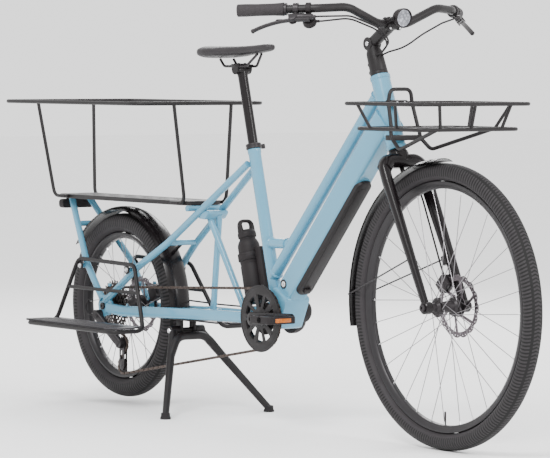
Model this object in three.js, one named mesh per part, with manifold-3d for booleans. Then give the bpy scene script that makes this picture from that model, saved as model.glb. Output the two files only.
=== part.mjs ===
// Longtail cargo bike: step-through frame, mid motor, front rack, passenger deck and footboards.
// Millimetres, X forward, Y to the rider's left, Z up. The rear axle stands over X = 0 while
// the pieces are made, and the whole bike is centred over its own box at the end.
import * as THREE from "three";
import { mergeVertices } from "three/addons/utils/BufferGeometryUtils.js";
import Module from "manifold-3d";

const wasm = await Module();
wasm.setup();

// Driving dimensions

const seat = { gap: 0.3, reach: 4, sink: 1.5 }; // gap to a neighbour, cutter overrun, weld depth
const facets = { broad: 18, fine: 12, round: 10, plain: 8, thin: 6, wheel: 36, bend: 2, corner: 2 };

const layout = {
  wheelbase: 1467,
  rearAxleHeight: 278,
  headAngle: THREE.MathUtils.degToRad(68.5),
  seatAngle: THREE.MathUtils.degToRad(75),
  forkOffset: 45,
  bracketAhead: 742,
  bracketHeight: 288,
};

const frontWheel = {
  tyreRadius: 361, tyreWidth: 50, tyreHeight: 45, rimDepth: 19, rimWidth: 28,
  spokes: 32, flangeRadius: 25, flangeSpread: 26, flangeWidth: 4.4, hubRadius: 14,
  hubHalf: 49.6, endRadius: 11, rotorPlane: 41, driveEnd: 49.6,
};
const rearWheel = {
  tyreRadius: 263, tyreWidth: 58, tyreHeight: 55, rimDepth: 17, rimWidth: 34,
  spokes: 32, flangeRadius: 29, flangeSpread: 24, flangeWidth: 4.4, hubRadius: 17,
  hubHalf: 70.6, endRadius: 12, rotorPlane: 53, driveEnd: 37,
};
const spoke = { thickness: 2.3, laceShare: 0.15, stagger: 2.7, sides: 3 };
const axle = { radius: 6, headRadius: 10, headLength: 5 };
const rotor = {
  radius: 80, ripple: 2.2, ripples: 18, ring: 15, thickness: 1.8, arms: 6, armWidth: 9,
  boreRadius: 17.4, carrier: 9, sweptShare: 0.07,
};

const head = { tubeRadius: 25, clearance: 75, length: 202, steererRadius: 14.3 };
const mainTubes = {
  topRadius: 17, topJoinAlong: 33, topRise: 110, downWidth: 60, downDepth: 70, downCorner: 20,
  downJoinAlong: 116, seatAhead: 11, seatRadius: 17, seatTop: 466, bridgeRadius: 14, bridgeAbove: 207,
  collar: 3, collarHeight: 9,
};
const motorShell = {
  back: 98, front: 73, floor: 26, roof: 46, halfWidth: 40, corner: 12, bore: 21, coverRadius: 44,
  noseWidth: 31, noseRadius: 62, noseAhead: 30, coverWidth: 3.4,
};
const battery = { length: 415, width: 50, depth: 46, corner: 12, start: 128, proud: 9, travel: 120 };
const lock = { radius: 9, rim: 1.6, depth: 10, slot: 2, along: 118, key: 3 };

const rear = {
  tubeRadius: 10, stayHigh: 30, stayWide: 20, stayCorner: 7,
  dropoutInside: 71.3, dropoutThick: 8, dropoutRadius: 25, legRadius: 9.5,
  hangerDrop: 30, hangerBack: 8, hangerRadius: 12,
};
// places along the rear frame: x from the rear axle, y from the middle, z over the ground
const chainstayRun = [
  [655, 29, 284], [560, 36, 282], [398, 48, 279], [87, 68, 268], [22, 76, 274],
];
const seatStayRun = [[628, 17, 698], [287, 49, 470], [165, 76, 392], [12, 76, 294]];
const deckLegRun = [[-245, 30, 577], [-93, 76, 400], [-8, 76, 296]];
const bridges = { stayAhead: 287, stayHeight: 470, legBehind: 183, legHeight: 505, radius: 8 };
const struts = {
  radius: 9, side: 11, gussetBack: 396, gussetFront: 462, gussetLow: 540, gussetHigh: 566, gussetHalf: 36,
  uprightFoot: 424, diagonalTop: 432, diagonalFoot: 612, footHeight: 292, diagonalLow: 294,
  crossAhead: 393, crossHalf: 58, yokeRadius: 8, uprightTop: 452, footBack: 603, footFloor: 284, shoeHalf: 28,
};

const deck = {
  back: -273, front: 398, halfWidth: 64, top: 590, thickness: 12, corner: 26, railWidth: 10,
  skin: 5, ribFrom: 12, ribTo: 46, slots: 7, slotLength: 62, slotWidth: 14, slotRow: 26,
};
const rail = {
  back: -326, front: 386, halfWidth: 214, rise: 269, radius: 5.5, corner: 46,
  postTop: 96, postRadius: 5, footRun: 72, bend: 26,
  rearFoot: -277, frontFoot: 400,
};
const lamp = { behind: 268, halfWidth: 54, height: 26, depth: 24, drop: 4.5, corner: 9, post: 5 };

// places on the rack count ahead of the head tube's top and down from it
const frontRack = {
  topDrop: 68, topBack: 86, topFront: 391, topHalf: 185, topCorner: 34,
  floorDrop: 63, floorBack: 105, floorFront: 373, floorHalf: 157, floorCorner: 28,
  wire: 5, stayBendAhead: 149, stayBendHalf: 51, stayBendDrop: 55, stayHalf: 87,
  stayBackAhead: 110, stayBackDrop: 25, hoopHalf: 33, hoopRise: 35, slatSide: 52,
  plateWidth: 46, plateThick: 5, bracketRadius: 6, frontPost: 114,
  sidePostBack: 149, sidePostFront: 304,
};

const footrest = {
  back: -168, front: 288, inner: 132, outer: 232, top: 240, plate: 6, corner: 50, rearCorner: 14,
  wire: 6, barBack: -106, barFront: 186, barSide: 95, barHeight: 404, midHeight: 328,
  tabBack: -96, tabFront: 148, tabHeight: 389, tabRadius: 12, tabThick: 4, bend: 22,
  bossRadius: 7, ribs: 5, rib: 2, ribPitch: 15,
};

const crank = {
  length: 172, bossRadius: 19, endRadius: 13, thickness: 14, inside: 74, spindleRadius: 9.5,
  lift: THREE.MathUtils.degToRad(4), pinRadius: 5, pinLength: 104,
};
const pedal = {
  length: 96, width: 88, height: 20, barrel: 11, frame: 7, boss: 6, inset: 10, cross: 9,
};
const drive = {
  pitch: 12.7, ringTeeth: 40, sprocketTeeth: 26, line: 48, toothThick: 1.8, guardRadius: 90,
  guardThick: 2.4, guardGap: 5.2, windows: 8, windowIn: 26, windowOut: 63, guardRing: 5,
  linkHigh: 8, linkWide: 5.8, linkSlim: 4.2, pinProud: 0.4, spiderBore: 14,
};
const cassette = { teeth: [34, 30, 26, 22, 18, 14, 11], pitch: 4.2, thick: 1.6, core: 18, sides: 8 };
const pulley = { teeth: 11, ahead: 57, guideHeight: 173, tensionHeight: 110, thick: 2.4, pin: 2.5 };
const changer = {
  plateThick: 1.6, plateInside: 3.6, plateWidth: 15, knuckle: 13, upperBack: 12, upperDrop: 24,
  upperOut: 101, linkWide: 13, linkHigh: 20, cableRadius: 2.2, cableBack: 54, cableTop: 40, cableEnd: 16,
};

const stand = {
  ahead: 306, drop: 38, barrelRadius: 13, barrelHalf: 56, shaftRadius: 8, earOuter: 26, earThick: 9,
  archAhead: 24, archDrop: 20, plateBack: 277, plateFront: 392, plateHalf: 44, plateThick: 7,
  footAhead: 461, footHalf: 173, legRadius: 10, legFoot: 8, shoulderHalf: 44, footRadius: 15, footHeight: 17, nut: 4, nutRadius: 7,
};

const mast = {
  postRadius: 13.6, postTop: 690, postInside: 150, collarRadius: 21, collarHeight: 14.5,
  bossOut: 27, bossRadius: 8, leverLength: 48, leverWidth: 9, leverThick: 5, camRadius: 5,
  railRadius: 3.5, railRise: 2.8, railHalf: 22, clampHalf: 24, clampRadius: 19, travelDown: 90, travelUp: 60,
};
const saddle = {
  behind: 137, ahead: 138, rise: 27.5, halfWidth: 76, thickness: 32, noseRise: 20, around: 10,
};

const stem = {
  riserTop: 62, riserFoot: 23.5, riserHead: 21, pivotLift: 89, knuckle: 17, half: 17,
  clampRadius: 16.5, clampHalf: 23, barAhead: 51, barHeight: 134, bolt: 6, boltProud: 1.6,
  lightArmWide: 9, lightArmThick: 2.6, lightPin: 3, lightPinLong: 4,
};
const bar = {
  radius: 11.1, flat: 46, riseAhead: 52, riseHalf: 142, riseHeight: 175, turnAhead: 23,
  turnHalf: 212, turnHeight: 171, endAhead: -126, endHalf: 354, endHeight: 165, bend: 60,
};
const grip = { length: 125, radius: 16, flare: 17.5, cap: 3 };
const brake = {
  clampAlong: 148, clampRadius: 15.5, clampLong: 13, bodyOut: 27, bodyRadius: 9.5, bodyLong: 58,
  pivotOut: 34, pivotAlong: 143, tipAlong: 42, tipOut: 71, bladeWide: 13, bladeThick: 7,
  earHalf: 10.5, earThick: 3, droop: THREE.MathUtils.degToRad(51), pin: 3,
};
const shifter = {
  along: 180, out: 20, radius: 18, thick: 20, level: 17, leverAlong: 98, leverOut: 28, leverWide: 9,
  leverThick: 4, strap: 6,
};
const headlight = {
  ahead: 103, height: 147, radius: 20, length: 30, backRadius: 11, tilt: THREE.MathUtils.degToRad(6),
  lensProud: 2,
};
const hose = { radius: 2.4, sides: 5, bend: 60, start: 14 };
// places on the hoses' way, ahead of the head tube's top, from the middle and over that top
const rightHoseRun = [[75, 150, 152], [95, 80, 124], [86, 32, 90], [25, 12, 62]];
const leftHoseRun = [[79, 140, 136], [95, 62, 106], [77, 22, 74], [25, 10, 62]];

const fork = {
  legHalf: 61.6, legTop: 16, legFoot: 10.4, legLift: 23, legAhead: 6, shoulderLift: 20,
  shoulderRadius: 14.5, crownRadius: 27, crownHeight: 34, raceHeight: 3, endRadius: 16,
  endThick: 22,
};
const caliper = {
  halfLong: 21, innerRadius: 58, outerRadius: 96, slotHalf: 1.5, inside: 11, outside: 15,
  frontAngle: THREE.MathUtils.degToRad(136), rearAngle: THREE.MathUtils.degToRad(28),
};
// the front brake hose's places, as share of the fork leg, distance behind it and from the middle
const frontHoseRun = [[0.313, 28.5, 49], [0.771, 20, 49], [0.922, 15, 44]];
// the rear brake hose's places, counted from the rear axle
const rearHoseRun = [[150, 62, 25], [398, 49, 23], [560, 37, 26], [656, 33, 34]];
const hoseStart = { inEdge: 6, frontSide: 50, rearSide: 56 };
const frontFender = {
  clearance: 12, thick: 2.6, halfWidth: 31, start: 92, end: 191, step: 7, lip: 9, wire: 2.4,
  stayAngle: 178, stayRise: 122, lug: 6,
};
const rearFender = { thick: 2.6, halfWidth: 34, start: 2, end: 143, step: 7, lip: 10, lug: 5 };

const bottle = {
  radius: 30, behind: 92, floor: 66, top: 240, shoulder: 8, neckRadius: 22, lidHeight: 22,
  lidRadius: 25, loopHigh: 27, loopWide: 20, loopWire: 4.5, cageThick: 4, cageWrap: 0.9, cageLow: 58,
  cageHigh: 150, strapLow: 178, strapHigh: 20, strapThick: 3, knob: 8, knobOut: 14, baseThick: 5,
};

// Finishes

const finish = (color, roughness, metalness) =>
  new THREE.MeshStandardMaterial({ color, roughness, metalness });
const paint = finish(0x8fbad2, 0.35, 0.1);
const blackPaint = finish(0x2b272a, 0.45, 0.2);
const blackGloss = finish(0x1b191b, 0.25, 0.2);
const plastic = finish(0x2a2628, 0.6, 0);
const rubber = finish(0x2b2a2c, 0.9, 0);
const steel = finish(0xb9bcbf, 0.35, 0.9);
const darkSteel = finish(0x55525a, 0.4, 0.8);
const bronzeSteel = finish(0x7d6a5c, 0.45, 0.8);
const leather = finish(0x2f2c31, 0.7, 0);

// Shapes and solids

const v = (x, y, z) => new THREE.Vector3(x, y, z);
const half = (a, b) => a.clone().lerp(b, 0.5);

function solid(item) {
  if (item instanceof wasm.Manifold) return item;
  const bare = item.index ? item.toNonIndexed() : item.clone();
  for (const name of Object.keys(bare.attributes)) {
    if (name !== "position") bare.deleteAttribute(name);
  }
  const merged = mergeVertices(bare, 1e-3);
  const faces = [];
  for (let i = 0; i < merged.index.count; i += 3) {
    const face = [0, 1, 2].map((k) => merged.index.getX(i + k));
    if (new Set(face).size === 3) faces.push(face);
  }
  const build = (list) =>
    new wasm.Manifold(
      new wasm.Mesh({
        numProp: 3,
        vertProperties: merged.attributes.position.array,
        triVerts: new Uint32Array(list.flat()),
      }),
    );
  const made = build(faces);
  return made.volume() < 0 ? build(faces.map((face) => face.reverse())) : made;
}

const join = (...items) => items.map(solid).reduce((all, next) => all.add(next));
const cut = (item, ...tools) => tools.map(solid).reduce((rest, tool) => rest.subtract(tool), solid(item));

function geometryOf(item) {
  const { vertProperties, triVerts, numProp } = solid(item).getMesh();
  const geometry = new THREE.BufferGeometry();
  const places = new Float32Array((vertProperties.length / numProp) * 3);
  for (let i = 0; i < places.length / 3; i++) {
    places.set(vertProperties.subarray(i * numProp, i * numProp + 3), i * 3);
  }
  geometry.setAttribute("position", new THREE.BufferAttribute(places, 3));
  geometry.setIndex(new THREE.BufferAttribute(triVerts, 1));
  return geometry;
}

const moved = (item, x, y, z) => geometryOf(item).translate(x, y, z);
const mirrored = (item) => geometryOf(item).scale(1, -1, 1);

function piece(name, item, material, pivot = v(0, 0, 0)) {
  const geometry = geometryOf(item).translate(-pivot.x, -pivot.y, -pivot.z);
  const shaded = geometry.toNonIndexed();
  shaded.computeVertexNormals();
  const mesh = new THREE.Mesh(shaded, material);
  mesh.name = name;
  mesh.position.copy(pivot);
  return mesh;
}

// A path through given points, kept as they are, whose section is carried along without twist.
class BentPath extends THREE.Curve {
  constructor(points, side) {
    super();
    this.points = points;
    this.side = side;
  }
  getPointAt(share) {
    return this.points[Math.round(share * (this.points.length - 1))].clone();
  }
  getTangentAt(share) {
    const i = Math.round(share * (this.points.length - 1));
    const last = this.points.length - 1;
    const out = v(0, 0, 0);
    if (i > 0) out.add(this.points[i].clone().sub(this.points[i - 1]).normalize());
    if (i < last) out.add(this.points[i + 1].clone().sub(this.points[i]).normalize());
    return out.normalize();
  }
  computeFrenetFrames(segments) {
    const tangents = [];
    const normals = [];
    const binormals = [];
    let carried = this.side;
    for (let i = 0; i <= segments; i++) {
      const tangent = this.getTangentAt(i / segments);
      carried = carried.clone().addScaledVector(tangent, -carried.dot(tangent)).normalize();
      tangents.push(tangent);
      normals.push(carried);
      binormals.push(tangent.clone().cross(carried));
    }
    return { tangents, normals, binormals };
  }
}

// Corners of a run turned into bends of a given radius.
function rounded(points, radius, steps = facets.bend) {
  const out = [points[0]];
  for (let i = 1; i < points.length - 1; i++) {
    const back = points[i - 1].clone().sub(points[i]);
    const ahead = points[i + 1].clone().sub(points[i]);
    const turn = Math.PI - back.angleTo(ahead);
    const wanted = radius * Math.tan(turn / 2);
    const room = Math.min(back.length(), ahead.length()) * 0.48;
    const share = Math.min(wanted, room);
    const from = points[i].clone().addScaledVector(back.normalize(), share);
    const to = points[i].clone().addScaledVector(ahead.normalize(), share);
    out.push(...new THREE.QuadraticBezierCurve3(from, points[i], to).getPoints(steps));
  }
  out.push(points[points.length - 1]);
  return out;
}

function sweep(shape, points, side = v(0, 1, 0), corner = 1) {
  const path = new BentPath(points, side);
  return new THREE.ExtrudeGeometry(shape, {
    steps: points.length - 1,
    extrudePath: path,
    curveSegments: corner,
  });
}

function disc(radius, sides, squash = 1) {
  const corners = [];
  for (let i = 0; i < sides; i++) {
    const angle = ((i + 0.5) * 2 * Math.PI) / sides;
    corners.push(new THREE.Vector2(radius * Math.cos(angle), radius * squash * Math.sin(angle)));
  }
  return new THREE.Shape(corners);
}

const tube = (points, radius, sides = facets.plain, side = v(0, 1, 0.01)) =>
  sweep(disc(radius, sides), points, side);
const flatOf = (radius, sides = facets.plain) => radius * Math.cos(Math.PI / sides);
const bentTube = (points, radius, bend, sides = facets.plain, steps = facets.bend) =>
  tube(rounded(points, bend, steps), radius, sides);

function loopTube(points, radius, bend, sides, normal = v(0, 0, 1)) {
  const start = half(points[0], points[1]);
  const course = rounded([start, ...points.slice(1), points[0], start], bend).slice(0, -1);
  const count = course.length;
  return loft(course.map((at, i) => {
    const back = at.clone().sub(course[(i + count - 1) % count]).normalize();
    const forward = course[(i + 1) % count].clone().sub(at).normalize();
    const across = back.add(forward).normalize().cross(normal);
    return Array.from({ length: sides }, (_, k) => {
      const angle = ((k + 0.5) * 2 * Math.PI) / sides;
      return at.clone().addScaledVector(across, radius * Math.cos(angle))
        .addScaledVector(normal, radius * Math.sin(angle));
    });
  }), true);
}

function rod(from, to, radius, sides = facets.plain, endRadius = radius) {
  const run = to.clone().sub(from);
  const body = new THREE.CylinderGeometry(endRadius, radius, run.length(), sides);
  body.applyQuaternion(new THREE.Quaternion().setFromUnitVectors(v(0, 1, 0), run.clone().normalize()));
  const middle = half(from, to);
  return body.translate(middle.x, middle.y, middle.z);
}

const crossRod = (x, z, low, high, radius, sides = facets.plain) =>
  rod(v(x, low, z), v(x, high, z), radius, sides);

function block(low, high) {
  const span = high.clone().sub(low);
  const middle = half(low, high);
  return new THREE.BoxGeometry(span.x, span.y, span.z).translate(middle.x, middle.y, middle.z);
}

function roundedRect(width, height, radius) {
  const shape = new THREE.Shape();
  const x = width / 2;
  const y = height / 2;
  const r = Math.min(radius, x * 0.98, y * 0.98);
  shape.absarc(x - r, y - r, r, 0, Math.PI / 2);
  shape.absarc(r - x, y - r, r, Math.PI / 2, Math.PI);
  shape.absarc(r - x, r - y, r, Math.PI, 1.5 * Math.PI);
  shape.absarc(x - r, r - y, r, 1.5 * Math.PI, 2 * Math.PI);
  return shape;
}

// A shape drawn in X and Z, given its thickness along Y.
function upright(shape, low, high, curveSegments = facets.corner) {
  const body = new THREE.ExtrudeGeometry(shape, { depth: high - low, bevelEnabled: false, curveSegments });
  return body.rotateX(Math.PI / 2).translate(0, high, 0);
}

// A shape drawn in X and Y, given its thickness along Z.
function level(shape, low, high, curveSegments = facets.corner) {
  const body = new THREE.ExtrudeGeometry(shape, { depth: high - low, bevelEnabled: false, curveSegments });
  return body.translate(0, 0, low);
}

// A profile of radius and Y turned round the Y axis.
function turned(profile, segments = facets.fine) {
  const points = profile.map(([r, y]) => new THREE.Vector2(r, y));
  return new THREE.LatheGeometry(points, segments, Math.PI / segments);
}
const ringTurned = (profile, segments) => turned([...profile, profile[0]], segments);

// A body turned round its own axis, put on the line between two places.
function turnedOn(profile, from, to, segments = facets.fine) {
  const run = to.clone().sub(from).normalize();
  const body = profile[0][0] === 0 ? turned(profile, segments) : ringTurned(profile, segments);
  body.applyQuaternion(new THREE.Quaternion().setFromUnitVectors(v(0, 1, 0), run));
  return body.translate(from.x, from.y, from.z);
}

// Something made in its own X, Y and Z, set into the bike.
function set(item, origin, x, y, z) {
  const frame = new THREE.Matrix4().makeBasis(x, y, z).setPosition(origin);
  return geometryOf(item).applyMatrix4(frame);
}

// Vertex radius of a bore whose flats stay clear of a round of the given radius.
const bore = (radius, sides = facets.plain) => (radius + seat.gap) / Math.cos(Math.PI / sides);
// Corner radius of a bore round a piece that has the same facets and never turns in it.
const fit = (radius, sides = facets.plain) => radius + seat.gap / Math.cos(Math.PI / sides);
// Vertex radius of a wheel whose flats touch the given radius.
const flats = (radius, sides) => radius / Math.cos(Math.PI / sides);

// Steering line

const along = v(-Math.cos(layout.headAngle), 0, Math.sin(layout.headAngle));
const ahead = v(Math.sin(layout.headAngle), 0, Math.cos(layout.headAngle));
const frontAxle = v(layout.wheelbase, 0, frontWheel.tyreRadius);
const rearAxle = v(0, 0, layout.rearAxleHeight);
const steerFoot = frontAxle.clone().addScaledVector(ahead, -layout.forkOffset);
const onSteer = (up, forward = 0, side = 0) =>
  steerFoot.clone().addScaledVector(along, up).addScaledVector(ahead, forward).setY(side);
const headFoot = frontWheel.tyreRadius + head.clearance;
const headTop = headFoot + head.length;
const legStart = frontWheel.tyreRadius + fork.legLift;
const overHead = (x, y, z) => onSteer(headTop).add(v(x, y, z));

// Seat line and bracket

const bracket = v(layout.bracketAhead, 0, layout.bracketHeight);
const seatUp = v(-Math.cos(layout.seatAngle), 0, Math.sin(layout.seatAngle));
const seatFoot = bracket.clone().setX(bracket.x + mainTubes.seatAhead);
const onSeat = (up, side = 0) => seatFoot.clone().addScaledVector(seatUp, up).setY(side);

const downTop = onSteer(headTop - mainTubes.downJoinAlong);
const downRun = downTop.clone().sub(bracket).normalize();
const downUp = v(-downRun.z, 0, downRun.x);
const onDown = (run, up = 0, side = 0) =>
  bracket.clone().addScaledVector(downRun, run).addScaledVector(downUp, up).setY(side);

// Wheels, made round Y at the origin and set on their axles

const rimRadius = (wheel) => wheel.tyreRadius - wheel.tyreHeight;

function tyre(name, wheel, at) {
  const bulge = wheel.tyreWidth / 2;
  const seatRadius = rimRadius(wheel) + seat.gap;
  const outer = flats(wheel.tyreRadius, facets.wheel);
  const middle = (seatRadius + outer) / 2;
  const crown = wheel.tyreWidth / 4;
  const foot = wheel.rimWidth / 2 - seat.sink;
  const profile = [
    [seatRadius, -foot], [middle, -bulge], [outer, -crown], [outer, crown], [middle, bulge], [seatRadius, foot],
  ];
  return piece(name, moved(ringTurned(profile, facets.wheel), at.x, at.y, at.z), rubber, at);
}

function spokes(wheel) {
  const reach = rimRadius(wheel) - wheel.rimDepth + seat.sink;
  const lace = spoke.laceShare * 2 * Math.PI;
  const out = [];
  for (let i = 0; i < wheel.spokes; i++) {
    const side = i % 2 ? 1 : -1;
    const leading = Math.floor(i / 2) % 2 ? 1 : -1;
    const rimAngle = (i * 2 * Math.PI) / wheel.spokes;
    const hubAngle = rimAngle + leading * lace;
    const y = side * wheel.flangeSpread + leading * spoke.stagger;
    const r = wheel.flangeRadius - seat.sink;
    const from = v(r * Math.cos(hubAngle), y, r * Math.sin(hubAngle));
    const to = v(reach * Math.cos(rimAngle), side * seat.sink, reach * Math.sin(rimAngle));
    out.push(rod(from, to, spoke.thickness / 2, spoke.sides));
  }
  return out;
}

function hub(wheel) {
  const f = wheel.flangeSpread;
  const w = wheel.flangeWidth;
  const inner = bore(axle.radius, facets.fine);
  const rotorSeat = rotor.boreRadius - seat.gap / Math.cos(Math.PI / facets.fine);
  const rotorEnd = wheel.rotorPlane + rotor.thickness * 2;
  return ringTurned(
    [
      [inner, -wheel.driveEnd], [wheel.endRadius, -wheel.driveEnd], [wheel.endRadius, -f - w],
      [wheel.flangeRadius, -f - w], [wheel.flangeRadius, w - f], [wheel.hubRadius, w * 2 - f],
      [wheel.hubRadius, f - w * 2], [wheel.flangeRadius, f - w], [wheel.flangeRadius, f + w],
      [rotorSeat, f + w], [rotorSeat, rotorEnd], [wheel.endRadius, rotorEnd],
      [wheel.endRadius, wheel.hubHalf], [inner, wheel.hubHalf],
    ],
    facets.fine,
  );
}

function spokedWheel(name, wheel, at) {
  const outer = rimRadius(wheel);
  const inner = outer - wheel.rimDepth;
  const w = wheel.rimWidth / 2;
  const rim = ringTurned([[inner, -w * 0.6], [outer, -w], [outer, w], [inner, w * 0.6]], facets.wheel);
  return piece(name, moved(join(rim, hub(wheel), ...spokes(wheel)), at.x, at.y, at.z), blackGloss, at);
}

function brakeDisc(name, wheel, at) {
  const polar = (r, a) => new THREE.Vector2(r * Math.cos(a), r * Math.sin(a));
  const points = rotor.ripples * 2;
  const rim = new THREE.Shape(Array.from({ length: points }, (_, i) =>
    polar(rotor.radius - (i % 2) * rotor.ripple, (i * 2 * Math.PI) / points)));
  const outer = rotor.radius - rotor.ring;
  const inner = rotor.boreRadius + rotor.carrier;
  const swept = rotor.sweptShare * 2 * Math.PI;
  const outGap = rotor.armWidth / 2 / outer;
  const inGap = rotor.armWidth / 2 / inner;
  for (let i = 0; i < rotor.arms; i++) {
    const turn = (i * 2 * Math.PI) / rotor.arms;
    const next = ((i + 1) * 2 * Math.PI) / rotor.arms;
    rim.holes.push(new THREE.Path([
      polar(inner, turn + inGap), polar(inner, next - inGap), polar(outer, next - outGap + swept),
      polar(outer, turn + outGap + swept),
    ]));
  }
  rim.holes.push(new THREE.Path(disc(rotor.boreRadius, facets.fine).getPoints()));
  const low = wheel.rotorPlane - rotor.thickness / 2;
  return piece(name, moved(upright(rim, low, low + rotor.thickness), at.x, at.y, at.z), darkSteel, at);
}

function throughAxle(name, wheel, inside, thick, at) {
  const end = inside + thick + seat.gap;
  const shaft = turned([
    [0, -end - axle.headLength], [axle.headRadius, -end - axle.headLength], [axle.headRadius, -end],
    [axle.radius, -end], [axle.radius, end], [axle.headRadius, end],
    [axle.headRadius, end + axle.headLength], [0, end + axle.headLength],
  ], facets.round);
  return piece(name, moved(shaft, at.x, at.y, at.z), blackPaint);
}

// Main frame

function downTube() {
  const run = downTop.clone().sub(bracket).length();
  const section = roundedRect(mainTubes.downWidth, mainTubes.downDepth, mainTubes.downCorner);
  return sweep(section, [onDown(0), onDown(run)], v(0, 1, 0), facets.corner);
}

function motorHousing() {
  const s = motorShell;
  const shape = new THREE.Shape();
  const { x, z } = bracket;
  const wall = mainTubes.downDepth / 2;
  const nose = onDown(s.roof * 2.4, -wall);
  const shelf = onDown(s.roof * 2, wall - seat.sink);
  shape.moveTo(x - s.back, z + s.corner);
  shape.lineTo(x - s.back, z - s.corner);
  shape.quadraticCurveTo(x - s.back, z - s.floor, x - s.back + s.corner * 2, z - s.floor);
  shape.lineTo(x + s.front - s.corner, z - s.floor);
  shape.lineTo(x + s.front, z - s.floor + s.corner);
  shape.lineTo(nose.x, nose.z);
  shape.lineTo(shelf.x, shelf.z);
  shape.lineTo(x + s.corner, z + s.roof);
  shape.lineTo(x - s.back + s.corner * 2, z + s.corner * 2);
  return upright(shape, -s.halfWidth, s.halfWidth);
}

function batteryShape(grow) {
  const s = battery;
  const centre = s.start + s.length / 2;
  const up = s.depth / 2 - mainTubes.downDepth / 2 - s.proud;
  const shape = roundedRect(s.width + grow * 2, s.depth + grow * 2, s.corner + grow);
  return sweep(shape, [
    onDown(centre - s.length / 2 - grow, up), onDown(centre + s.length / 2 + grow, up),
  ]);
}

function mainFrame() {
  const m = mainTubes;
  const s = motorShell;
  const beyond = seat.reach;
  const headTube = rod(onSteer(headFoot), onSteer(headTop), head.tubeRadius, facets.fine);
  const steerer = rod(
    onSteer(headFoot - beyond), onSteer(headTop + beyond), bore(head.steererRadius, facets.fine), facets.fine);
  const seatTube = rod(onSeat(0), onSeat(m.seatTop), m.seatRadius, facets.fine);
  const postHole = rod(
    onSeat(m.seatTop - mast.postInside - mast.travelDown), onSeat(m.seatTop + beyond),
    fit(mast.postRadius));
  const topTube = rod(onSeat(m.topRise), onSteer(headTop - m.topJoinAlong), m.topRadius, facets.round);
  const bridgeBack = onSeat(m.bridgeAbove);
  const bridgeFront = bridgeBack.clone().setX(
    onSeat(m.topRise).x + (bridgeBack.z - onSeat(m.topRise).z) / Math.tan(topSlope()));
  const bridge = rod(bridgeBack, bridgeFront, m.bridgeRadius, facets.round);
  const collar = rod(
    onSeat(m.seatTop - m.collarHeight), onSeat(m.seatTop - seat.sink), m.seatRadius + m.collar / 2, facets.fine);
  const motorBore = crossRod(bracket.x, bracket.z, -s.halfWidth - beyond, s.halfWidth + beyond,
    bore(s.bore, facets.fine), facets.fine);
  const side = -m.downWidth / 2;
  const lockBore = rod(
    onDown(lock.along, m.downDepth / 6, side - beyond), onDown(lock.along, m.downDepth / 6, side + lock.depth),
    bore(lock.radius));
  const body = join(headTube, downTube(), topTube, bridge, motorHousing(), seatTube, collar);
  return piece("frame_main", cut(body, steerer, postHole, batteryShape(seat.gap), motorBore, lockBore), paint);
}

// Angle at which the top tube climbs from the seat tube to the head tube.
function topSlope() {
  const foot = onSeat(mainTubes.topRise);
  const top = onSteer(headTop - mainTubes.topJoinAlong);
  return Math.atan2(top.z - foot.z, top.x - foot.x);
}

// Rear frame, made on the right and mirrored

const rightSide = (run) => run.map(([x, y, z]) => v(x, -y, z));

function dropout() {
  const shape = new THREE.Shape();
  const { x, z } = rearAxle;
  const r = rear.dropoutRadius;
  shape.moveTo(x + r * 1.7, z + r * 0.5);
  shape.lineTo(x + r * 0.6, z + r * 1.3);
  shape.lineTo(x - r * 0.7, z + r * 1.2);
  shape.quadraticCurveTo(x - r * 1.3, z, x - r * 0.9, z - r * 0.8);
  shape.lineTo(x - rear.hangerBack - rear.hangerRadius, z - rear.hangerDrop);
  shape.quadraticCurveTo(x - rear.hangerBack, z - rear.hangerDrop * 1.5, x, z - rear.hangerDrop);
  shape.lineTo(x + r, z - r);
  shape.lineTo(x + r * 1.7, z - r * 0.7);
  return upright(shape, -rear.dropoutInside - rear.dropoutThick, -rear.dropoutInside);
}

function footrestBoss(x, z, inside) {
  return crossRod(x, z, seat.gap - footrest.barSide + footrest.tabThick / 2, -inside, footrest.bossRadius);
}

function rearFrameSide() {
  const stay = sweep(
    roundedRect(rear.stayWide, rear.stayHigh, rear.stayCorner), rounded(rightSide(chainstayRun), bar.bend, 1));
  const seatStay = bentTube(rightSide(seatStayRun), rear.tubeRadius, bar.bend, facets.plain, 1);
  const leg = bentTube(rightSide(deckLegRun), rear.legRadius, bar.bend, facets.plain, 1);
  const bosses = [
    footrestBoss(footrest.tabBack, footrest.tabHeight, deckLegRun[1][1]),
    footrestBoss(footrest.tabFront, footrest.tabHeight, seatStayRun[2][1]),
  ];
  const { x, z } = rearAxle;
  const axleHole = crossRod(x, z, -rear.dropoutInside * 2, 0, bore(axle.radius));
  const inside = block(
    v(-rear.dropoutRadius * 2, -rear.dropoutInside, z - rear.dropoutRadius * 2),
    v(rear.dropoutRadius * 2, 0, z + rear.dropoutRadius * 2));
  const underDeck = block(
    v(deck.back - deck.corner, -rail.halfWidth, deck.top - deck.thickness - seat.gap),
    v(deck.back + deck.corner * 4, rail.halfWidth, deck.top + deck.thickness));
  const seatTube = rod(onSeat(0), onSeat(mainTubes.seatTop), fit(mainTubes.seatRadius, facets.fine), facets.fine);
  const body = join(dropout(), stay, seatStay, leg, ...bosses);
  return cut(body, axleHole, inside, seatTube, underDeck, motorGuard());
}

function bridgeRod(x, z, halfLength) {
  return crossRod(x, z, -halfLength, halfLength, bridges.radius, facets.plain);
}

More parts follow.
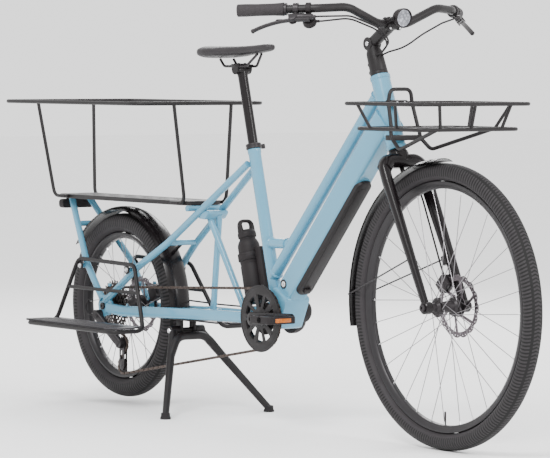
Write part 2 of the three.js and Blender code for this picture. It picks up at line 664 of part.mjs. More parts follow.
function rearFrames() {
  const right = rearFrameSide();
  const left = solid(mirrored(right));
  const b = bridges;
  const legSide = (x) => {
    const [top, knee] = deckLegRun;
    return top[1] + ((x - top[0]) / (knee[0] - top[0])) * (knee[1] - top[1]);
  };
  const spans = [
    bridgeRod(b.stayAhead, b.stayHeight, seatStayRun[1][1]),
    bridgeRod(-b.legBehind, b.legHeight, legSide(-b.legBehind)),
  ];
  const trimmed = spans.map((span) => cut(span, ...tubeGuards(seat.gap).map(mirrored)));
  return [piece("rear_frame_right", join(right, ...trimmed), paint), piece("rear_frame_left", left, paint)];
}

// The two round tubes of the right side, grown so that what they cut stays clear of them.
function tubeGuards(grow) {
  const fatten = (radius) => (radius + grow) / Math.cos(Math.PI / facets.plain);
  return [
    bentTube(rightSide(seatStayRun), fatten(rear.tubeRadius), bar.bend, facets.plain, 1),
    bentTube(rightSide(deckLegRun), fatten(rear.legRadius), bar.bend, facets.plain, 1),
  ];
}

function stayGuards(grow) {
  const guards = [...tubeGuards(grow), chainstayGuard(grow)];
  return [...guards, ...guards.map(mirrored)];
}

function chainstayGuard(grow) {
  return sweep(
    roundedRect(rear.stayWide + grow * 2, rear.stayHigh + grow * 2, rear.stayCorner + grow),
    rounded(rightSide(chainstayRun), bar.bend, 1));
}

function rearStruts() {
  const s = struts;
  const side = s.gussetHalf;
  const crossHeight = deck.top - deck.thickness - seat.gap - s.yokeRadius;
  const gusset = block(v(s.gussetBack, -side, s.gussetLow), v(s.gussetFront, side, s.gussetHigh));
  const cross = crossRod(s.crossAhead, crossHeight, -s.crossHalf, s.crossHalf, s.yokeRadius);
  const inGusset = (s.gussetLow + s.gussetHigh) / 2;
  const upStrut = rod(v(s.uprightFoot, s.side, s.footHeight), v(s.uprightTop, s.side, inGusset), s.radius);
  const diagonal = rod(
    v(s.diagonalFoot, -s.side, s.diagonalLow), v(s.diagonalTop, -s.side, inGusset), s.radius);
  const foot = block(
    v(s.uprightFoot - s.radius, -chainstayRun[2][1], s.footHeight - rear.stayHigh / 2),
    v(s.uprightFoot + s.radius, chainstayRun[2][1], s.footHeight));
  const shoe = block(
    v(s.footBack, -s.shoeHalf, s.footFloor),
    v(bracket.x - motorShell.back + seat.reach, s.shoeHalf, s.diagonalLow + seat.reach));
  const body = join(gusset, cross, upStrut, diagonal, foot, shoe);
  return piece("rear_struts", cut(body, ...stayGuards(seat.gap), motorGuard()), paint);
}

// The motor housing grown by the seating gap behind, above and below.
function motorGuard() {
  return join(
    moved(motorHousing(), 0, 0, seat.gap), moved(motorHousing(), -seat.gap, 0, 0),
    moved(motorHousing(), 0, 0, -seat.gap));
}

// Motor, battery and lock

function motor() {
  const s = motorShell;
  const inner = bore(crank.spindleRadius, facets.fine);
  const core = s.bore - seat.gap;
  const inside = s.halfWidth + seat.gap;
  const body = ringTurned([
    [inner, -inside - s.coverWidth], [s.coverRadius, -inside - s.coverWidth], [s.coverRadius, -inside],
    [core, -inside], [core, inside], [s.noseRadius, inside],
    [s.noseRadius, s.halfWidth + s.noseWidth * 0.6], [s.noseRadius * 0.82, s.halfWidth + s.noseWidth],
    [inner, s.halfWidth + s.noseWidth],
  ], facets.broad);
  const nose = turned([
    [0, inside], [s.noseRadius * 0.6, inside], [s.noseRadius * 0.6, s.halfWidth + s.noseWidth * 0.6],
    [s.noseRadius * 0.45, s.halfWidth + s.noseWidth], [0, s.halfWidth + s.noseWidth],
  ], facets.round);
  const spindle = crossRod(bracket.x, bracket.z, -s.noseRadius * 2, s.noseRadius * 2, inner, facets.fine);
  const shell = join(
    moved(body, bracket.x, 0, bracket.z), moved(nose, bracket.x + s.noseAhead, 0, bracket.z + s.corner));
  return piece("motor", cut(shell, spindle), plastic);
}

function batteryPack() {
  const s = battery;
  const latchUp = s.depth / 2 - mainTubes.downDepth / 2 - s.proud - s.depth / 2;
  const tab = s.corner / 2;
  const latch = rod(
    onDown(s.start + tab * 2, latchUp + seat.sink), onDown(s.start + tab * 4, latchUp - tab),
    tab, facets.plain);
  return piece("battery", join(batteryShape(0), latch), plastic);
}

function batteryLock() {
  const s = lock;
  const up = mainTubes.downDepth / 6;
  const face = -mainTubes.downWidth / 2;
  const from = onDown(s.along, up, face + s.depth - seat.gap);
  const to = v(0, -1, 0);
  const body = turnedOn([
    [0, 0], [s.radius, 0], [s.radius, s.depth], [s.radius, s.depth + s.rim], [s.radius * 0.7, s.depth + s.rim],
    [s.radius * 0.7, s.depth], [0, s.depth],
  ], from, from.clone().add(to), facets.round);
  const pivot = onDown(s.along, up, face);
  const keyway = block(
    v(pivot.x - s.slot / 2, face - s.key, pivot.z - s.radius / 2),
    v(pivot.x + s.slot / 2, face + s.key, pivot.z + s.radius / 2));
  return piece("battery_lock", cut(body, keyway), steel, pivot);
}

// Cranks, pedals and drive

const pitchRadius = (teeth) => drive.pitch / (2 * Math.sin(Math.PI / teeth));

function toothed(teeth, tip, depth) {
  const points = teeth * 2;
  return new THREE.Shape(Array.from({ length: points }, (_, i) => {
    const r = tip - (i % 2) * depth;
    const angle = (i * 2 * Math.PI) / points;
    return new THREE.Vector2(r * Math.cos(angle), r * Math.sin(angle));
  }));
}

// Largest radius that passes under the chain where it lies round a wheel.
const underChain = (teeth) => pitchRadius(teeth) * Math.cos(Math.PI / teeth) - drive.linkHigh / 2 - seat.gap * 2;

const circlePath = (radius, sides) => new THREE.Path(disc(radius, sides).getPoints());

function ringWindows() {
  return Array.from({ length: drive.windows }, (_, i) => {
    const middle = (i * 2 * Math.PI) / drive.windows;
    const span = Math.PI / drive.windows;
    return new THREE.Path([
      [drive.windowIn, -span * 0.42], [drive.windowIn, span * 0.42],
      [drive.windowOut, span * 0.62], [drive.windowOut, -span * 0.62],
    ].map(([r, a]) => new THREE.Vector2(r * Math.cos(middle + a), r * Math.sin(middle + a))));
  });
}

function chainring() {
  const d = drive;
  const low = -d.line - d.toothThick / 2;
  const guardHigh = low - d.guardGap;
  const ringShape = toothed(d.ringTeeth, underChain(d.ringTeeth), d.linkHigh / 2);
  ringShape.holes.push(circlePath(d.windowOut, facets.broad));
  const ring = upright(ringShape, low, low + d.toothThick);
  const guardShape = new THREE.Shape(disc(d.guardRadius, facets.wheel).getPoints());
  guardShape.holes.push(...ringWindows(), circlePath(bore(crank.spindleRadius, facets.fine), facets.fine));
  const guard = upright(guardShape, guardHigh - d.guardThick, guardHigh);
  const spacer = ringTurned([
    [d.windowOut + d.guardRing * 0.2, guardHigh - seat.sink / 2],
    [d.windowOut + d.guardRing * 1.2, guardHigh - seat.sink / 2],
    [d.windowOut + d.guardRing * 1.2, low + seat.sink / 2],
    [d.windowOut + d.guardRing * 0.2, low + seat.sink / 2],
  ], facets.broad);
  return piece("chainring", moved(join(ring, guard, spacer), bracket.x, 0, bracket.z), blackPaint, bracket);
}

function crankArm(side, angle, inside, hole) {
  const c = crank;
  const tip = v(bracket.x + c.length * Math.cos(angle), 0, bracket.z + c.length * Math.sin(angle));
  const low = Math.min(side * inside, side * (inside + c.thickness));
  const high = Math.max(side * inside, side * (inside + c.thickness));
  const boss = crossRod(bracket.x, bracket.z, low, high, c.bossRadius, facets.fine);
  const end = crossRod(tip.x, tip.z, low, high, c.endRadius, facets.round);
  const across = v(-Math.sin(angle), 0, Math.cos(angle));
  const shape = new THREE.Shape([
    bracket.clone().addScaledVector(across, c.bossRadius * 0.86),
    bracket.clone().addScaledVector(across, -c.bossRadius * 0.86),
    tip.clone().addScaledVector(across, -c.endRadius * 0.9),
    tip.clone().addScaledVector(across, c.endRadius * 0.9),
  ].map((p) => new THREE.Vector2(p.x, p.z)));
  const pin = crossRod(tip.x, tip.z, Math.min(side * inside, side * (inside + c.pinLength)),
    Math.max(side * inside, side * (inside + c.pinLength)), c.pinRadius, facets.plain);
  const arm = join(boss, end, upright(shape, low, high), pin);
  return hole ? cut(arm, hole) : arm;
}

const pedalAt = (side, angle) => v(
  bracket.x + crank.length * Math.cos(angle),
  side * (crank.inside + crank.thickness + pedal.boss + pedal.width / 2),
  bracket.z + crank.length * Math.sin(angle),
);

function cranks() {
  const c = crank;
  const spindle = crossRod(bracket.x, bracket.z, -c.inside - c.thickness * 0.7, c.inside + seat.sink, c.spindleRadius);
  const socket = crossRod(bracket.x, bracket.z, -c.inside - c.thickness * 0.7 - seat.gap, -c.inside + seat.reach,
    fit(c.spindleRadius));
  return [
    piece("crank_right", crankArm(-1, c.lift, c.inside, socket), blackPaint, bracket),
    piece("crank_left", join(crankArm(1, Math.PI + c.lift, c.inside), spindle), blackPaint, bracket),
  ];
}

function pedalBody(name, at, side) {
  const p = pedal;
  const x = p.length / 2;
  const y = p.width / 2;
  const z = p.height / 2;
  const barrel = rod(v(0, -y * side - p.boss * side * 0.5, 0), v(0, y * side, 0), p.barrel, facets.plain);
  const bars = [-1, 1].flatMap((s) => [
    block(v(s * (x - p.frame / 2) - p.frame / 2, -y, -z), v(s * (x - p.frame / 2) + p.frame / 2, y, z)),
    block(
      v(-x + seat.sink, s * (y - p.frame / 2) - p.frame / 2, -z),
      v(x - seat.sink, s * (y - p.frame / 2) + p.frame / 2, z)),
    block(
      v(s * x * 0.52 - p.cross / 2, -y + seat.sink, -z * 0.6),
      v(s * x * 0.52 + p.cross / 2, y - seat.sink, z * 0.6)),
  ]);
  const pinHole = rod(
    v(0, -y * side * 1.4, 0), v(0, y * side - p.inset * side * 0.2, 0), bore(crank.pinRadius));
  const body = cut(join(barrel, ...bars), pinHole);
  return piece(name, moved(body, at.x, at.y, at.z), plastic, at);
}

// The chain, laid on the ring, the sprocket and both pulleys

function chainCourse() {
  const wheels = [
    { at: bracket, r: pitchRadius(drive.ringTeeth), turn: 1 },
    { at: rearAxle, r: pitchRadius(drive.sprocketTeeth), turn: 1 },
    { at: v(pulley.ahead, 0, pulley.guideHeight), r: pitchRadius(pulley.teeth), turn: -1 },
    { at: v(pulley.ahead, 0, pulley.tensionHeight), r: pitchRadius(pulley.teeth), turn: 1 },
  ];
  // Each straight leaves one wheel and meets the next; turn 1 runs anticlockwise seen from the right
  const straights = wheels.map((a, i) => {
    const b = wheels[(i + 1) % wheels.length];
    const dx = b.at.x - a.at.x;
    const dz = b.at.z - a.at.z;
    const distance = Math.hypot(dx, dz);
    const heading = Math.atan2(dz, dx);
    const lean = Math.asin((b.turn * b.r - a.turn * a.r) / distance);
    const way = heading - lean;
    const normal = way - Math.PI / 2;
    const place = (w) => v(w.at.x + w.turn * w.r * Math.cos(normal), 0, w.at.z + w.turn * w.r * Math.sin(normal));
    return { from: place(a), to: place(b), way };
  });
  const points = [];
  const closeness = drive.pitch / 6;
  straights.forEach((s, i) => {
    const wheel = wheels[(i + 1) % wheels.length];
    const next = straights[(i + 1) % straights.length];
    points.push(s.from);
    const start = Math.atan2(s.to.z - wheel.at.z, s.to.x - wheel.at.x);
    let sweepAngle = (Math.atan2(next.from.z - wheel.at.z, next.from.x - wheel.at.x) - start) * wheel.turn;
    while (sweepAngle < 0) sweepAngle += 2 * Math.PI;
    while (sweepAngle > 2 * Math.PI) sweepAngle -= 2 * Math.PI;
    const count = Math.max(2, Math.round((sweepAngle * wheel.r) / closeness));
    for (let k = 0; k <= count; k++) {
      const a = start + (wheel.turn * sweepAngle * k) / count;
      points.push(v(wheel.at.x + wheel.r * Math.cos(a), 0, wheel.at.z + wheel.r * Math.sin(a)));
    }
  });
  points.push(points[0]);
  return points;
}

function spaced(points, count) {
  const lengths = [0];
  for (let i = 1; i < points.length; i++) lengths.push(lengths[i - 1] + points[i].distanceTo(points[i - 1]));
  const total = lengths[lengths.length - 1];
  const out = [];
  let k = 0;
  for (let i = 0; i < count; i++) {
    const want = (total * i) / count;
    while (lengths[k + 1] < want) k += 1;
    const span = Math.max(lengths[k + 1] - lengths[k], 1e-9);
    out.push(points[k].clone().lerp(points[k + 1], (want - lengths[k]) / span));
  }
  return { places: out, total };
}

function chain() {
  const course = chainCourse();
  const { total } = spaced(course, 1);
  const count = 2 * Math.round(total / drive.pitch / 2);
  const { places } = spaced(course, count);
  const high = drive.linkHigh / 2;
  const rings = places.flatMap((at, i) => {
    const back = at.clone().sub(places[(i + count - 1) % count]).normalize();
    const forward = places[(i + 1) % count].clone().sub(at).normalize();
    const run = back.add(forward).normalize();
    const up = v(-run.z, 0, run.x).multiplyScalar(high);
    const ring = (width) => [[1, 1], [-1, 1], [-1, -1], [1, -1]].map(([side, rise]) =>
      at.clone().addScaledVector(up, rise).setY((side * width) / 2 - drive.line));
    const widths = i % 2 ? [drive.linkSlim, drive.linkWide] : [drive.linkWide, drive.linkSlim];
    return widths.map(ring);
  });
  return piece("chain", loft(rings, true), bronzeSteel);
}

function sprocketStack() {
  const c = cassette;
  const inner = bore(axle.radius, facets.fine);
  const outside = c.teeth.indexOf(drive.sprocketTeeth) * c.pitch - drive.line + c.thick / 2;
  const inside = outside - c.pitch * c.teeth.length;
  const core = ringTurned([[inner, inside], [c.core, inside], [c.core, outside], [inner, outside]], c.sides);
  const parts = c.teeth.map((teeth, i) => {
    const engaged = teeth === drive.sprocketTeeth;
    const tip = engaged ? underChain(teeth) : pitchRadius(teeth) + drive.linkHigh * 0.3;
    const shape = toothed(teeth, tip, drive.linkHigh * 0.7);
    shape.holes.push(circlePath(c.core - seat.sink, c.sides));
    const face = outside - i * c.pitch;
    return upright(shape, face - c.thick, face);
  });
  return piece("cassette", moved(join(core, ...parts), rearAxle.x, 0, rearAxle.z), steel, rearAxle);
}

function jockey(name, height) {
  const at = v(pulley.ahead, 0, height);
  const shape = toothed(pulley.teeth, underChain(pulley.teeth), drive.linkHigh * 0.35);
  shape.holes.push(circlePath(bore(pulley.pin, facets.plain), facets.plain));
  const body = upright(shape, -drive.line - pulley.thick / 2, -drive.line + pulley.thick / 2);
  return piece(name, moved(body, at.x, 0, at.z), plastic, at);
}

function derailleur() {
  const c = changer;
  const guide = v(pulley.ahead, 0, pulley.guideHeight);
  const tension = v(pulley.ahead, 0, pulley.tensionHeight);
  const outer = -drive.line - c.plateInside - c.plateThick;
  const shape = new THREE.Shape();
  shape.absarc(guide.x, guide.z, c.plateWidth / 2, 0, Math.PI);
  shape.absarc(tension.x, tension.z, c.plateWidth / 2, Math.PI, 2 * Math.PI);
  const plates = [outer, -drive.line + c.plateInside].map((low) => upright(shape, low, low + c.plateThick));
  const pins = [guide, tension].map((p) => crossRod(
    p.x, p.z, outer + seat.sink / 2, -drive.line + c.plateInside + seat.sink / 2, pulley.pin, facets.plain));
  const upper = v(rearAxle.x - c.upperBack, 0, rearAxle.z - c.upperDrop);
  const hanger = -rear.dropoutInside - rear.dropoutThick - seat.gap;
  const lowerKnuckle = crossRod(guide.x, guide.z, outer - c.linkWide, outer + seat.sink / 2, c.knuckle);
  const upperKnuckle = crossRod(upper.x, upper.z, -c.upperOut, hanger, c.knuckle);
  const from = upper.clone().setY(-c.upperOut + c.linkWide / 2);
  const to = guide.clone().setY(outer - c.linkWide / 2);
  const link = sweep(roundedRect(c.linkWide, c.linkHigh, c.linkWide / 3), [from, to]);
  const start = from.clone().add(v(-c.knuckle / 2, 0, 0));
  const cable = bentTube([
    start, start.clone().add(v(-c.cableBack * 0.7, 0, -c.cableTop * 0.1)),
    start.clone().add(v(-c.cableBack, 0, c.cableTop * 0.5)),
    start.clone().add(v(-c.cableBack * 0.6, 0, c.cableTop)), start.clone().add(v(-c.cableEnd, 0, c.cableTop)),
  ], c.cableRadius, c.cableEnd, facets.thin);
  return piece("derailleur", join(...plates, ...pins, lowerKnuckle, upperKnuckle, link, cable), blackPaint);
}

// Cargo deck, passenger rail and rear lamp

function cargoDeck() {
  const d = deck;
  const length = d.front - d.back;
  const middle = (d.front + d.back) / 2;
  const skin = roundedRect(length, d.halfWidth * 2, d.corner);
  const tip = d.slotLength / 2;
  for (let i = 0; i < d.slots; i++) {
    for (const row of [-1, 1]) {
      const x = (i - (d.slots - 1) / 2) * (length / (d.slots + 1));
      const corners = [[-tip, 0], [-tip * 0.8, -0.5], [tip * 0.8, -0.5], [tip, 0], [tip * 0.8, 0.5], [-tip * 0.8, 0.5]];
      skin.holes.push(new THREE.Path(corners.map(([reach, share]) =>
        new THREE.Vector2(x + reach, row * d.slotRow + share * d.slotWidth))));
    }
  }
  const rim = roundedRect(length, d.halfWidth * 2, d.corner);
  const inner = roundedRect(length - d.railWidth * 2, (d.halfWidth - d.railWidth) * 2, d.corner - d.railWidth);
  rim.holes.push(new THREE.Path(inner.getPoints(facets.corner)));
  const rib = block(
    v(-length / 2 + d.ribFrom, d.railWidth / 2 - d.halfWidth, d.top - d.thickness),
    v(-length / 2 + d.ribTo, d.halfWidth - d.railWidth / 2, d.top - d.skin));
  const body = join(level(skin, d.top - d.skin, d.top), level(rim, d.top - d.thickness, d.top - d.skin), rib);
  return piece("cargo_deck", moved(body, middle, 0, 0), blackPaint);
}

function passengerRail() {
  const r = { ...rail, height: deck.top + rail.rise, footHeight: deck.top - deck.thickness / 2 };
  const corners = [
    v(r.back, -r.halfWidth, r.height), v(r.front, -r.halfWidth, r.height),
    v(r.front, r.halfWidth, r.height), v(r.back, r.halfWidth, r.height),
  ];
  const ring = loopTube(corners, r.radius, r.corner, facets.thin);
  const footSide = deck.halfWidth + seat.gap + flatOf(r.postRadius, facets.thin);
  const posts = [-1, 1].flatMap((side) => [[r.back, r.rearFoot, 1], [r.front, r.frontFoot, -1]].map(
    ([top, foot, way]) => bentTube([
      v(top, side * r.postTop, r.height), v(foot, side * footSide, r.footHeight),
      v(foot + way * r.footRun, side * footSide, r.footHeight),
    ], r.postRadius, r.bend, facets.thin)));
  return piece("passenger_rail", join(ring, ...posts), blackPaint);
}

function rearLamp() {
  const l = { ...lamp, top: deck.top - deck.thickness - lamp.drop };
  const shape = roundedRect(l.halfWidth * 2, l.height, l.corner);
  const middle = l.top - l.height / 2;
  const body = sweep(shape, [v(-l.behind - l.depth / 2, 0, middle), v(-l.behind + l.depth / 2, 0, middle)]);
  const post = block(
    v(-l.behind - l.depth / 3, -l.halfWidth * 0.6, l.top - l.corner),
    v(-l.behind + l.depth / 3, l.halfWidth * 0.6, deck.top - deck.thickness - seat.gap));
  return piece("rear_lamp", join(body, post), plastic);
}

// Front rack

const rackAhead = (key) => onSteer(headTop).x + frontRack[key];
const rackTop = onSteer(headTop).z - frontRack.topDrop;
const rackFloor = rackTop - frontRack.floorDrop;
const rack = {
  ...frontRack,
  ...Object.fromEntries([
    "topBack", "topFront", "floorBack", "floorFront", "stayBendAhead", "stayBackAhead",
    "sidePostBack", "sidePostFront",
  ].map((key) => [key, rackAhead(key)])),
  topHeight: rackTop,
  floorHeight: rackFloor,
  hoopHeight: rackTop + frontRack.hoopRise,
  stayBendHeight: rackFloor - frontRack.stayBendDrop,
  stayBackHeight: rackFloor - frontRack.stayBackDrop,
};

function rackRing(back, front, halfWidth, height, corner) {
  const corners = [
    v(back, -halfWidth, height), v(front, -halfWidth, height),
    v(front, halfWidth, height), v(back, halfWidth, height),
  ];
  return loopTube(corners, frontRack.wire, corner, facets.thin);
}

function rackPosts() {
  const r = rack;
  const drop = (high, low) => rod(high, low, r.wire * 0.9, facets.thin);
  const share = r.floorHalf / r.topHalf;
  const frontPosts = [-r.frontPost, 0, r.frontPost].map((y) =>
    drop(v(r.topFront, y, r.topHeight), v(r.floorFront, y * share, r.floorHeight)));
  const sidePosts = [-1, 1].flatMap((side) => [[r.sidePostBack, r.wire * 4], [r.sidePostFront, -r.wire * 6]].map(
    ([x, lean]) => drop(v(x, side * r.topHalf, r.topHeight), v(x + lean, side * r.floorHalf, r.floorHeight))));
  return [...frontPosts, ...sidePosts];
}

function rackFrame() {
  const r = rack;
  const hoop = bentTube([
    v(r.floorBack, -r.hoopHalf * 1.3, r.floorHeight), v(r.topBack, -r.hoopHalf * 1.15, r.topHeight),
    v(r.topBack, -r.hoopHalf, r.hoopHeight), v(r.topBack, r.hoopHalf, r.hoopHeight),
    v(r.topBack, r.hoopHalf * 1.15, r.topHeight), v(r.floorBack, r.hoopHalf * 1.3, r.floorHeight),
  ], r.wire, r.hoopHalf * 0.6, facets.thin, 1);
  const slats = [-1, 1].map((side) => rod(
    v(r.floorBack, side * r.slatSide, r.floorHeight), v(r.floorFront, side * r.slatSide, r.floorHeight),
    r.wire * 0.8, facets.thin));
  const stays = [-1, 1].map((side) => bentTube([
    v(r.floorFront - r.wire * 5, side * r.stayHalf, r.floorHeight),
    v(r.stayBendAhead, side * r.stayBendHalf, r.stayBendHeight),
    v(r.stayBackAhead, side * r.stayBendHalf * 0.9, r.stayBackHeight),
    v(r.floorBack, side * r.stayBendHalf * 0.9, r.floorHeight),
  ], r.wire, r.wire * 5, facets.thin, 1));
  const brace = rod(
    v(r.floorFront - r.wire * 5, -r.stayHalf, r.floorHeight), v(r.floorFront - r.wire * 5, r.stayHalf, r.floorHeight),
    r.wire * 0.8, facets.thin);
  return [hoop, ...slats, ...stays, brace];
}

function rackMount() {
  const r = rack;
  const line = (z) => (z - steerFoot.z) / along.z;
  const clampHead = line(r.topHeight);
  const clampFoot = line(r.stayBackHeight);
  const upper = block(
    v(onSteer(clampHead).x + head.tubeRadius * 0.8, -r.plateWidth / 2, r.topHeight - r.wire * 1.6),
    v(r.topBack + r.wire * 0.6, r.plateWidth / 2, r.topHeight + r.wire * 1.6));
  const lower = block(
    v(onSteer(clampFoot).x + head.tubeRadius * 0.8, -r.stayBendHalf, r.stayBackHeight - r.wire * 1.4),
    v(r.stayBackAhead + r.wire, r.stayBendHalf, r.stayBackHeight + r.wire * 1.4));
  return [[upper, lower], rod(onSteer(headFoot - seat.reach), onSteer(headTop),
    fit(head.tubeRadius, facets.fine), facets.fine)];
}

function frontCargoRack() {
  const r = rack;
  const [mounts, headTube] = rackMount();
  const body = join(
    rackRing(r.topBack, r.topFront, r.topHalf, r.topHeight, r.topCorner),
    rackRing(r.floorBack, r.floorFront, r.floorHalf, r.floorHeight, r.floorCorner),
    ...rackPosts(), ...rackFrame(), ...mounts,
  );
  return piece("front_rack", cut(body, headTube), blackPaint);
}

// Footboards, made on the right and mirrored

function footrestFrame() {
  const f = footrest;
  const low = f.top - f.plate - seat.gap - f.wire;
  const topFront = v(f.barFront, -f.barSide, f.barHeight);
  const topBack = v(f.barBack, -f.barSide, f.barHeight + f.wire);
  const inFront = v(f.front, -f.inner, low);
  const inBack = v(f.back, -f.inner, low);
  const outFront = v(f.front, -f.outer, low);
  const outBack = v(f.back, -f.outer, low);
  const startAt = outBack.clone().lerp(outFront, 0.3);
  const lapEnd = outBack.clone().lerp(outFront, 0.31);
  const run = rounded([startAt, outFront, inFront, topFront, topBack, inBack, outBack, lapEnd], f.bend);
  const at = (from, to) => from.clone().lerp(to, (f.midHeight - from.z) / (to.z - from.z));
  const middle = rod(at(inFront, topFront), at(inBack, topBack), f.wire * 0.85, facets.thin);
  const tabs = [f.tabBack, f.tabFront].flatMap((x) => [
    crossRod(x, f.tabHeight, -f.barSide - f.tabThick / 2, f.tabThick / 2 - f.barSide, f.tabRadius),
    crossRod(x, f.tabHeight, -f.barSide - f.tabThick * 1.6, -f.barSide, f.bossRadius * 0.8, facets.thin),
  ]);
  return join(tube(run, f.wire, facets.thin), middle, ...tabs);
}

function footboard() {
  const f = footrest;
  const length = f.front - f.back + f.wire;
  const width = f.outer - f.inner + f.wire;
  const x = (f.front + f.back) / 2;
  const y = (f.outer + f.inner) / 2;
  const shape = new THREE.Shape();
  const hx = length / 2;
  const hy = width / 2;
  shape.moveTo(-hx + f.rearCorner, -hy);
  shape.lineTo(hx - f.corner, -hy);
  shape.absarc(hx - f.corner, -hy + f.corner, f.corner, -Math.PI / 2, 0);
  shape.lineTo(hx, hy - f.rearCorner);
  shape.lineTo(hx - f.rearCorner, hy);
  shape.lineTo(-hx + f.rearCorner, hy);
  shape.lineTo(-hx, hy - f.rearCorner);
  shape.lineTo(-hx, -hy + f.rearCorner);
  const plate = level(shape, f.top - f.plate, f.top, facets.bend + 1);
  return moved(plate, x, -y, 0);
}

function footrests() {
  const frame = footrestFrame();
  const board = cut(footboard(), legNotches());
  return [
    piece("footrest_frame_right", frame, blackPaint), piece("footrest_frame_left", mirrored(frame), blackPaint),
    piece("footboard_right", board, plastic), piece("footboard_left", mirrored(board), plastic),
  ];
}

// Room in the board for the two legs that rise from its inner edge.
function legNotches() {
  const f = footrest;
  const side = f.inner + f.bend + f.wire * 1.2;
  return join(...[[f.back, -1], [f.front, 1]].map(([x, way]) => {
    const ends = [x - way * f.wire * 3, x + way * f.wire * 3];
    return block(
      v(Math.min(...ends), -side, f.top - f.plate - seat.reach), v(Math.max(...ends), 0, f.top + seat.reach));
  }));
}

// Kickstand

const stayFloor = chainstayRun[2][2] - rear.stayHigh / 2;
const standPlace = { ...stand, height: stayFloor - stand.drop };

function standPlate() {
  const s = standPlace;
  const top = stayFloor;
  const plate = block(v(s.plateBack, -s.plateHalf, top - s.plateThick), v(s.plateFront, s.plateHalf, top));
  const ears = [-1, 1].map((side) => {
    const ends = [side * s.earOuter, side * (s.earOuter - s.earThick)];
    return block(
      v(s.ahead - s.barrelRadius, Math.min(...ends), s.height - s.barrelRadius),
      v(s.ahead + s.barrelRadius, Math.max(...ends), top - s.plateThick / 2));
  });
  const hole = crossRod(s.ahead, s.height, -s.barrelHalf, s.barrelHalf, bore(s.shaftRadius));
  return piece("kickstand_plate", cut(join(plate, ...ears), hole, ...stayGuards(seat.gap)), blackPaint);
}

function kickstand() {
  const s = standPlace;
  const pivot = v(s.ahead, 0, s.height);
  const shaft = crossRod(s.ahead, s.height, -s.barrelHalf - s.nut, s.barrelHalf + s.nut, s.shaftRadius);
  const legs = [-1, 1].flatMap((side) => {
    const ends = [side * (s.earOuter + seat.gap), side * s.barrelHalf];
    const top = v(s.ahead, side * s.shoulderHalf, s.height);
    const foot = v(s.footAhead, side * s.footHalf, s.footHeight / 2);
    return [
      crossRod(s.ahead, s.height, Math.min(...ends), Math.max(...ends), s.barrelRadius),
      rod(top, foot, s.legRadius, facets.plain, s.legFoot),
      rod(foot.clone().setZ(0), foot.clone().setZ(s.footHeight), s.footRadius, facets.round, s.footRadius * 0.8),
    ];
  });
  const archAt = (side) => v(s.ahead + s.archAhead, side * s.shoulderHalf * 1.15, s.height - s.archDrop);
  const arch = rod(archAt(-1), archAt(1), s.legRadius * 0.6, facets.plain);
  return piece("kickstand", join(shaft, arch, ...legs), blackPaint, pivot);
}

// Seat

// The saddle's ends and underside, placed over the head of the seatpost
function saddlePlace() {
  const headAt = onSeat(mast.postTop);
  const { behind, ahead: forward, rise, ...rest } = saddle;
  return { ...rest, back: headAt.x - behind, front: headAt.x + forward, height: headAt.z + rise };
}

function seatParts() {
  const m = mast;
  const s = saddlePlace();
  const top = mainTubes.seatTop;
  const length = s.front - s.back;
  const headAt = onSeat(m.postTop);
  const post = rod(onSeat(top - m.postInside), headAt, m.postRadius);
  const clamp = crossRod(headAt.x, headAt.z, -m.clampHalf, m.clampHalf, m.clampRadius * 0.8);
  const railFrom = s.back + length * 0.24;
  const railTo = s.back + length * 0.8;
  const under = s.height + m.railRise - seat.gap - m.railRadius;
  const low = headAt.z + m.railRadius * 2;
  const rails = [-1, 1].map((side) => bentTube([
    v(railFrom, side * m.railHalf, under), v(railFrom + m.clampRadius, side * m.railHalf, low),
    v(railTo - m.clampRadius * 2, side * m.railHalf * 0.8, low),
    v(railTo, side * m.railHalf * 0.3, under + s.noseRise * 0.7),
  ], m.railRadius, m.clampRadius, facets.thin, 1));
  return [piece("seatpost", join(post, clamp, ...rails), blackPaint), ...seatClamp(), saddleShell()];
}

function seatClamp() {
  const m = mast;
  const top = mainTubes.seatTop;
  const middle = top + m.collarHeight / 2;
  const collar = cut(
    join(rod(onSeat(top + seat.gap), onSeat(top + m.collarHeight), m.collarRadius, facets.fine),
      rod(onSeat(middle, m.collarRadius * 0.8), onSeat(middle, m.bossOut), m.bossRadius * 0.8)),
    rod(onSeat(top - m.collarHeight), onSeat(top + m.collarHeight * 2), fit(m.postRadius)));
  const hinge = onSeat(middle, m.bossOut + seat.gap + m.camRadius);
  const across = seatUp.clone().multiplyScalar(m.leverWidth * 0.7);
  const lever = join(
    rod(hinge.clone().sub(across), hinge.clone().add(across), m.camRadius),
    block(v(hinge.x - m.leverLength, hinge.y - m.leverThick / 2, hinge.z - m.leverWidth / 2),
      v(hinge.x, hinge.y + m.leverThick / 2, hinge.z + m.leverWidth / 2)));
  return [
    piece("seat_clamp", collar, blackPaint),
    piece("seat_clamp_lever", lever, steel, hinge),
  ];
}

// Saddle, lofted through cross sections from tail to nose
function saddleShell() {
  const s = saddlePlace();
  const length = s.front - s.back;
  const sectionShares = [
    [0, 0.62, 0.5], [0.06, 0.9, 0.85], [0.2, 1, 1], [0.38, 0.82, 0.96], [0.55, 0.5, 0.9],
    [0.75, 0.3, 0.84], [0.94, 0.24, 0.78], [1, 0.16, 0.5],
  ];
  const rings = sectionShares.map(([at, wide, deep]) => Array.from({ length: s.around }, (_, i) => {
    const angle = ((i + 0.5) * 2 * Math.PI) / s.around;
    const rise = Math.sin(angle) * s.thickness * deep * (Math.sin(angle) > 0 ? 0.42 : 0.5);
    const bulge = Math.sign(Math.cos(angle)) * Math.abs(Math.cos(angle)) ** 0.7;
    return v(s.back + length * at, s.halfWidth * wide * bulge,
      s.height + s.noseRise * at * at + s.thickness / 2 + rise);
  }));
  return piece("saddle", loft(rings), leather);
}

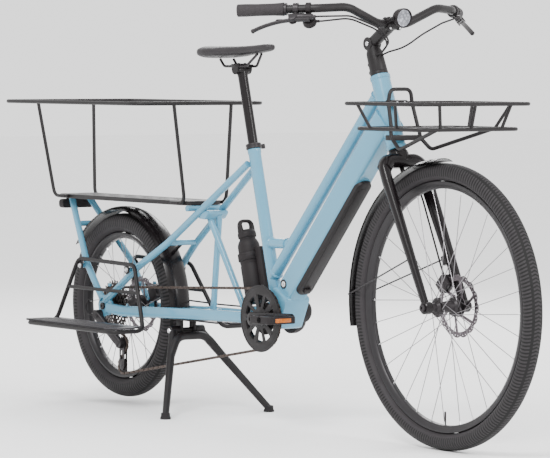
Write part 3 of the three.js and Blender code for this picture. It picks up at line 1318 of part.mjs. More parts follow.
// A closed skin over rings of points that match one another.
function loft(rings, closed = false) {
  const places = [];
  const face = (a, b, c) => [a, b, c].forEach((p) => places.push(p.x, p.y, p.z));
  const last = closed ? rings.length : rings.length - 1;
  for (let k = 0; k < last; k++) {
    const next = rings[(k + 1) % rings.length];
    rings[k].forEach((p, i) => {
      const j = (i + 1) % rings[k].length;
      face(p, rings[k][j], next[j]);
      face(p, next[j], next[i]);
    });
  }
  const ends = closed ? [] : [[rings[0], true], [rings[rings.length - 1], false]];
  for (const [ring, flip] of ends) {
    for (let i = 1; i + 1 < ring.length; i++) {
      flip ? face(ring[0], ring[i + 1], ring[i]) : face(ring[0], ring[i], ring[i + 1]);
    }
  }
  const geometry = new THREE.BufferGeometry();
  geometry.setAttribute("position", new THREE.Float32BufferAttribute(places, 3));
  return geometry;
}

// Fork and front end

function forkPiece() {
  const f = fork;
  const crownTop = headFoot - seat.gap - f.raceHeight;
  const crown = rod(onSteer(crownTop - f.crownHeight), onSteer(crownTop),
    f.crownRadius, facets.fine, f.crownRadius * 0.92);
  const race = rod(
    onSteer(crownTop - seat.sink), onSteer(headFoot - seat.gap), f.crownRadius * 0.8, facets.fine);
  const steerer = rod(
    onSteer(headFoot - f.crownHeight), onSteer(headTop + stem.riserTop / 2), head.steererRadius, facets.fine);
  const legs = [-1, 1].flatMap((side) => {
    const y = side * f.legHalf;
    const start = onSteer(legStart, f.legAhead, y);
    const axleEnd = frontAxle.clone().setY(y);
    const shoulder = bentTube([
      onSteer(legStart + f.shoulderLift, 0, side * f.crownRadius * 0.4),
      onSteer(legStart + f.shoulderLift, f.legAhead, y),
      onSteer(legStart - f.legTop, f.legAhead + seat.sink, y),
    ], f.shoulderRadius, f.legTop, facets.round);
    const inside = side * (frontWheel.hubHalf + seat.gap * 2);
    const outside = side * (frontWheel.hubHalf + seat.gap * 2 + f.endThick);
    return [
      shoulder, rod(start, axleEnd, f.legTop, facets.round, f.legFoot),
      crossRod(axleEnd.x, axleEnd.z, Math.min(inside, outside), Math.max(inside, outside), f.endRadius),
    ];
  });
  const hole = crossRod(frontAxle.x, frontAxle.z, -f.legHalf * 2, f.legHalf * 2, bore(axle.radius));
  const hubSide = frontWheel.hubHalf + seat.gap * 2;
  const hubRoom = crossRod(frontAxle.x, frontAxle.z, -hubSide, hubSide, f.endRadius * 1.5);
  return piece("fork", cut(join(crown, race, steerer, ...legs), hole, hubRoom), blackGloss);
}

function stemPiece() {
  const s = stem;
  const pivot = onSteer(headTop + s.pivotLift);
  const clampAt = overHead(s.barAhead, 0, s.barHeight);
  const riser = rod(
    onSteer(headTop + seat.gap), onSteer(headTop + s.riserTop), s.riserFoot, facets.fine, s.riserHead);
  const neck = rod(
    onSteer(headTop + s.riserTop - seat.sink), pivot, s.riserHead * 0.72, facets.round, s.knuckle * 0.9);
  const knuckle = crossRod(pivot.x, pivot.z, -s.half, s.half, s.knuckle, facets.fine);
  const arm = sweep(roundedRect(s.half * 1.8, s.knuckle * 1.6, s.knuckle / 2), [pivot, clampAt]);
  const clamp = crossRod(clampAt.x, clampAt.z, -s.clampHalf, s.clampHalf, s.clampRadius, facets.fine);
  const bolt = crossRod(pivot.x, pivot.z, -s.half - s.boltProud, s.half + s.boltProud, s.bolt, facets.plain);
  const barHole = crossRod(clampAt.x, clampAt.z, -s.clampHalf * 2, s.clampHalf * 2, bore(bar.radius));
  const steererHole = rod(
    onSteer(headTop - seat.reach), onSteer(headTop + s.riserTop / 2 + seat.gap),
    fit(head.steererRadius, facets.fine), facets.fine);
  const body = join(riser, neck, knuckle, arm, clamp, bolt, ...lightArms());
  return piece("stem", cut(body, barHole, steererHole), blackPaint);
}

const lightAim = v(Math.cos(headlight.tilt), 0, -Math.sin(headlight.tilt));
const lightLens = overHead(headlight.ahead, 0, headlight.height);
const lightPivot = lightLens.clone().addScaledVector(lightAim, -headlight.length / 2);

// Two arms from the bar clamp that hold the headlight between them on short pins.
function lightArms() {
  const s = stem;
  const clampAt = overHead(s.barAhead, 0, s.barHeight);
  const inside = headlight.radius + seat.gap * 2;
  return [-1, 1].flatMap((side) => {
    const arm = sweep(roundedRect(s.lightArmThick, s.lightArmWide, s.lightArmThick / 2), [
      clampAt.clone().setY(side * (inside + s.lightArmThick / 2)),
      lightPivot.clone().addScaledVector(lightAim, s.lightArmWide / 2).setY(side * (inside + s.lightArmThick / 2)),
    ]);
    const ends = [side * (inside + seat.sink / 2), side * (inside - s.lightPinLong)];
    return [arm, crossRod(lightPivot.x, lightPivot.z, Math.min(...ends), Math.max(...ends), s.lightPin)];
  });
}

const barEnd = (side) => overHead(bar.endAhead, side * bar.endHalf, bar.endHeight);
const barTurn = (side) => overHead(bar.turnAhead, side * bar.turnHalf, bar.turnHeight);

function handlebar() {
  const b = bar;
  const sidePoints = (side) => [
    barEnd(side), barTurn(side), overHead(b.riseAhead, side * b.riseHalf, b.riseHeight),
    overHead(stem.barAhead, side * b.flat, stem.barHeight),
  ];
  const run = rounded([...sidePoints(-1), ...sidePoints(1).reverse()], b.bend, facets.bend);
  return piece("handlebar", tube(run, b.radius, facets.round, v(0, 0, 1)), blackPaint);
}

// Places on a hand's end of the bar: along it from the outer end, out from it, and across both
function handFrame(side) {
  const origin = barEnd(side);
  const inward = barTurn(side).sub(origin).normalize();
  const forward = v(-inward.y * side, inward.x * side, 0).multiplyScalar(side * side).normalize();
  if (forward.x < 0) forward.negate();
  const out = forward.clone().multiplyScalar(Math.cos(brake.droop)).add(v(0, 0, -Math.sin(brake.droop)));
  out.addScaledVector(inward, -out.dot(inward)).normalize();
  const across = inward.clone().cross(out).normalize();
  return { origin, inward, out, across };
}
const inHand = (f, a, b, c = 0) =>
  f.origin.clone().addScaledVector(f.inward, a).addScaledVector(f.out, b).addScaledVector(f.across, c);

function gripBody() {
  const f = handFrame(-1);
  const inner = bore(bar.radius, facets.round);
  const body = turnedOn([
    [0, -grip.cap], [grip.radius, -grip.cap], [grip.radius, grip.length * 0.9], [grip.flare, grip.length * 0.93],
    [grip.flare, grip.length], [inner, grip.length], [inner, -seat.gap], [0, -seat.gap],
  ], f.origin, inHand(f, 1, 0), facets.round);
  return body;
}

function inPlane(f, shape, low, high) {
  const body = new THREE.ExtrudeGeometry(shape, { depth: high - low, bevelEnabled: false, curveSegments: 2 });
  return set(body.translate(0, 0, low), f.origin, f.inward, f.out, f.across);
}

function brakeBody() {
  const f = handFrame(-1);
  const b = brake;
  const flat = (corners, halfThick) => inPlane(
    f, new THREE.Shape(corners.map(([x, y]) => new THREE.Vector2(x, y))), -halfThick, halfThick);
  const clamp = rod(
    inHand(f, b.clampAlong - b.clampLong / 2, 0), inHand(f, b.clampAlong + b.clampLong / 2, 0), b.clampRadius);
  const body = rod(
    inHand(f, b.pivotAlong - b.bodyRadius * 0.4, b.bodyOut), inHand(f, b.pivotAlong + b.bodyLong, b.bodyOut),
    b.bodyRadius, facets.round, b.bodyRadius * 0.8);
  const back = b.pivotAlong - b.bodyRadius * 0.7;
  const front = b.pivotAlong + b.bodyRadius * 1.6;
  const ears = flat([
    [back, b.bodyOut - b.bodyRadius * 0.4], [back, b.pivotOut + b.bodyRadius * 0.6],
    [b.pivotAlong + b.bodyRadius * 0.8, b.pivotOut + b.bodyRadius * 0.6], [front, b.bodyOut - b.bodyRadius * 0.4],
  ], b.earHalf);
  const floor = b.pivotOut - b.pin * 2 - seat.gap * 2;
  const bridge = rod(
    inHand(f, b.clampAlong, bar.radius), inHand(f, b.clampAlong, b.bodyOut), b.pin * 2, facets.thin);
  const leverRoom = flat([
    [back - b.bodyRadius * 3, floor], [back - b.bodyRadius * 3, b.tipOut], [front + b.bodyRadius, b.tipOut],
    [front + b.bodyRadius, floor],
  ], b.bladeWide / 2 + seat.gap);
  const pin = rod(
    inHand(f, b.pivotAlong, b.pivotOut, -b.earHalf), inHand(f, b.pivotAlong, b.pivotOut, b.earHalf), b.pin);
  const barHole = rod(inHand(f, 0, 0), inHand(f, b.clampAlong + b.bodyLong * 2, 0), bore(bar.radius));
  return join(cut(join(clamp, bridge, body, ears), barHole, leverRoom), pin);
}

function brakeLevers() {
  const f = handFrame(-1);
  const b = brake;
  const t = b.bladeThick / 2;
  const spine = new THREE.CubicBezierCurve(
    new THREE.Vector2(b.pivotAlong, b.pivotOut + b.pin),
    new THREE.Vector2(b.pivotAlong - b.bodyRadius * 3, b.pivotOut + b.pin),
    new THREE.Vector2(b.tipAlong + b.bodyRadius * 3, b.tipOut - b.bodyRadius * 2.2),
    new THREE.Vector2(b.tipAlong, b.tipOut)).getPoints(5);
  const near = spine.map((p) => new THREE.Vector2(p.x, p.y - t));
  const far = spine.map((p) => new THREE.Vector2(p.x, p.y + t)).reverse();
  const blade = inPlane(f, new THREE.Shape([...near, ...far]), -b.bladeWide / 2, b.bladeWide / 2);
  const acrossAt = (reach) => inHand(f, b.pivotAlong, b.pivotOut, reach);
  const eye = rod(acrossAt(-b.bladeWide / 2), acrossAt(b.bladeWide / 2), b.pin * 2, facets.round);
  const hole = rod(acrossAt(-b.bladeWide), acrossAt(b.bladeWide), bore(b.pin, facets.plain), facets.plain);
  const lever = cut(join(blade, eye), hole);
  const pivot = acrossAt(0);
  return [
    piece("brake_lever_right", lever, blackPaint, pivot),
    piece("brake_lever_left", mirrored(lever), blackPaint, pivot.clone().setY(-pivot.y)),
  ];
}

function shifterParts() {
  const f = handFrame(-1);
  const s = shifter;
  const at = (rise) => inHand(f, s.along, s.out, rise);
  const pod = rod(at(s.level), at(s.level + s.thick), s.radius * 0.85, facets.round, s.radius);
  const strap = rod(inHand(f, s.along, 0), at(s.level + s.thick / 2), s.strap, facets.plain);
  const band = rod(inHand(f, s.along - s.strap, 0), inHand(f, s.along + s.strap, 0), brake.clampRadius);
  const barHole = rod(inHand(f, 0, 0), inHand(f, s.along * 1.4, 0), bore(bar.radius));
  const low = s.level - seat.gap - s.leverThick;
  const pin = rod(at(low), at(s.level + seat.sink), brake.pin, facets.plain);
  const arm = inPlane(f, new THREE.Shape([
    [s.along, s.out - s.leverWide / 2], [s.leverAlong, s.leverOut - s.leverWide / 2],
    [s.leverAlong, s.leverOut + s.leverWide / 2], [s.along, s.out + s.leverWide / 2],
  ].map(([x, y]) => new THREE.Vector2(x, y))), low, low + s.leverThick);
  const eye = rod(at(low), at(low + s.leverThick), s.leverWide * 0.75, facets.round);
  const pinHole = rod(at(0), at(s.thick + s.level), bore(brake.pin, facets.plain), facets.plain);
  const room = rod(at(low - seat.gap), at(s.level), s.leverWide * 0.75 + seat.gap * 2, facets.round);
  return [
    piece("shifter", join(cut(join(pod, strap, band), barHole, room), pin), plastic),
    piece("shift_lever", cut(join(arm, eye), pinHole), plastic, at(low)),
  ];
}

function headlightPiece() {
  const h = headlight;
  const back = lightLens.clone().addScaledVector(lightAim, -h.length);
  const body = turnedOn([
    [0, 0], [h.backRadius, 0], [h.radius, h.length * 0.42], [h.radius, h.length - h.lensProud],
    [h.radius * 0.9, h.length], [0, h.length],
  ], back, lightLens, facets.fine);
  const sockets = [-1, 1].map((side) => {
    const ends = [side * h.radius * 2, side * (h.radius - stem.lightPinLong)];
    return crossRod(lightPivot.x, lightPivot.z, Math.min(...ends), Math.max(...ends), bore(stem.lightPin));
  });
  return piece("headlight", cut(body, ...sockets), plastic, lightPivot);
}

// Hoses from the levers to the stem

function hoseRun(side, start, run) {
  const f = handFrame(side);
  const [a, b, c] = start;
  return [inHand(f, a, b, c), inHand(f, a + hose.start, b, c), ...run.map(([x, y, z]) => overHead(x, side * y, z))];
}

const riserGuard = () => rod(
  onSteer(headTop), onSteer(headTop + stem.riserTop * 2), stem.riserFoot + seat.gap, facets.fine,
  stem.riserHead + seat.gap);

function controlHoses() {
  const end = (side) => onSteer(headTop + stem.riserTop * 0.8, 0, side);
  const masterEnd = brake.pivotAlong + brake.bodyLong + seat.gap;
  const right = hoseRun(-1, [masterEnd, brake.bodyOut, 0], rightHoseRun);
  const podLevel = shifter.level + shifter.thick / 2;
  const shift = hoseRun(-1, [shifter.along + shifter.radius + seat.gap, shifter.out, podLevel], rightHoseRun);
  const apart = hose.radius * 2.4;
  const shiftRun = [...shift.slice(0, 2), ...shift.slice(2).map((p) => p.clone().add(v(-apart, 0, -apart)))];
  const tubeOf = (points, last) => tube(rounded([...points, last], hose.bend, 1), hose.radius, hose.sides);
  const clipTop = overHead(...rightHoseRun[1]).setY(-rightHoseRun[1][1]);
  const clip = rod(clipTop, clipTop.clone().add(v(-apart, 0, -apart)), hose.radius * 1.2, facets.thin);
  const left = hoseRun(1, [masterEnd, brake.bodyOut, 0], leftHoseRun);
  return [
    piece("control_cables_right", cut(join(
      tubeOf(right, end(-apart * 2)), tubeOf(shiftRun, end(-apart)), clip), riserGuard()), plastic),
    piece("brake_hose_left", cut(tubeOf(left, end(apart)), riserGuard()), plastic),
  ];
}

// Fenders

function fenderArc(fender, radius, at) {
  const points = [];
  const count = Math.ceil((fender.end - fender.start) / fender.step);
  for (let i = 0; i <= count; i++) {
    const a = THREE.MathUtils.degToRad(fender.start + ((fender.end - fender.start) * i) / count);
    points.push(v(at.x + radius * Math.cos(a), 0, at.z + radius * Math.sin(a)));
  }
  const w = fender.halfWidth;
  const t = fender.thick;
  const section = new THREE.Shape([
    [-w, -fender.lip], [-w * 0.6, 0], [w * 0.6, 0], [w, -fender.lip],
    [w - t, -fender.lip], [w * 0.6 - t * 0.4, -t], [t * 0.4 - w * 0.6, -t], [t - w, -fender.lip],
  ].map(([x, y]) => new THREE.Vector2(x, y)));
  return sweep(section, points, v(0, -1, 0));
}

// A point on a circle round an axle, at an angle counted up from the front.
const roundAxle = (at, radius, angle, side = 0) =>
  v(at.x + radius * Math.cos(angle), side, at.z + radius * Math.sin(angle));

function frontMudguard() {
  const f = { ...frontFender, radius: frontWheel.tyreRadius + frontFender.clearance };
  const crownFoot = onSteer(headFoot - seat.gap - fork.raceHeight - fork.crownHeight).sub(frontAxle);
  const lugAngle = Math.atan2(crownFoot.z, crownFoot.x);
  const lugTop = frontAxle.clone().add(crownFoot).addScaledVector(along, seat.reach);
  const lug = rod(roundAxle(frontAxle, f.radius - f.thick / 2, lugAngle), lugTop, f.lug, facets.plain);
  const legAt = (side) => {
    const top = onSteer(legStart, fork.legAhead, side * fork.legHalf);
    const foot = frontAxle.clone().setY(side * fork.legHalf);
    return foot.lerp(top, f.stayRise / (top.z - frontAxle.z));
  };
  const tail = THREE.MathUtils.degToRad(f.stayAngle);
  const stays = [-1, 1].map((side) => rod(
    roundAxle(frontAxle, f.radius - f.lip, tail, side * (f.halfWidth - f.thick / 2)), legAt(side),
    f.wire, facets.thin));
  const legs = [-1, 1].map((side) => rod(
    onSteer(legStart, fork.legAhead, side * fork.legHalf), frontAxle.clone().setY(side * fork.legHalf),
    bore(fork.legTop), facets.plain, bore(fork.legFoot)));
  const crownLow = headFoot - seat.gap * 2 - fork.raceHeight - fork.crownHeight;
  const crown = rod(onSteer(crownLow), onSteer(headFoot), fork.crownRadius * 2, facets.plain);
  const lifted = cut(join(fenderArc(f, f.radius, frontAxle), ...stays), ...legs);
  return piece("front_fender", cut(join(lifted, lug), crown), plastic);
}

function rearMudguard() {
  const f = rearFender;
  const reach = (x, z) => Math.hypot(x, z - rearAxle.z);
  const radius = reach(bridges.legBehind, bridges.legHeight) - bridges.radius - seat.gap;
  const stayReach = reach(bridges.stayAhead, bridges.stayHeight);
  const angle = Math.atan2(bridges.stayHeight - rearAxle.z, bridges.stayAhead);
  const lug = rod(roundAxle(rearAxle, radius - f.thick / 2, angle),
    roundAxle(rearAxle, stayReach - bridges.radius - seat.gap, angle), f.lug, facets.plain);
  return piece("rear_fender", join(fenderArc(f, radius, rearAxle), lug), plastic);
}

// A brake caliper over the edge of a disc, with the hose that feeds it.
function caliperBody(wheel, at, angle, inside, outside) {
  const c = caliper;
  const out = v(Math.cos(angle), 0, Math.sin(angle));
  const round = v(-Math.sin(angle), 0, Math.cos(angle));
  const body = block(
    v(c.innerRadius, wheel.rotorPlane - inside, -c.halfLong),
    v(c.outerRadius, wheel.rotorPlane + outside, c.halfLong));
  const slot = block(
    v(0, wheel.rotorPlane - c.slotHalf, -c.halfLong * 2),
    v(rotor.radius + c.slotHalf, wheel.rotorPlane + c.slotHalf, c.halfLong * 2));
  return set(cut(body, slot), at, out, v(0, 1, 0), round);
}

function calipers() {
  const c = caliper;
  const leg = rod(
    onSteer(legStart, fork.legAhead, fork.legHalf), frontAxle.clone().setY(fork.legHalf),
    bore(fork.legTop), facets.plain, bore(fork.legFoot));
  const crown = rod(
    onSteer(legStart + fork.shoulderLift, fork.legAhead, 0),
    onSteer(legStart + fork.shoulderLift, fork.legAhead, fork.legHalf),
    bore(fork.shoulderRadius, facets.fine));
  const end = crossRod(frontAxle.x, frontAxle.z, 0, fork.legHalf * 2, bore(fork.endRadius));
  const hoseOf = (run) => tube(rounded(run, hose.bend, 1), hose.radius, hose.sides);
  const banjo = (at, angle, side) => roundAxle(at, c.outerRadius - hoseStart.inEdge, angle, side);
  const onLeg = ([share, behind, side]) => frontAxle.clone()
    .lerp(onSteer(legStart, fork.legAhead), share).addScaledVector(ahead, -behind).setY(side);
  const frontRun = [banjo(frontAxle, c.frontAngle, hoseStart.frontSide), ...frontHoseRun.map(onLeg)];
  const rearRun = [
    banjo(rearAxle, c.rearAngle, hoseStart.rearSide), ...rearHoseRun.map(([x, y, z]) => v(x, y, z).add(rearAxle)),
  ];
  const front = cut(
    join(caliperBody(frontWheel, frontAxle, c.frontAngle, c.inside, c.outside), hoseOf(frontRun)), leg, crown, end);
  const rearOne = cut(
    join(caliperBody(rearWheel, rearAxle, c.rearAngle, c.inside, c.outside), hoseOf(rearRun)),
    ...stayGuards(seat.gap), motorGuard());
  return [piece("front_caliper", front, darkSteel), piece("rear_caliper", rearOne, darkSteel)];
}

// Bottle behind the seat tube, with its lid and cage

const seatBack = v(-seatUp.z, 0, seatUp.x);
const onBottle = (up, out = 0, side = 0) => onSeat(up).addScaledVector(seatBack, bottle.behind + out).setY(side);

function bottleParts() {
  const b = bottle;
  const foot = onBottle(b.floor);
  const body = turnedOn([
    [0, 0], [b.radius, 0], [b.radius, b.top - b.floor - b.shoulder * 2], [b.neckRadius, b.top - b.floor],
    [0, b.top - b.floor],
  ], foot, onBottle(b.top), facets.fine);
  const lidFoot = b.top + seat.gap;
  const cap = rod(onBottle(lidFoot), onBottle(lidFoot + b.lidHeight), b.lidRadius, facets.round, b.lidRadius * 0.8);
  const loopTop = lidFoot + b.lidHeight + b.loopHigh;
  const loop = bentTube([
    onBottle(lidFoot + b.lidHeight - b.loopWire, 0, -b.loopWide * 0.7), onBottle(loopTop - b.loopWire, 0, -b.loopWide * 0.7),
    onBottle(loopTop - b.loopWire, 0, b.loopWide * 0.7), onBottle(lidFoot + b.lidHeight - b.loopWire, 0, b.loopWide * 0.7),
  ], b.loopWire, b.loopWide / 2, facets.thin);
  return [
    piece("bottle", body, plastic), piece("bottle_lid", join(cap, loop), plastic, onBottle(lidFoot)), bottleCage(),
  ];
}

function bottleCage() {
  const b = bottle;
  const inner = bore(b.radius, facets.fine);
  const outer = inner + b.cageThick;
  const back = onBottle(b.floor - seat.gap - b.baseThick);
  const base = rod(back, onBottle(b.floor - seat.gap), outer, facets.fine);
  const strap = turnedOn(
    [[inner, 0], [inner + b.strapThick, 0], [inner + b.strapThick, b.strapHigh], [inner, b.strapHigh]],
    onBottle(b.strapLow), onBottle(b.top), facets.fine);
  const knob = rod(
    onBottle(b.strapLow + b.strapHigh / 2, b.radius + b.strapThick / 2), onBottle(b.strapLow + b.strapHigh / 2, b.radius + b.knobOut),
    b.knob, facets.plain);
  const bracketBar = set(
    block(v(-b.behind, -b.knob, b.baseThick), v(-b.radius - b.cageThick / 2, b.knob, b.cageHigh * 1.1)), back,
    seatBack, v(0, 1, 0), seatUp);
  const tower = set(
    block(v(-outer, -b.knob, b.baseThick), v(-inner, b.knob, b.strapLow + b.strapHigh - b.floor + b.baseThick)), back,
    seatBack, v(0, 1, 0), seatUp);
  const seatTube = rod(onSeat(0), onSeat(mainTubes.seatTop), fit(mainTubes.seatRadius, facets.fine), facets.fine);
  const bottleRoom = rod(onBottle(b.floor - seat.gap), onBottle(b.top * 2), inner, facets.fine);
  const shell = join(base, strap, knob, bracketBar, tower);
  return piece("bottle_cage", cut(shell, seatTube, bottleRoom), plastic);
}

// Whole bike

const bike = new THREE.Group();
bike.name = "longtail_cargo_bike";

const steering = new THREE.Group();
steering.add(
  forkPiece(), stemPiece(), handlebar(),
  piece("grip_right", gripBody(), rubber), piece("grip_left", mirrored(gripBody()), rubber),
  piece("brake_body_right", brakeBody(), blackPaint), piece("brake_body_left", mirrored(brakeBody()), blackPaint),
  ...brakeLevers(),
  ...shifterParts(), headlightPiece(),
  spokedWheel("front_wheel", frontWheel, frontAxle), tyre("front_tyre", frontWheel, frontAxle),
  brakeDisc("front_rotor", frontWheel, frontAxle),
  throughAxle("front_axle", frontWheel, frontWheel.hubHalf + seat.gap * 2, fork.endThick, frontAxle),
  frontMudguard(), calipers()[0], ...controlHoses(),
);

const mainframe = new THREE.Group();
mainframe.add(
  mainFrame(), ...rearFrames(), rearStruts(), motor(), batteryPack(), batteryLock(),
  chainring(), ...cranks(), pedalBody("pedal_right", pedalAt(-1, crank.lift), -1),
  pedalBody("pedal_left", pedalAt(1, Math.PI + crank.lift), 1),
  chain(), sprocketStack(), derailleur(), jockey("guide_pulley", pulley.guideHeight),
  jockey("tension_pulley", pulley.tensionHeight),
  spokedWheel("rear_wheel", rearWheel, rearAxle), tyre("rear_tyre", rearWheel, rearAxle),
  brakeDisc("rear_rotor", rearWheel, rearAxle),
  throughAxle("rear_axle", rearWheel, rear.dropoutInside, rear.dropoutThick, rearAxle),
  rearMudguard(), calipers()[1], ...bottleParts(),
  cargoDeck(), passengerRail(), rearLamp(), frontCargoRack(), ...footrests(), standPlate(), kickstand(),
  ...seatParts(),
);

bike.add(steering, mainframe);
const box = new THREE.Box3().setFromObject(bike);
bike.position.x = -(box.min.x + box.max.x) / 2;

export default bike;
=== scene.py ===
"""Looks of the longtail cargo bike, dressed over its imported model.

Blender works in metres, with X forward, Y to the rider's left and Z up. Places are given here in
millimetres on the bike's own lines, counted from the rear axle's foot, and are turned into metres
where a mesh is made.
"""

import logging
from dataclasses import dataclass, field
from enum import Enum
from math import asin, atan2, copysign, cos, exp, hypot, pi, radians, sin, tan
from typing import Callable, Sequence

import bpy
from mathutils import Matrix, Vector


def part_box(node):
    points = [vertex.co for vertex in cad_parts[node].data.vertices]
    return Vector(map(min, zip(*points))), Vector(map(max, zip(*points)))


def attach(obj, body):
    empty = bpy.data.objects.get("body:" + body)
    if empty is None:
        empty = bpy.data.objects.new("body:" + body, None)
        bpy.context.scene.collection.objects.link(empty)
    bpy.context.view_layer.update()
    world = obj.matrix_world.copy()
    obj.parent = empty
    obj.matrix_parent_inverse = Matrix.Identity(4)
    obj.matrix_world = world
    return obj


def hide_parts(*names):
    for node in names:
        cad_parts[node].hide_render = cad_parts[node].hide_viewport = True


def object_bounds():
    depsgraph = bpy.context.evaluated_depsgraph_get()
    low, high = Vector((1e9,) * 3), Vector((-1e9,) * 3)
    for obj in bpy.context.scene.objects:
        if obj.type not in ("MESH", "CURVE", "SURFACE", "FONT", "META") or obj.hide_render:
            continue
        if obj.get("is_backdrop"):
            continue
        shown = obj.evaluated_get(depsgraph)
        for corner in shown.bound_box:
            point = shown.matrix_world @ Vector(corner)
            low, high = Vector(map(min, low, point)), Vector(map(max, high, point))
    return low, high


LOG = logging.getLogger("cargo_bike")
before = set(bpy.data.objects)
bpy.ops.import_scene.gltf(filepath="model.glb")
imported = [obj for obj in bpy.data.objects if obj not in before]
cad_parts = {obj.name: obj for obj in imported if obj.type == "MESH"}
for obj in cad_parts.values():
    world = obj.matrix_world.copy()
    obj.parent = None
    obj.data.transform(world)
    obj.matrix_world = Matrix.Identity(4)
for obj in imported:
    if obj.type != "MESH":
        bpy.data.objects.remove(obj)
CAD_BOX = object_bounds()
AXLE_SHIFT = sum(corner.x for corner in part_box("rear_axle")) / 2

Piece = bpy.types.Object
Material = bpy.types.Material
Socket = bpy.types.NodeSocket
Triple = tuple[float, float, float]
Colour = Triple
Outline = list[tuple[float, float]]
Profile = Sequence[tuple[float, float]]
Course = Sequence[Vector]
MERGE = 1e-6
SAME_PLACE = 1e-3
BEND_SHARE = 0.48
CRISP = 38.0
CRISP_TURNED = 32.0


def mm(x: float, y: float, z: float) -> Vector:
    """A place in millimetres, counted from the foot of the rear axle."""
    return Vector((x, y, z))


def metres(place: Vector) -> Vector:
    """A place in millimetres turned into the model's metres."""
    return Vector((place.x / 1000 + AXLE_SHIFT, place.y / 1000, place.z / 1000))


def flipped(course: Course) -> list[Vector]:
    """The same places on the bike's other side."""
    return [mm(p.x, -p.y, p.z) for p in course]


AHEAD, LEFT, UP, RIGHT = mm(1, 0, 0), mm(0, 1, 0), mm(0, 0, 1), mm(0, -1, 0)


@dataclass(frozen=True)
class Lines:
    """The bike's own lines, from which its pieces are placed."""

    wheelbase: float = 1467.0
    front_height: float = 361.0
    rear_height: float = 278.0
    head_angle: float = radians(68.5)
    seat_angle: float = radians(75.0)
    fork_offset: float = 45.0
    head_top: float = 638.0
    head_foot: float = 436.0
    down_join: float = 522.0
    saddle_up: float = 690.0
    bracket_height: float = 288.0
    bracket_ahead: float = 742.0
    seat_foot_ahead: float = 753.0
    rest_height: float = 389.0
    rest_bolts: tuple[float, float] = (-96.0, 148.0)

    @property
    def along(self) -> Vector:
        """Up the steering axis."""
        return mm(-cos(self.head_angle), 0, sin(self.head_angle))

    @property
    def ahead(self) -> Vector:
        """Square to the steering axis, forwards."""
        return mm(sin(self.head_angle), 0, cos(self.head_angle))

    @property
    def front_axle(self) -> Vector:
        """Middle of the front axle."""
        return mm(self.wheelbase, 0, self.front_height)

    @property
    def rear_axle(self) -> Vector:
        """Middle of the rear axle."""
        return mm(0, 0, self.rear_height)

    @property
    def bracket(self) -> Vector:
        """Middle of the crank spindle."""
        return mm(self.bracket_ahead, 0, self.bracket_height)

    @property
    def seat_up(self) -> Vector:
        """Up the seat tube."""
        return mm(-cos(self.seat_angle), 0, sin(self.seat_angle))

    @property
    def down_run(self) -> Vector:
        """Up the down tube."""
        return (self.steer(self.down_join) - self.bracket).normalized()

    def steer(self, up: float, ahead: float = 0, side: float = 0) -> Vector:
        """A place counted up the steering axis from its foot, ahead of it and to the rider's left."""
        foot = self.front_axle - self.ahead * self.fork_offset
        place = foot + self.along * up + self.ahead * ahead
        return mm(place.x, side, place.z)

    def seat(self, up: float, back: float = 0, side: float = 0) -> Vector:
        """A place counted up the seat tube from the bracket, and back from it."""
        behind = mm(-self.seat_up.z, 0, self.seat_up.x)
        place = mm(self.seat_foot_ahead, 0, self.bracket_height) + self.seat_up * up + behind * back
        return mm(place.x, side, place.z)

    def down(self, run: float, up: float = 0, side: float = 0) -> Vector:
        """A place counted up the down tube from the bracket, and over its middle line."""
        over = mm(-self.down_run.z, 0, self.down_run.x)
        place = self.bracket + self.down_run * run + over * up
        return mm(place.x, side, place.z)


LINES = Lines()
TO_ORIGIN = mm(AXLE_SHIFT * 1000, 0, 0)


class Signal:
    """A shader value that Python's operators work on."""

    def __init__(self, graph: "Graph", socket: Socket) -> None:
        """Keeps the graph and the socket that the value comes from."""
        self.graph = graph
        self.socket = socket

    def maths(self, operation: str, *others: "Signal | float", first: bool = True) -> "Signal":
        """Adds a Math node, with this value as its first operand or its last."""
        operands = [self, *others] if first else [*others, self]
        made = self.graph.node("ShaderNodeMath", dict(enumerate(operands)), operation=operation)
        return Signal(self.graph, made.outputs[0])

    def __add__(self, other: "Signal | float") -> "Signal":
        """This value and another, added."""
        return self.maths("ADD", other)

    __radd__ = __add__

    def __mul__(self, other: "Signal | float") -> "Signal":
        """This value times another."""
        return self.maths("MULTIPLY", other)

    __rmul__ = __mul__

    def __sub__(self, other: "Signal | float") -> "Signal":
        """This value less another."""
        return self.maths("SUBTRACT", other)

    def __rsub__(self, other: float) -> "Signal":
        """A number less this value."""
        return self.maths("SUBTRACT", other, first=False)

    def __gt__(self, other: "Signal | float") -> "Signal":
        """One where this value is the greater, and otherwise nought."""
        return self.maths("GREATER_THAN", other)

    def __abs__(self) -> "Signal":
        """The value without its sign."""
        return self.maths("ABSOLUTE")

    def wave(self) -> "Signal":
        """The value's sine, from nought to one."""
        return self.maths("SINE") * 0.5 + 0.5

    def smooth(self, low: float, high: float) -> "Signal":
        """Nought under low, one over high, and a soft step between them."""
        inputs = {"Value": self, "From Min": low, "From Max": high}
        made = self.graph.node("ShaderNodeMapRange", inputs, interpolation_type="SMOOTHSTEP")
        return Signal(self.graph, made.outputs[0])


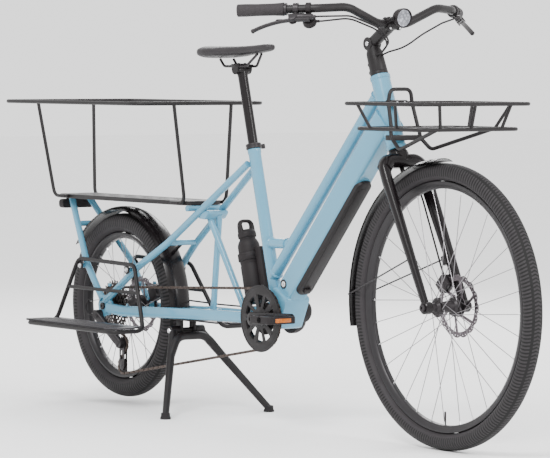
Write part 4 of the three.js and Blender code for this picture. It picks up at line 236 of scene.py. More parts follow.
class Graph:
    """One material's nodes."""

    def __init__(self, name: str) -> None:
        """Starts an empty material that reads Object coordinates."""
        self.material = bpy.data.materials.new(name)
        self.material.use_nodes = True
        self.tree = self.material.node_tree
        self.tree.nodes.clear()
        self.place = self.node("ShaderNodeTexCoord").outputs["Object"]

    def node(self, kind: str, inputs: dict | None = None, **settings: str) -> bpy.types.Node:
        """Adds a node.

        Args:
            kind: The node's type.
            inputs: Values or links of its sockets, by name or number.
            settings: Its own settings, set first.

        Returns:
            The node.
        """
        made = self.tree.nodes.new(kind)
        for name, value in settings.items():
            setattr(made, name, value)
        for name, value in (inputs or {}).items():
            source = value.socket if isinstance(value, Signal) else value
            if isinstance(source, Socket):
                self.tree.links.new(source, made.inputs[name])
            else:
                made.inputs[name].default_value = source
        return made

    def noise(self, scale: float, detail: float = 2.0, vector: Socket | None = None) -> Signal:
        """Cloudy noise of a given scale, counted per metre."""
        inputs = {"Vector": vector or self.place, "Scale": scale, "Detail": detail}
        return Signal(self, self.node("ShaderNodeTexNoise", inputs).outputs[0])

    def cells(self, scale: float, vector: Socket | None = None) -> Signal:
        """Distance from the middle of small cells, for grain and pebbling."""
        inputs = {"Vector": vector or self.place, "Scale": scale}
        return Signal(self, self.node("ShaderNodeTexVoronoi", inputs).outputs["Distance"])

    def stretched(self, x: float, y: float, z: float) -> Socket:
        """The coordinates with each axis scaled, for grain that runs one way."""
        return self.node("ShaderNodeMapping", {"Vector": self.place, "Scale": (x, y, z)}).outputs[0]

    def about(self, centre: Vector) -> tuple[Signal, Signal, Signal]:
        """Distances along X, Y and Z from a place, in metres."""
        away = self.node("ShaderNodeMapping", {"Vector": self.place, "Location": tuple(-centre)})
        split = self.node("ShaderNodeSeparateXYZ", {0: away.outputs[0]})
        return tuple(Signal(self, split.outputs[i]) for i in range(3))

    def along(self, centre: Vector, line: Vector) -> Signal:
        """Distance from a place along a line, the same on both sides of the bike."""
        x, y, z = self.about(mm(centre.x, 0, centre.z))
        return x * line.x + (abs(y) - abs(centre.y)) * line.y + z * line.z

    def blend(self, share: Signal, low: Colour, high: Colour) -> Socket:
        """A colour between two."""
        inputs = {0: share, 6: (*low, 1), 7: (*high, 1)}
        return self.node("ShaderNodeMix", inputs, data_type="RGBA").outputs[2]

    def overlaid(self, share: Signal, low: Socket, high: Colour) -> Socket:
        """A colour laid over another where share says."""
        return self.node("ShaderNodeMix", {0: share, 6: low, 7: (*high, 1)}, data_type="RGBA").outputs[2]

    def bump(self, height: Signal, strength: float, distance: float) -> Socket:
        """A normal raised by height."""
        inputs = {"Strength": strength, "Distance": distance, "Height": height}
        return self.node("ShaderNodeBump", inputs).outputs["Normal"]

    def finish(self, colour: Socket, rough: Signal, **others: "Socket | float") -> Material:
        """Ends the graph in one Principled shader; other sockets are named with underscores for spaces."""
        inputs = {"Base Color": colour, "Roughness": rough}
        inputs |= {name.replace("_", " "): value for name, value in others.items()}
        shader = self.node("ShaderNodeBsdfPrincipled", inputs)
        self.tree.links.new(shader.outputs[0], self.node("ShaderNodeOutputMaterial").inputs[0])
        return self.material


@dataclass(frozen=True)
class Finish:
    """A named finish and the record's material slot that it stands for."""

    name: str
    slot: str
    colour: Colour

    def tone(self, factor: float) -> Colour:
        """The colour made lighter or darker."""
        return tuple(min(1.0, part * factor) for part in self.colour)

    def make(self, graph: Graph) -> Material:
        """Builds the material."""
        raise NotImplementedError


@dataclass(frozen=True)
class GlossPaint(Finish):
    """Sprayed frame paint under a clear coat, with faint orange peel."""

    roughness: float = 0.3
    coat: float = 0.5
    specular: float = 0.5

    def make(self, graph: Graph) -> Material:
        """Builds the material."""
        clouds = graph.noise(9, 3)
        peel = graph.noise(420, 2)
        specks = graph.cells(1900)
        colour = graph.blend(clouds, self.tone(0.93), self.tone(1.07))
        colour = graph.overlaid((0.12 - specks).smooth(0, 0.1) * 0.12, colour, self.tone(1.5))
        rough = self.roughness + graph.noise(60, 4) * 0.05
        return graph.finish(
            colour, rough, Normal=graph.bump(peel, 0.04, 0.0005), Coat_Weight=self.coat, Coat_Roughness=0.1,
            Specular_IOR_Level=self.specular,
        )


@dataclass(frozen=True)
class PowderCoat(Finish):
    """Fine textured black coat on tube and plate, rubbed a little brighter in patches."""

    roughness: float = 0.42
    grain: float = 1500.0

    def make(self, graph: Graph) -> Material:
        """Builds the material."""
        rubbed = graph.noise(28, 4).smooth(0.52, 0.8)
        grain = graph.noise(self.grain, 2)
        colour = graph.blend(rubbed, self.colour, self.tone(1.8))
        rough = self.roughness + grain * 0.12 - rubbed * 0.08
        return graph.finish(colour, rough, Normal=graph.bump(grain, 0.12, 0.0004), Specular_IOR_Level=0.3)


@dataclass(frozen=True)
class Anodised(Finish):
    """Dyed metal with fine turning lines and a soft sheen."""

    roughness: float = 0.3
    metal: float = 0.85

    def make(self, graph: Graph) -> Material:
        """Builds the material."""
        streaks = graph.noise(260, 3, graph.stretched(1, 7, 1))
        clouds = graph.noise(25, 3)
        colour = graph.blend(clouds, self.tone(0.85), self.tone(1.3))
        rough = self.roughness + streaks * 0.14
        return graph.finish(colour, rough, Metallic=self.metal, Normal=graph.bump(streaks, 0.05, 0.0003))


@dataclass(frozen=True)
class BrushedSteel(Finish):
    """Bare steel with circling tool marks round an axle, and a stain here and there."""

    centre: Triple = (0.0, 0.0, 0.0)
    roughness: float = 0.28

    def make(self, graph: Graph) -> Material:
        """Builds the material."""
        x, _, z = graph.about(metres(mm(*self.centre)))
        reach = (x * x + z * z).maths("SQRT")
        rings = (reach * 5200).wave() * graph.noise(180, 3)
        stains = graph.noise(45, 4).smooth(0.5, 0.75)
        colour = graph.blend(stains, self.colour, self.tone(0.6))
        rough = self.roughness + rings * 0.18 + stains * 0.12
        return graph.finish(colour, rough, Metallic=1.0, Normal=graph.bump(rings, 0.06, 0.0003))


@dataclass(frozen=True)
class OiledSteel(Finish):
    """Brown-grey chain steel with oil and dust between the links."""

    def make(self, graph: Graph) -> Material:
        """Builds the material."""
        oil = graph.noise(140, 4).smooth(0.4, 0.7)
        wear = graph.noise(700, 2)
        colour = graph.blend(oil, self.tone(1.5), self.tone(0.45))
        rough = 0.5 - oil * 0.2 + wear * 0.1
        return graph.finish(colour, rough, Metallic=0.85, Normal=graph.bump(wear, 0.15, 0.0004))


@dataclass(frozen=True)
class Moulded(Finish):
    """Moulded plastic with a spark-eroded grain and slightly worn high spots."""

    roughness: float = 0.5
    grain: float = 1100.0
    depth: float = 0.18
    specular: float = 0.25

    def make(self, graph: Graph) -> Material:
        """Builds the material."""
        grain = graph.cells(self.grain)
        scuffs = graph.noise(70, 5, graph.stretched(1, 4, 1)).smooth(0.58, 0.75)
        colour = graph.blend(graph.noise(14, 2), self.tone(0.85), self.tone(1.25))
        colour = graph.overlaid(scuffs * 0.35, colour, self.tone(2.4))
        rough = self.roughness + grain * 0.2 + scuffs * 0.1
        normal = graph.bump(grain, self.depth, 0.0004)
        return graph.finish(colour, rough, Normal=normal, Specular_IOR_Level=self.specular)


@dataclass(frozen=True)
class TyreRubber(Finish):
    """Tyre rubber with a fine slanted block tread whose grooves carry painted shade, sidewall ribs and road dust."""

    centre: Triple = (0.0, 0.0, 0.0)
    radius: float = 361.0
    width: float = 50.0
    blocks: int = 150

    def make(self, graph: Graph) -> Material:
        """Builds the material."""
        x, y, z = graph.about(metres(mm(*self.centre)))
        reach = (x * x + z * z).maths("SQRT")
        turn = z.maths("ARCTAN2", x)
        side = abs(y) * (1000 / self.width)
        tread = reach.smooth((self.radius - 0.7 * self.width) / 1000, (self.radius - 0.62 * self.width) / 1000)
        slant = (turn * float(self.blocks) + side * 13).wave().smooth(0.34, 0.6)
        rows = (side * 15 + 0.8).wave().smooth(0.1, 0.26)
        height = 1 - tread * (1 - slant * rows)
        ribs = (reach * 1900).wave().smooth(0.35, 0.9) * (1 - tread)
        dust = graph.noise(35, 4).smooth(0.45, 0.8)
        # Painted shade: the tread's grooves are coloured nearly black and the raised blocks lighter.
        colour = graph.blend(height, self.tone(0.08), self.tone(1.5))
        colour = graph.overlaid(dust * 0.2, colour, self.tone(2.2))
        raised = height * 0.9 + ribs * 0.1 + graph.noise(1200, 2) * 0.06
        normal = graph.bump(raised, 0.7, 0.0014)
        return graph.finish(colour, 0.66 + dust * 0.15, Normal=normal, Specular_IOR_Level=0.3)


@dataclass(frozen=True)
class RibbedRubber(Finish):
    """Soft grip rubber with ribs that run round it, and painted shade in the troughs between them."""

    centre: Triple = (0.0, 0.0, 0.0)
    line: Triple = (1.0, 0.0, 0.0)
    pitch: float = 4.0

    def make(self, graph: Graph) -> Material:
        """Builds the material."""
        run = graph.along(metres(mm(*self.centre)), Vector(self.line))
        ribs = (run * (2 * pi * 1000 / self.pitch)).wave().smooth(0.2, 0.6)
        grain = graph.noise(900, 3)
        # Painted shade: the troughs between the ribs are coloured darker than their crests.
        colour = graph.blend(ribs, self.tone(0.5), self.tone(1.15))
        return graph.finish(colour, 0.68 + grain * 0.16, Normal=graph.bump(ribs + grain * 0.2, 0.5, 0.0008))


@dataclass(frozen=True)
class GrainedCover(Finish):
    """Saddle cover with a pebbled grain, softly creased, with painted shade in the creases."""

    def make(self, graph: Graph) -> Material:
        """Builds the material."""
        pebbles = graph.cells(620)
        creases = graph.noise(75, 4)
        # Painted shade: the cover is coloured darker where the crease noise sinks and lighter where it rises.
        colour = graph.blend(creases, self.tone(0.75), self.tone(1.35))
        height = pebbles * 0.8 + creases * 0.3
        normal = graph.bump(height, 0.22, 0.0004)
        return graph.finish(colour, 0.4 + pebbles * 0.22, Normal=normal, Specular_IOR_Level=0.4)


@dataclass(frozen=True)
class LampLens(Finish):
    """A lamp's lens or a reflector, with its moulded prisms under a clear face, each prism given a painted highlight in
    its middle and painted shade at its edges.
    """

    prisms: float = 420.0
    metal: float = 0.0

    def make(self, graph: Graph) -> Material:
        """Builds the material."""
        cells = graph.cells(self.prisms)
        # Painted highlight and shade: each prism is coloured lighter in its middle and darker towards its edges.
        colour = graph.blend(cells.smooth(0.1, 0.7), self.tone(1.35), self.tone(0.55))
        return graph.finish(
            colour, 0.12 + cells * 0.2, Metallic=self.metal, Normal=graph.bump(cells, 0.45, 0.0008),
            Coat_Weight=0.35, Coat_Roughness=0.05, Specular_IOR_Level=0.3,
        )


BLACK = (0.006, 0.0046, 0.0052)
WARM_BLACK = (0.0085, 0.0065, 0.0072)
TYRE_BLACK = (0.014, 0.0122, 0.0135)
DISC_GREY = (0.115, 0.1, 0.11)
FRONT_AXLE = tuple(LINES.front_axle)
REAR_AXLE = tuple(LINES.rear_axle)


class Dress(Enum):
    """The finishes that the bike's pieces wear."""

    BLUE = GlossPaint("blue_paint", "blue_paint", (0.084, 0.256, 0.372), 0.22, 0.45, 0.35)
    BLACK_COAT = PowderCoat("black_coat", "black_paint", BLACK)
    BLACK_GLOSS = GlossPaint("black_gloss_paint", "black_paint", BLACK, 0.24, 0.06, 0.2)
    BLACK_METAL = Anodised("black_metal", "black_metal", (0.018, 0.0155, 0.017), 0.36, 0.5)
    RIM_METAL = Anodised("rim_metal", "wheel_metal", (0.016, 0.0145, 0.016), 0.3, 0.5)
    SPOKE_STEEL = Anodised("spoke_steel", "wheel_metal", (0.2, 0.19, 0.2), 0.25, 1.0)
    BRIGHT_STEEL = Anodised("bright_steel", "bright_steel", (0.66, 0.66, 0.67), 0.2, 1.0)
    FRONT_DISC = BrushedSteel("front_disc_steel", "brake_steel", DISC_GREY, FRONT_AXLE)
    REAR_DISC = BrushedSteel("rear_disc_steel", "brake_steel", DISC_GREY, REAR_AXLE)
    CHAIN = OiledSteel("chain_steel", "chain_steel", (0.062, 0.047, 0.041))
    SPROCKET = OiledSteel("sprocket_steel", "chain_steel", (0.07, 0.06, 0.058))
    PLASTIC = Moulded("black_plastic", "plastic", WARM_BLACK)
    BOARD = Moulded("board_plastic", "plastic", (0.015, 0.0125, 0.016), 0.34, 1400.0, 0.1, 0.6)
    SHELL = Moulded("battery_shell", "plastic", (0.0095, 0.0078, 0.0085), 0.4, 1700.0, 0.12)
    RUBBER = Moulded("plain_rubber", "soft_rubber", (0.011, 0.0095, 0.0105), 0.6, 800.0, 0.25)
    FRONT_TYRE = TyreRubber("front_tyre_rubber", "tyre_rubber", TYRE_BLACK, FRONT_AXLE, 361, 50, 240)
    REAR_TYRE = TyreRubber("rear_tyre_rubber", "tyre_rubber", TYRE_BLACK, REAR_AXLE, 263, 58, 150)
    GRIP = RibbedRubber(
        "grip_rubber", "soft_rubber", (0.016, 0.0125, 0.0145), (1065, 354, 1103), (0.7236, -0.6896, 0.029), 3.2,
    )
    COVER = GrainedCover("saddle_cover", "saddle_cover", (0.012, 0.0098, 0.0115))
    CLEAR_LENS = LampLens("clear_lens", "plastic", (0.36, 0.37, 0.41), 120.0, 1.0)
    RED_LENS = LampLens("red_lens", "lamp_plastic", (0.16, 0.006, 0.007), 380.0)
    AMBER = LampLens("amber_reflector", "plastic", (0.52, 0.13, 0.006), 520.0)

    def material(self) -> Material:
        """The finish's material, built the first time that it is asked for."""
        name = f"{self.value.name}_finish"
        return bpy.data.materials.get(name) or self.value.make(Graph(name))


class Bench:
    """Blender's modelling tools, used on one piece at a time."""

    @staticmethod
    def clear() -> None:
        """Leaves edit mode and deselects everything."""
        if bpy.context.mode != "OBJECT":
            bpy.ops.object.mode_set(mode="OBJECT")
        bpy.ops.object.select_all(action="DESELECT")

    @staticmethod
    def pick(piece: Piece) -> None:
        """Selects one piece alone and makes it active."""
        Bench.clear()
        piece.select_set(True)
        bpy.context.view_layer.objects.active = piece

    @staticmethod
    def mend(piece: Piece, fill: bool = False) -> None:
        """Merges a piece's doubles, closes its ends if asked, and turns its faces outwards."""
        Bench.pick(piece)
        bpy.ops.object.mode_set(mode="EDIT")
        bpy.ops.mesh.select_all(action="SELECT")
        bpy.ops.mesh.remove_doubles(threshold=MERGE)
        if fill:
            bpy.ops.mesh.fill_holes(sides=0)
        bpy.ops.mesh.select_all(action="SELECT")
        bpy.ops.mesh.normals_make_consistent(inside=False)
        bpy.ops.object.mode_set(mode="OBJECT")

    @staticmethod
    def smooth(piece: Piece, name: str, angle: float = CRISP) -> Piece:
        """Names a finished piece, sets it at the origin and shades it, with edges over the angle crisp."""
        Bench.pick(piece)
        bpy.ops.object.transform_apply(location=True, rotation=True, scale=True)
        bpy.ops.object.shade_smooth_by_angle(angle=radians(angle))
        piece.name = piece.data.name = name
        return piece

    @staticmethod
    def skin(name: str, rings: Sequence[Course], closed: bool = False, angle: float = CRISP) -> Piece:
        """A grid bent round rings of places and sewn shut.

        Args:
            name: The piece's name.
            rings: Rings of equal length, in millimetres, in order along the piece.
            closed: Whether the last ring meets the first.
            angle: Smoothing angle in degrees.

        Returns:
            The piece.
        """
        course = [*rings, rings[0]] if closed else list(rings)
        across, rows = len(course[0]), len(course) - 1
        Bench.clear()
        bpy.ops.mesh.primitive_grid_add(x_subdivisions=across, y_subdivisions=rows, size=2)
        piece = bpy.context.object
        for vertex in piece.data.vertices:
            column = round((vertex.co.x + 1) / 2 * across) % across
            row = round((vertex.co.y + 1) / 2 * rows)
            vertex.co = metres(course[row][column])
        Bench.mend(piece, fill=not closed)
        return Bench.smooth(piece, name, angle)

    @staticmethod
    def joined(name: str, parts: Sequence[Piece]) -> Piece:
        """Several meshes made one object."""
        Bench.clear()
        for part in parts:
            part.select_set(True)
        bpy.context.view_layer.objects.active = parts[0]
        if len(parts) > 1:
            bpy.ops.object.join()
        piece = bpy.context.object
        piece.name = piece.data.name = name
        return piece

    @staticmethod
    def bevelled(piece: Piece, width: float, segments: int = 2, angle: float = 40.0) -> Piece:
        """Rounds a piece's edges that are sharper than the angle, in a few steps."""
        Bench.pick(piece)
        bevel = piece.modifiers.new("edges", "BEVEL")
        bevel.width = width / 1000
        bevel.segments = segments
        bevel.limit_method = "ANGLE"
        bevel.angle_limit = radians(angle)
        bpy.ops.object.modifier_apply(modifier=bevel.name)
        bpy.ops.object.shade_smooth_by_angle(angle=radians(CRISP_TURNED))
        return piece


def rounded(points: Course, bend: float, steps: int = 6) -> list[Vector]:
    """A run of places with its corners turned into bends.

    Args:
        points: The run's corners and ends.
        bend: Bend radius in millimetres.
        steps: Places along each bend.

    Returns:
        The smooth run.
    """
    out = [points[0].copy()]
    for before, corner, after in zip(points, points[1:], points[2:]):
        back, ahead = before - corner, after - corner
        turn = pi - back.angle(ahead)
        reach = min(bend * tan(turn / 2), BEND_SHARE * back.length, BEND_SHARE * ahead.length)
        start = corner + back.normalized() * reach
        end = corner + ahead.normalized() * reach
        for step in range(steps + 1):
            t = step / steps
            out.append(start * (1 - t) ** 2 + corner * 2 * t * (1 - t) + end * t * t)
    out.append(points[-1].copy())
    return [p for i, p in enumerate(out) if i == 0 or (p - out[i - 1]).length > SAME_PLACE]


def circle(radius: float, sides: int, flat: float = 1.0) -> Outline:
    """A round outline, or an oval one if flat isn't one."""
    turns = [(i + 0.5) * 2 * pi / sides for i in range(sides)]
    return [(radius * cos(a), radius * flat * sin(a)) for a in turns]


def soft_box(width: float, height: float, corner: float, steps: int = 5) -> Outline:
    """A rectangle with round corners."""
    x, y = width / 2 - corner, height / 2 - corner
    middles = [(x, y, 0.0), (-x, y, 90.0), (-x, -y, 180.0), (x, -y, 270.0)]
    out = []
    for cx, cy, start in middles:
        for step in range(steps + 1):
            a = radians(start + 90 * step / steps)
            out.append((cx + corner * cos(a), cy + corner * sin(a)))
    return out


def swept(
    name: str,
    course: Course,
    outline: Profile,
    side: Vector | None = None,
    size: Callable[[float], float] | None = None,
    closed: bool = False,
    angle: float = CRISP,
) -> Piece:
    """An outline carried along a run of places.

    Args:
        name: The piece's name.
        course: The run, in millimetres.
        outline: The section, as places across and over the run.
        side: The way that the section's first axis points at the start.
        size: Scale of the section at each share of the length.
        closed: Whether the run is a ring.
        angle: Smoothing angle in degrees.

    Returns:
        The piece.
    """
    count = len(course)
    lengths = [0.0]
    for before, after in zip(course, course[1:]):
        lengths.append(lengths[-1] + (after - before).length)
    carried = side or LEFT
    rings = []
    for i, place in enumerate(course):
        before = course[i - 1] if closed or i > 0 else place
        after = course[(i + 1) % count] if closed or i + 1 < count else place
        back = (place - before).normalized() if before is not place else (after - place).normalized()
        ahead = (after - place).normalized() if after is not place else back
        run = (back + ahead).normalized()
        if carried.cross(run).length < SAME_PLACE:
            carried = UP if abs(run.z) < 0.9 else AHEAD
        carried = (carried - run * carried.dot(run)).normalized()
        over = run.cross(carried)
        grow = size(lengths[i] / lengths[-1]) if size else 1.0
        mitre = 1 / max(0.5, back.dot(run)) if closed or 0 < i < count - 1 else 1.0
        lean = ahead - back
        lean = lean.normalized() if lean.length > 1e-6 else None
        ring = []
        for a, b in outline:
            offset = (carried * a + over * b) * grow
            if lean is not None and mitre > 1.0:
                offset += lean * (offset.dot(lean) * (mitre - 1))
            ring.append(place + offset)
        rings.append(ring)
    return Bench.skin(name, rings, closed, angle)


def tube(
    name: str, points: Course, radius: float, bend: float = 0.0, tip: float | None = None, sides: int = 16
) -> Piece:
    """A round tube through places, bent at its corners and tapered to its tip if one is given."""
    course = rounded(points, bend) if bend else list(points)
    end = radius if tip is None else tip
    return swept(name, course, circle(radius, sides), size=lambda share: 1 + (end / radius - 1) * share)


def ring_tube(name: str, corners: Course, radius: float, bend: float, sides: int = 12) -> Piece:
    """A tube that runs round a ring of corners and meets itself."""
    start = (corners[0] + corners[1]) / 2
    course = rounded([start, *corners[1:], corners[0], start], bend, 10)[:-1]
    return swept(name, course, circle(radius, sides), UP, closed=True)


def turned(
    name: str, profile: Profile, foot: Vector, line: Vector, steps: int = 48, bored: bool = False,
    angle: float = CRISP_TURNED,
) -> Piece:
    """A profile spun round a line.

    Args:
        name: The piece's name.
        profile: Places of radius and distance along the line, in order.
        foot: Where the line starts.
        line: The way that it runs.
        steps: Faces round the piece.
        bored: Whether the profile is a closed outline clear of the line.
        angle: Smoothing angle in degrees.

    Returns:
        The piece.
    """
    places = list(profile) if bored else [(0.0, profile[0][1]), *profile, (0.0, profile[-1][1])]
    Bench.clear()
    bpy.ops.mesh.primitive_circle_add(vertices=len(places), radius=0.01)
    piece = bpy.context.object
    for vertex, (reach, height) in zip(piece.data.vertices, places):
        vertex.co = (reach / 1000, 0, height / 1000)
    bpy.ops.object.mode_set(mode="EDIT")
    bpy.ops.mesh.select_all(action="SELECT")
    bpy.ops.mesh.spin(steps=steps, angle=2 * pi, center=(0, 0, 0), axis=(0, 0, 1))
    bpy.ops.mesh.select_all(action="SELECT")
    bpy.ops.mesh.remove_doubles(threshold=MERGE)
    bpy.ops.mesh.delete_loose()
    bpy.ops.object.mode_set(mode="OBJECT")
    turn = UP.rotation_difference(line.normalized()).to_matrix().to_4x4()
    piece.matrix_world = Matrix.Translation(metres(foot)) @ turn
    Bench.mend(piece)
    return Bench.smooth(piece, name, angle)


def pin(name: str, foot: Vector, head: Vector, radius: float, chamfer: float = 0.6, steps: int = 24) -> Piece:
    """A round pin, bolt head or collar with a small chamfer at both ends."""
    run = head - foot
    high = run.length
    edge = min(chamfer, high * 0.4, radius * 0.4)
    profile = [(radius - edge, 0), (radius, edge), (radius, high - edge), (radius - edge, high)]
    return turned(name, profile, foot, run, steps)


def cross_pin(name: str, x: float, z: float, low: float, high: float, radius: float, steps: int = 24) -> Piece:
    """A pin that lies across the bike."""
    return pin(name, mm(x, low, z), mm(x, high, z), radius, steps=steps)


def plate(
    name: str,
    outline: Profile,
    holes: Sequence[Profile],
    origin: Vector,
    across: Vector,
    over: Vector,
    thick: float,
    edge: float = 0.0,
) -> Piece:
    """A flat plate with holes, cut from a filled outline and given its thickness.

    Args:
        name: The piece's name.
        outline: Its outline in the plate's own plane.
        holes: Outlines of its holes.
        origin: Where the outline's origin lies, in the middle of the thickness.
        across: The outline's first axis.
        over: The outline's second axis.
        thick: Thickness in millimetres.
        edge: Width of the bevel on its edges.

    Returns:
        The piece.
    """
    Bench.clear()
    bpy.ops.curve.primitive_bezier_circle_add()
    piece = bpy.context.object
    curve = piece.data
    curve.splines.clear()
    curve.dimensions = "2D"
    curve.fill_mode = "BOTH"
    curve.extrude = (thick / 2 - edge) / 1000
    curve.bevel_depth = edge / 1000
    curve.offset = -edge / 1000
    curve.bevel_resolution = 1
    for loop in [outline, *holes]:
        spline = curve.splines.new("POLY")
        spline.points.add(len(loop) - 1)
        for point, (x, y) in zip(spline.points, loop):
            point.co = (x / 1000, y / 1000, 0, 1)
        spline.use_cyclic_u = True
    through = across.cross(over)
    turn = Matrix((across, over, through)).transposed().to_4x4()
    bpy.ops.object.convert(target="MESH")
    piece = bpy.context.object
    piece.matrix_world = Matrix.Translation(metres(origin)) @ turn
    Bench.mend(piece)
    return Bench.smooth(piece, name, 30)


def upright(name: str, outline: Profile, holes: Sequence[Profile], y: float, thick: float, edge: float = 0.0) -> Piece:
    """A plate that stands in the bike's own plane, given by its middle distance from it."""
    return plate(name, outline, holes, mm(0, y, 0), AHEAD, UP, thick, edge)


def level(name: str, outline: Profile, holes: Sequence[Profile], z: float, thick: float, edge: float = 0.0) -> Piece:
    """A plate that lies flat, given by its middle height."""
    return plate(name, outline, holes, mm(0, 0, z), AHEAD, LEFT, thick, edge)


def brick(name: str, low: Vector, high: Vector, edge: float = 1.0) -> Piece:
    """A block with rounded edges between two corners."""
    Bench.clear()
    middle = (low + high) / 2
    bpy.ops.mesh.primitive_cube_add(size=1, location=metres(middle))
    piece = bpy.context.object
    piece.scale = [abs(high[i] - low[i]) / 1000 for i in range(3)]
    bpy.ops.object.transform_apply(location=True, rotation=True, scale=True)
    piece.name = name
    return Bench.bevelled(piece, edge)


def copied(piece: Piece, move: Matrix) -> Piece:
    """A copy with its own mesh, moved in metres."""
    twin = piece.copy()
    twin.data = piece.data.copy()
    bpy.context.scene.collection.objects.link(twin)
    twin.data.transform(move)
    if move.determinant() < 0:
        twin.data.flip_normals()
    return twin


def mirrored(name: str, piece: Piece) -> Piece:
    """The same piece on the bike's other side."""
    twin = copied(piece, Matrix.Scale(-1, 4, (0, 1, 0)))
    twin.name = twin.data.name = name
    return twin


def studs(name: str, places: Course, run: Vector, radius: float, chamfer: float, steps: int) -> list[Piece]:
    """The same pin, bolt or screw at several places."""
    return [pin(name, place, place + run, radius, chamfer, steps) for place in places]


def spun(piece: Piece, centre: Vector, count: int) -> list[Piece]:
    """The piece and its copies, set evenly round an axle across the bike."""
    middle = Matrix.Translation(metres(centre))
    back = middle.inverted()
    turns = [Matrix.Rotation(2 * pi * i / count, 4, "Y") for i in range(1, count)]
    return [piece, *[copied(piece, middle @ turn @ back) for turn in turns]]


@dataclass
class Assembly:
    """A group of pieces that ride on one body."""

    body: str

    def wear(self, piece: Piece, dress: Dress, *nodes: str, body: str | None = None) -> Piece:
        """Dresses a piece and sets it on its body.

        Args:
            piece: The finished piece.
            dress: Its finish.
            nodes: The model's nodes that it stands for.
            body: The body it rides on, if it isn't the assembly's own.

        Returns:
            The piece.
        """
        piece.data.materials.clear()
        piece.data.materials.append(dress.material())
        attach(piece, body or self.body)
        if nodes:
            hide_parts(*nodes)
        LOG.info("%s: %d faces, %s", piece.name, len(piece.data.polygons), dress.value.name)
        return piece

    def join(self, name: str, parts: Sequence[Piece], dress: Dress, node: str, body: str | None = None) -> Piece:
        """Joins parts into one piece and dresses it."""
        return self.wear(Bench.joined(name, parts), dress, node, body=body)

    def pair(self, name: str, parts: Sequence[Piece], dress: Dress, node: str) -> None:
        """Joins parts into a left piece, mirrors it to the right and dresses both."""
        left = Bench.joined(f"{name}_left", parts)
        right = mirrored(f"{name}_right", left)
        self.wear(left, dress, f"{node}_left")
        self.wear(right, dress, f"{node}_right")

    def build(self) -> None:
        """Makes and dresses the assembly's pieces."""
        raise NotImplementedError


def polar(radius: float, turn: float) -> tuple[float, float]:
    """A place on a circle."""
    return radius * cos(turn), radius * sin(turn)


def arc(radius: float, start: float, end: float, steps: int) -> Outline:
    """Places along part of a circle, angles in radians."""
    return [polar(radius, start + (end - start) * i / steps) for i in range(steps + 1)]


def hole(x: float, y: float, radius: float, sides: int = 16) -> Outline:
    """The outline of a round hole."""
    return shifted(circle(radius, sides), x, y)


def around(centre: Vector, radius: float, turn: float, side: float = 0) -> Vector:
    """A place round an axle that lies across the bike."""
    return centre + mm(*polar(radius, turn), 0).xzy + mm(0, side, 0)


def shifted(outline: Profile, x: float, y: float) -> Outline:
    """The outline moved in its own plane."""
    return [(x + a, y + b) for a, b in outline]


def softened(corners: Profile, bend: float, steps: int = 4) -> Outline:
    """A closed outline with round corners, from corners that end where they start."""
    return [(p.x, p.z) for p in rounded([mm(x, 0, z) for x, z in corners], bend, steps)[:-1]]


def toothed(teeth: int, root: float, tip: float) -> Outline:
    """A sprocket's outline, with tapered teeth and round roots."""
    out = []
    for i in range(teeth):
        for share, reach in ((0.0, root), (0.16, root), (0.36, tip), (0.5, tip), (0.64, tip), (0.84, root)):
            out.append(polar(reach, 2 * pi * (i + share) / teeth))
    return out


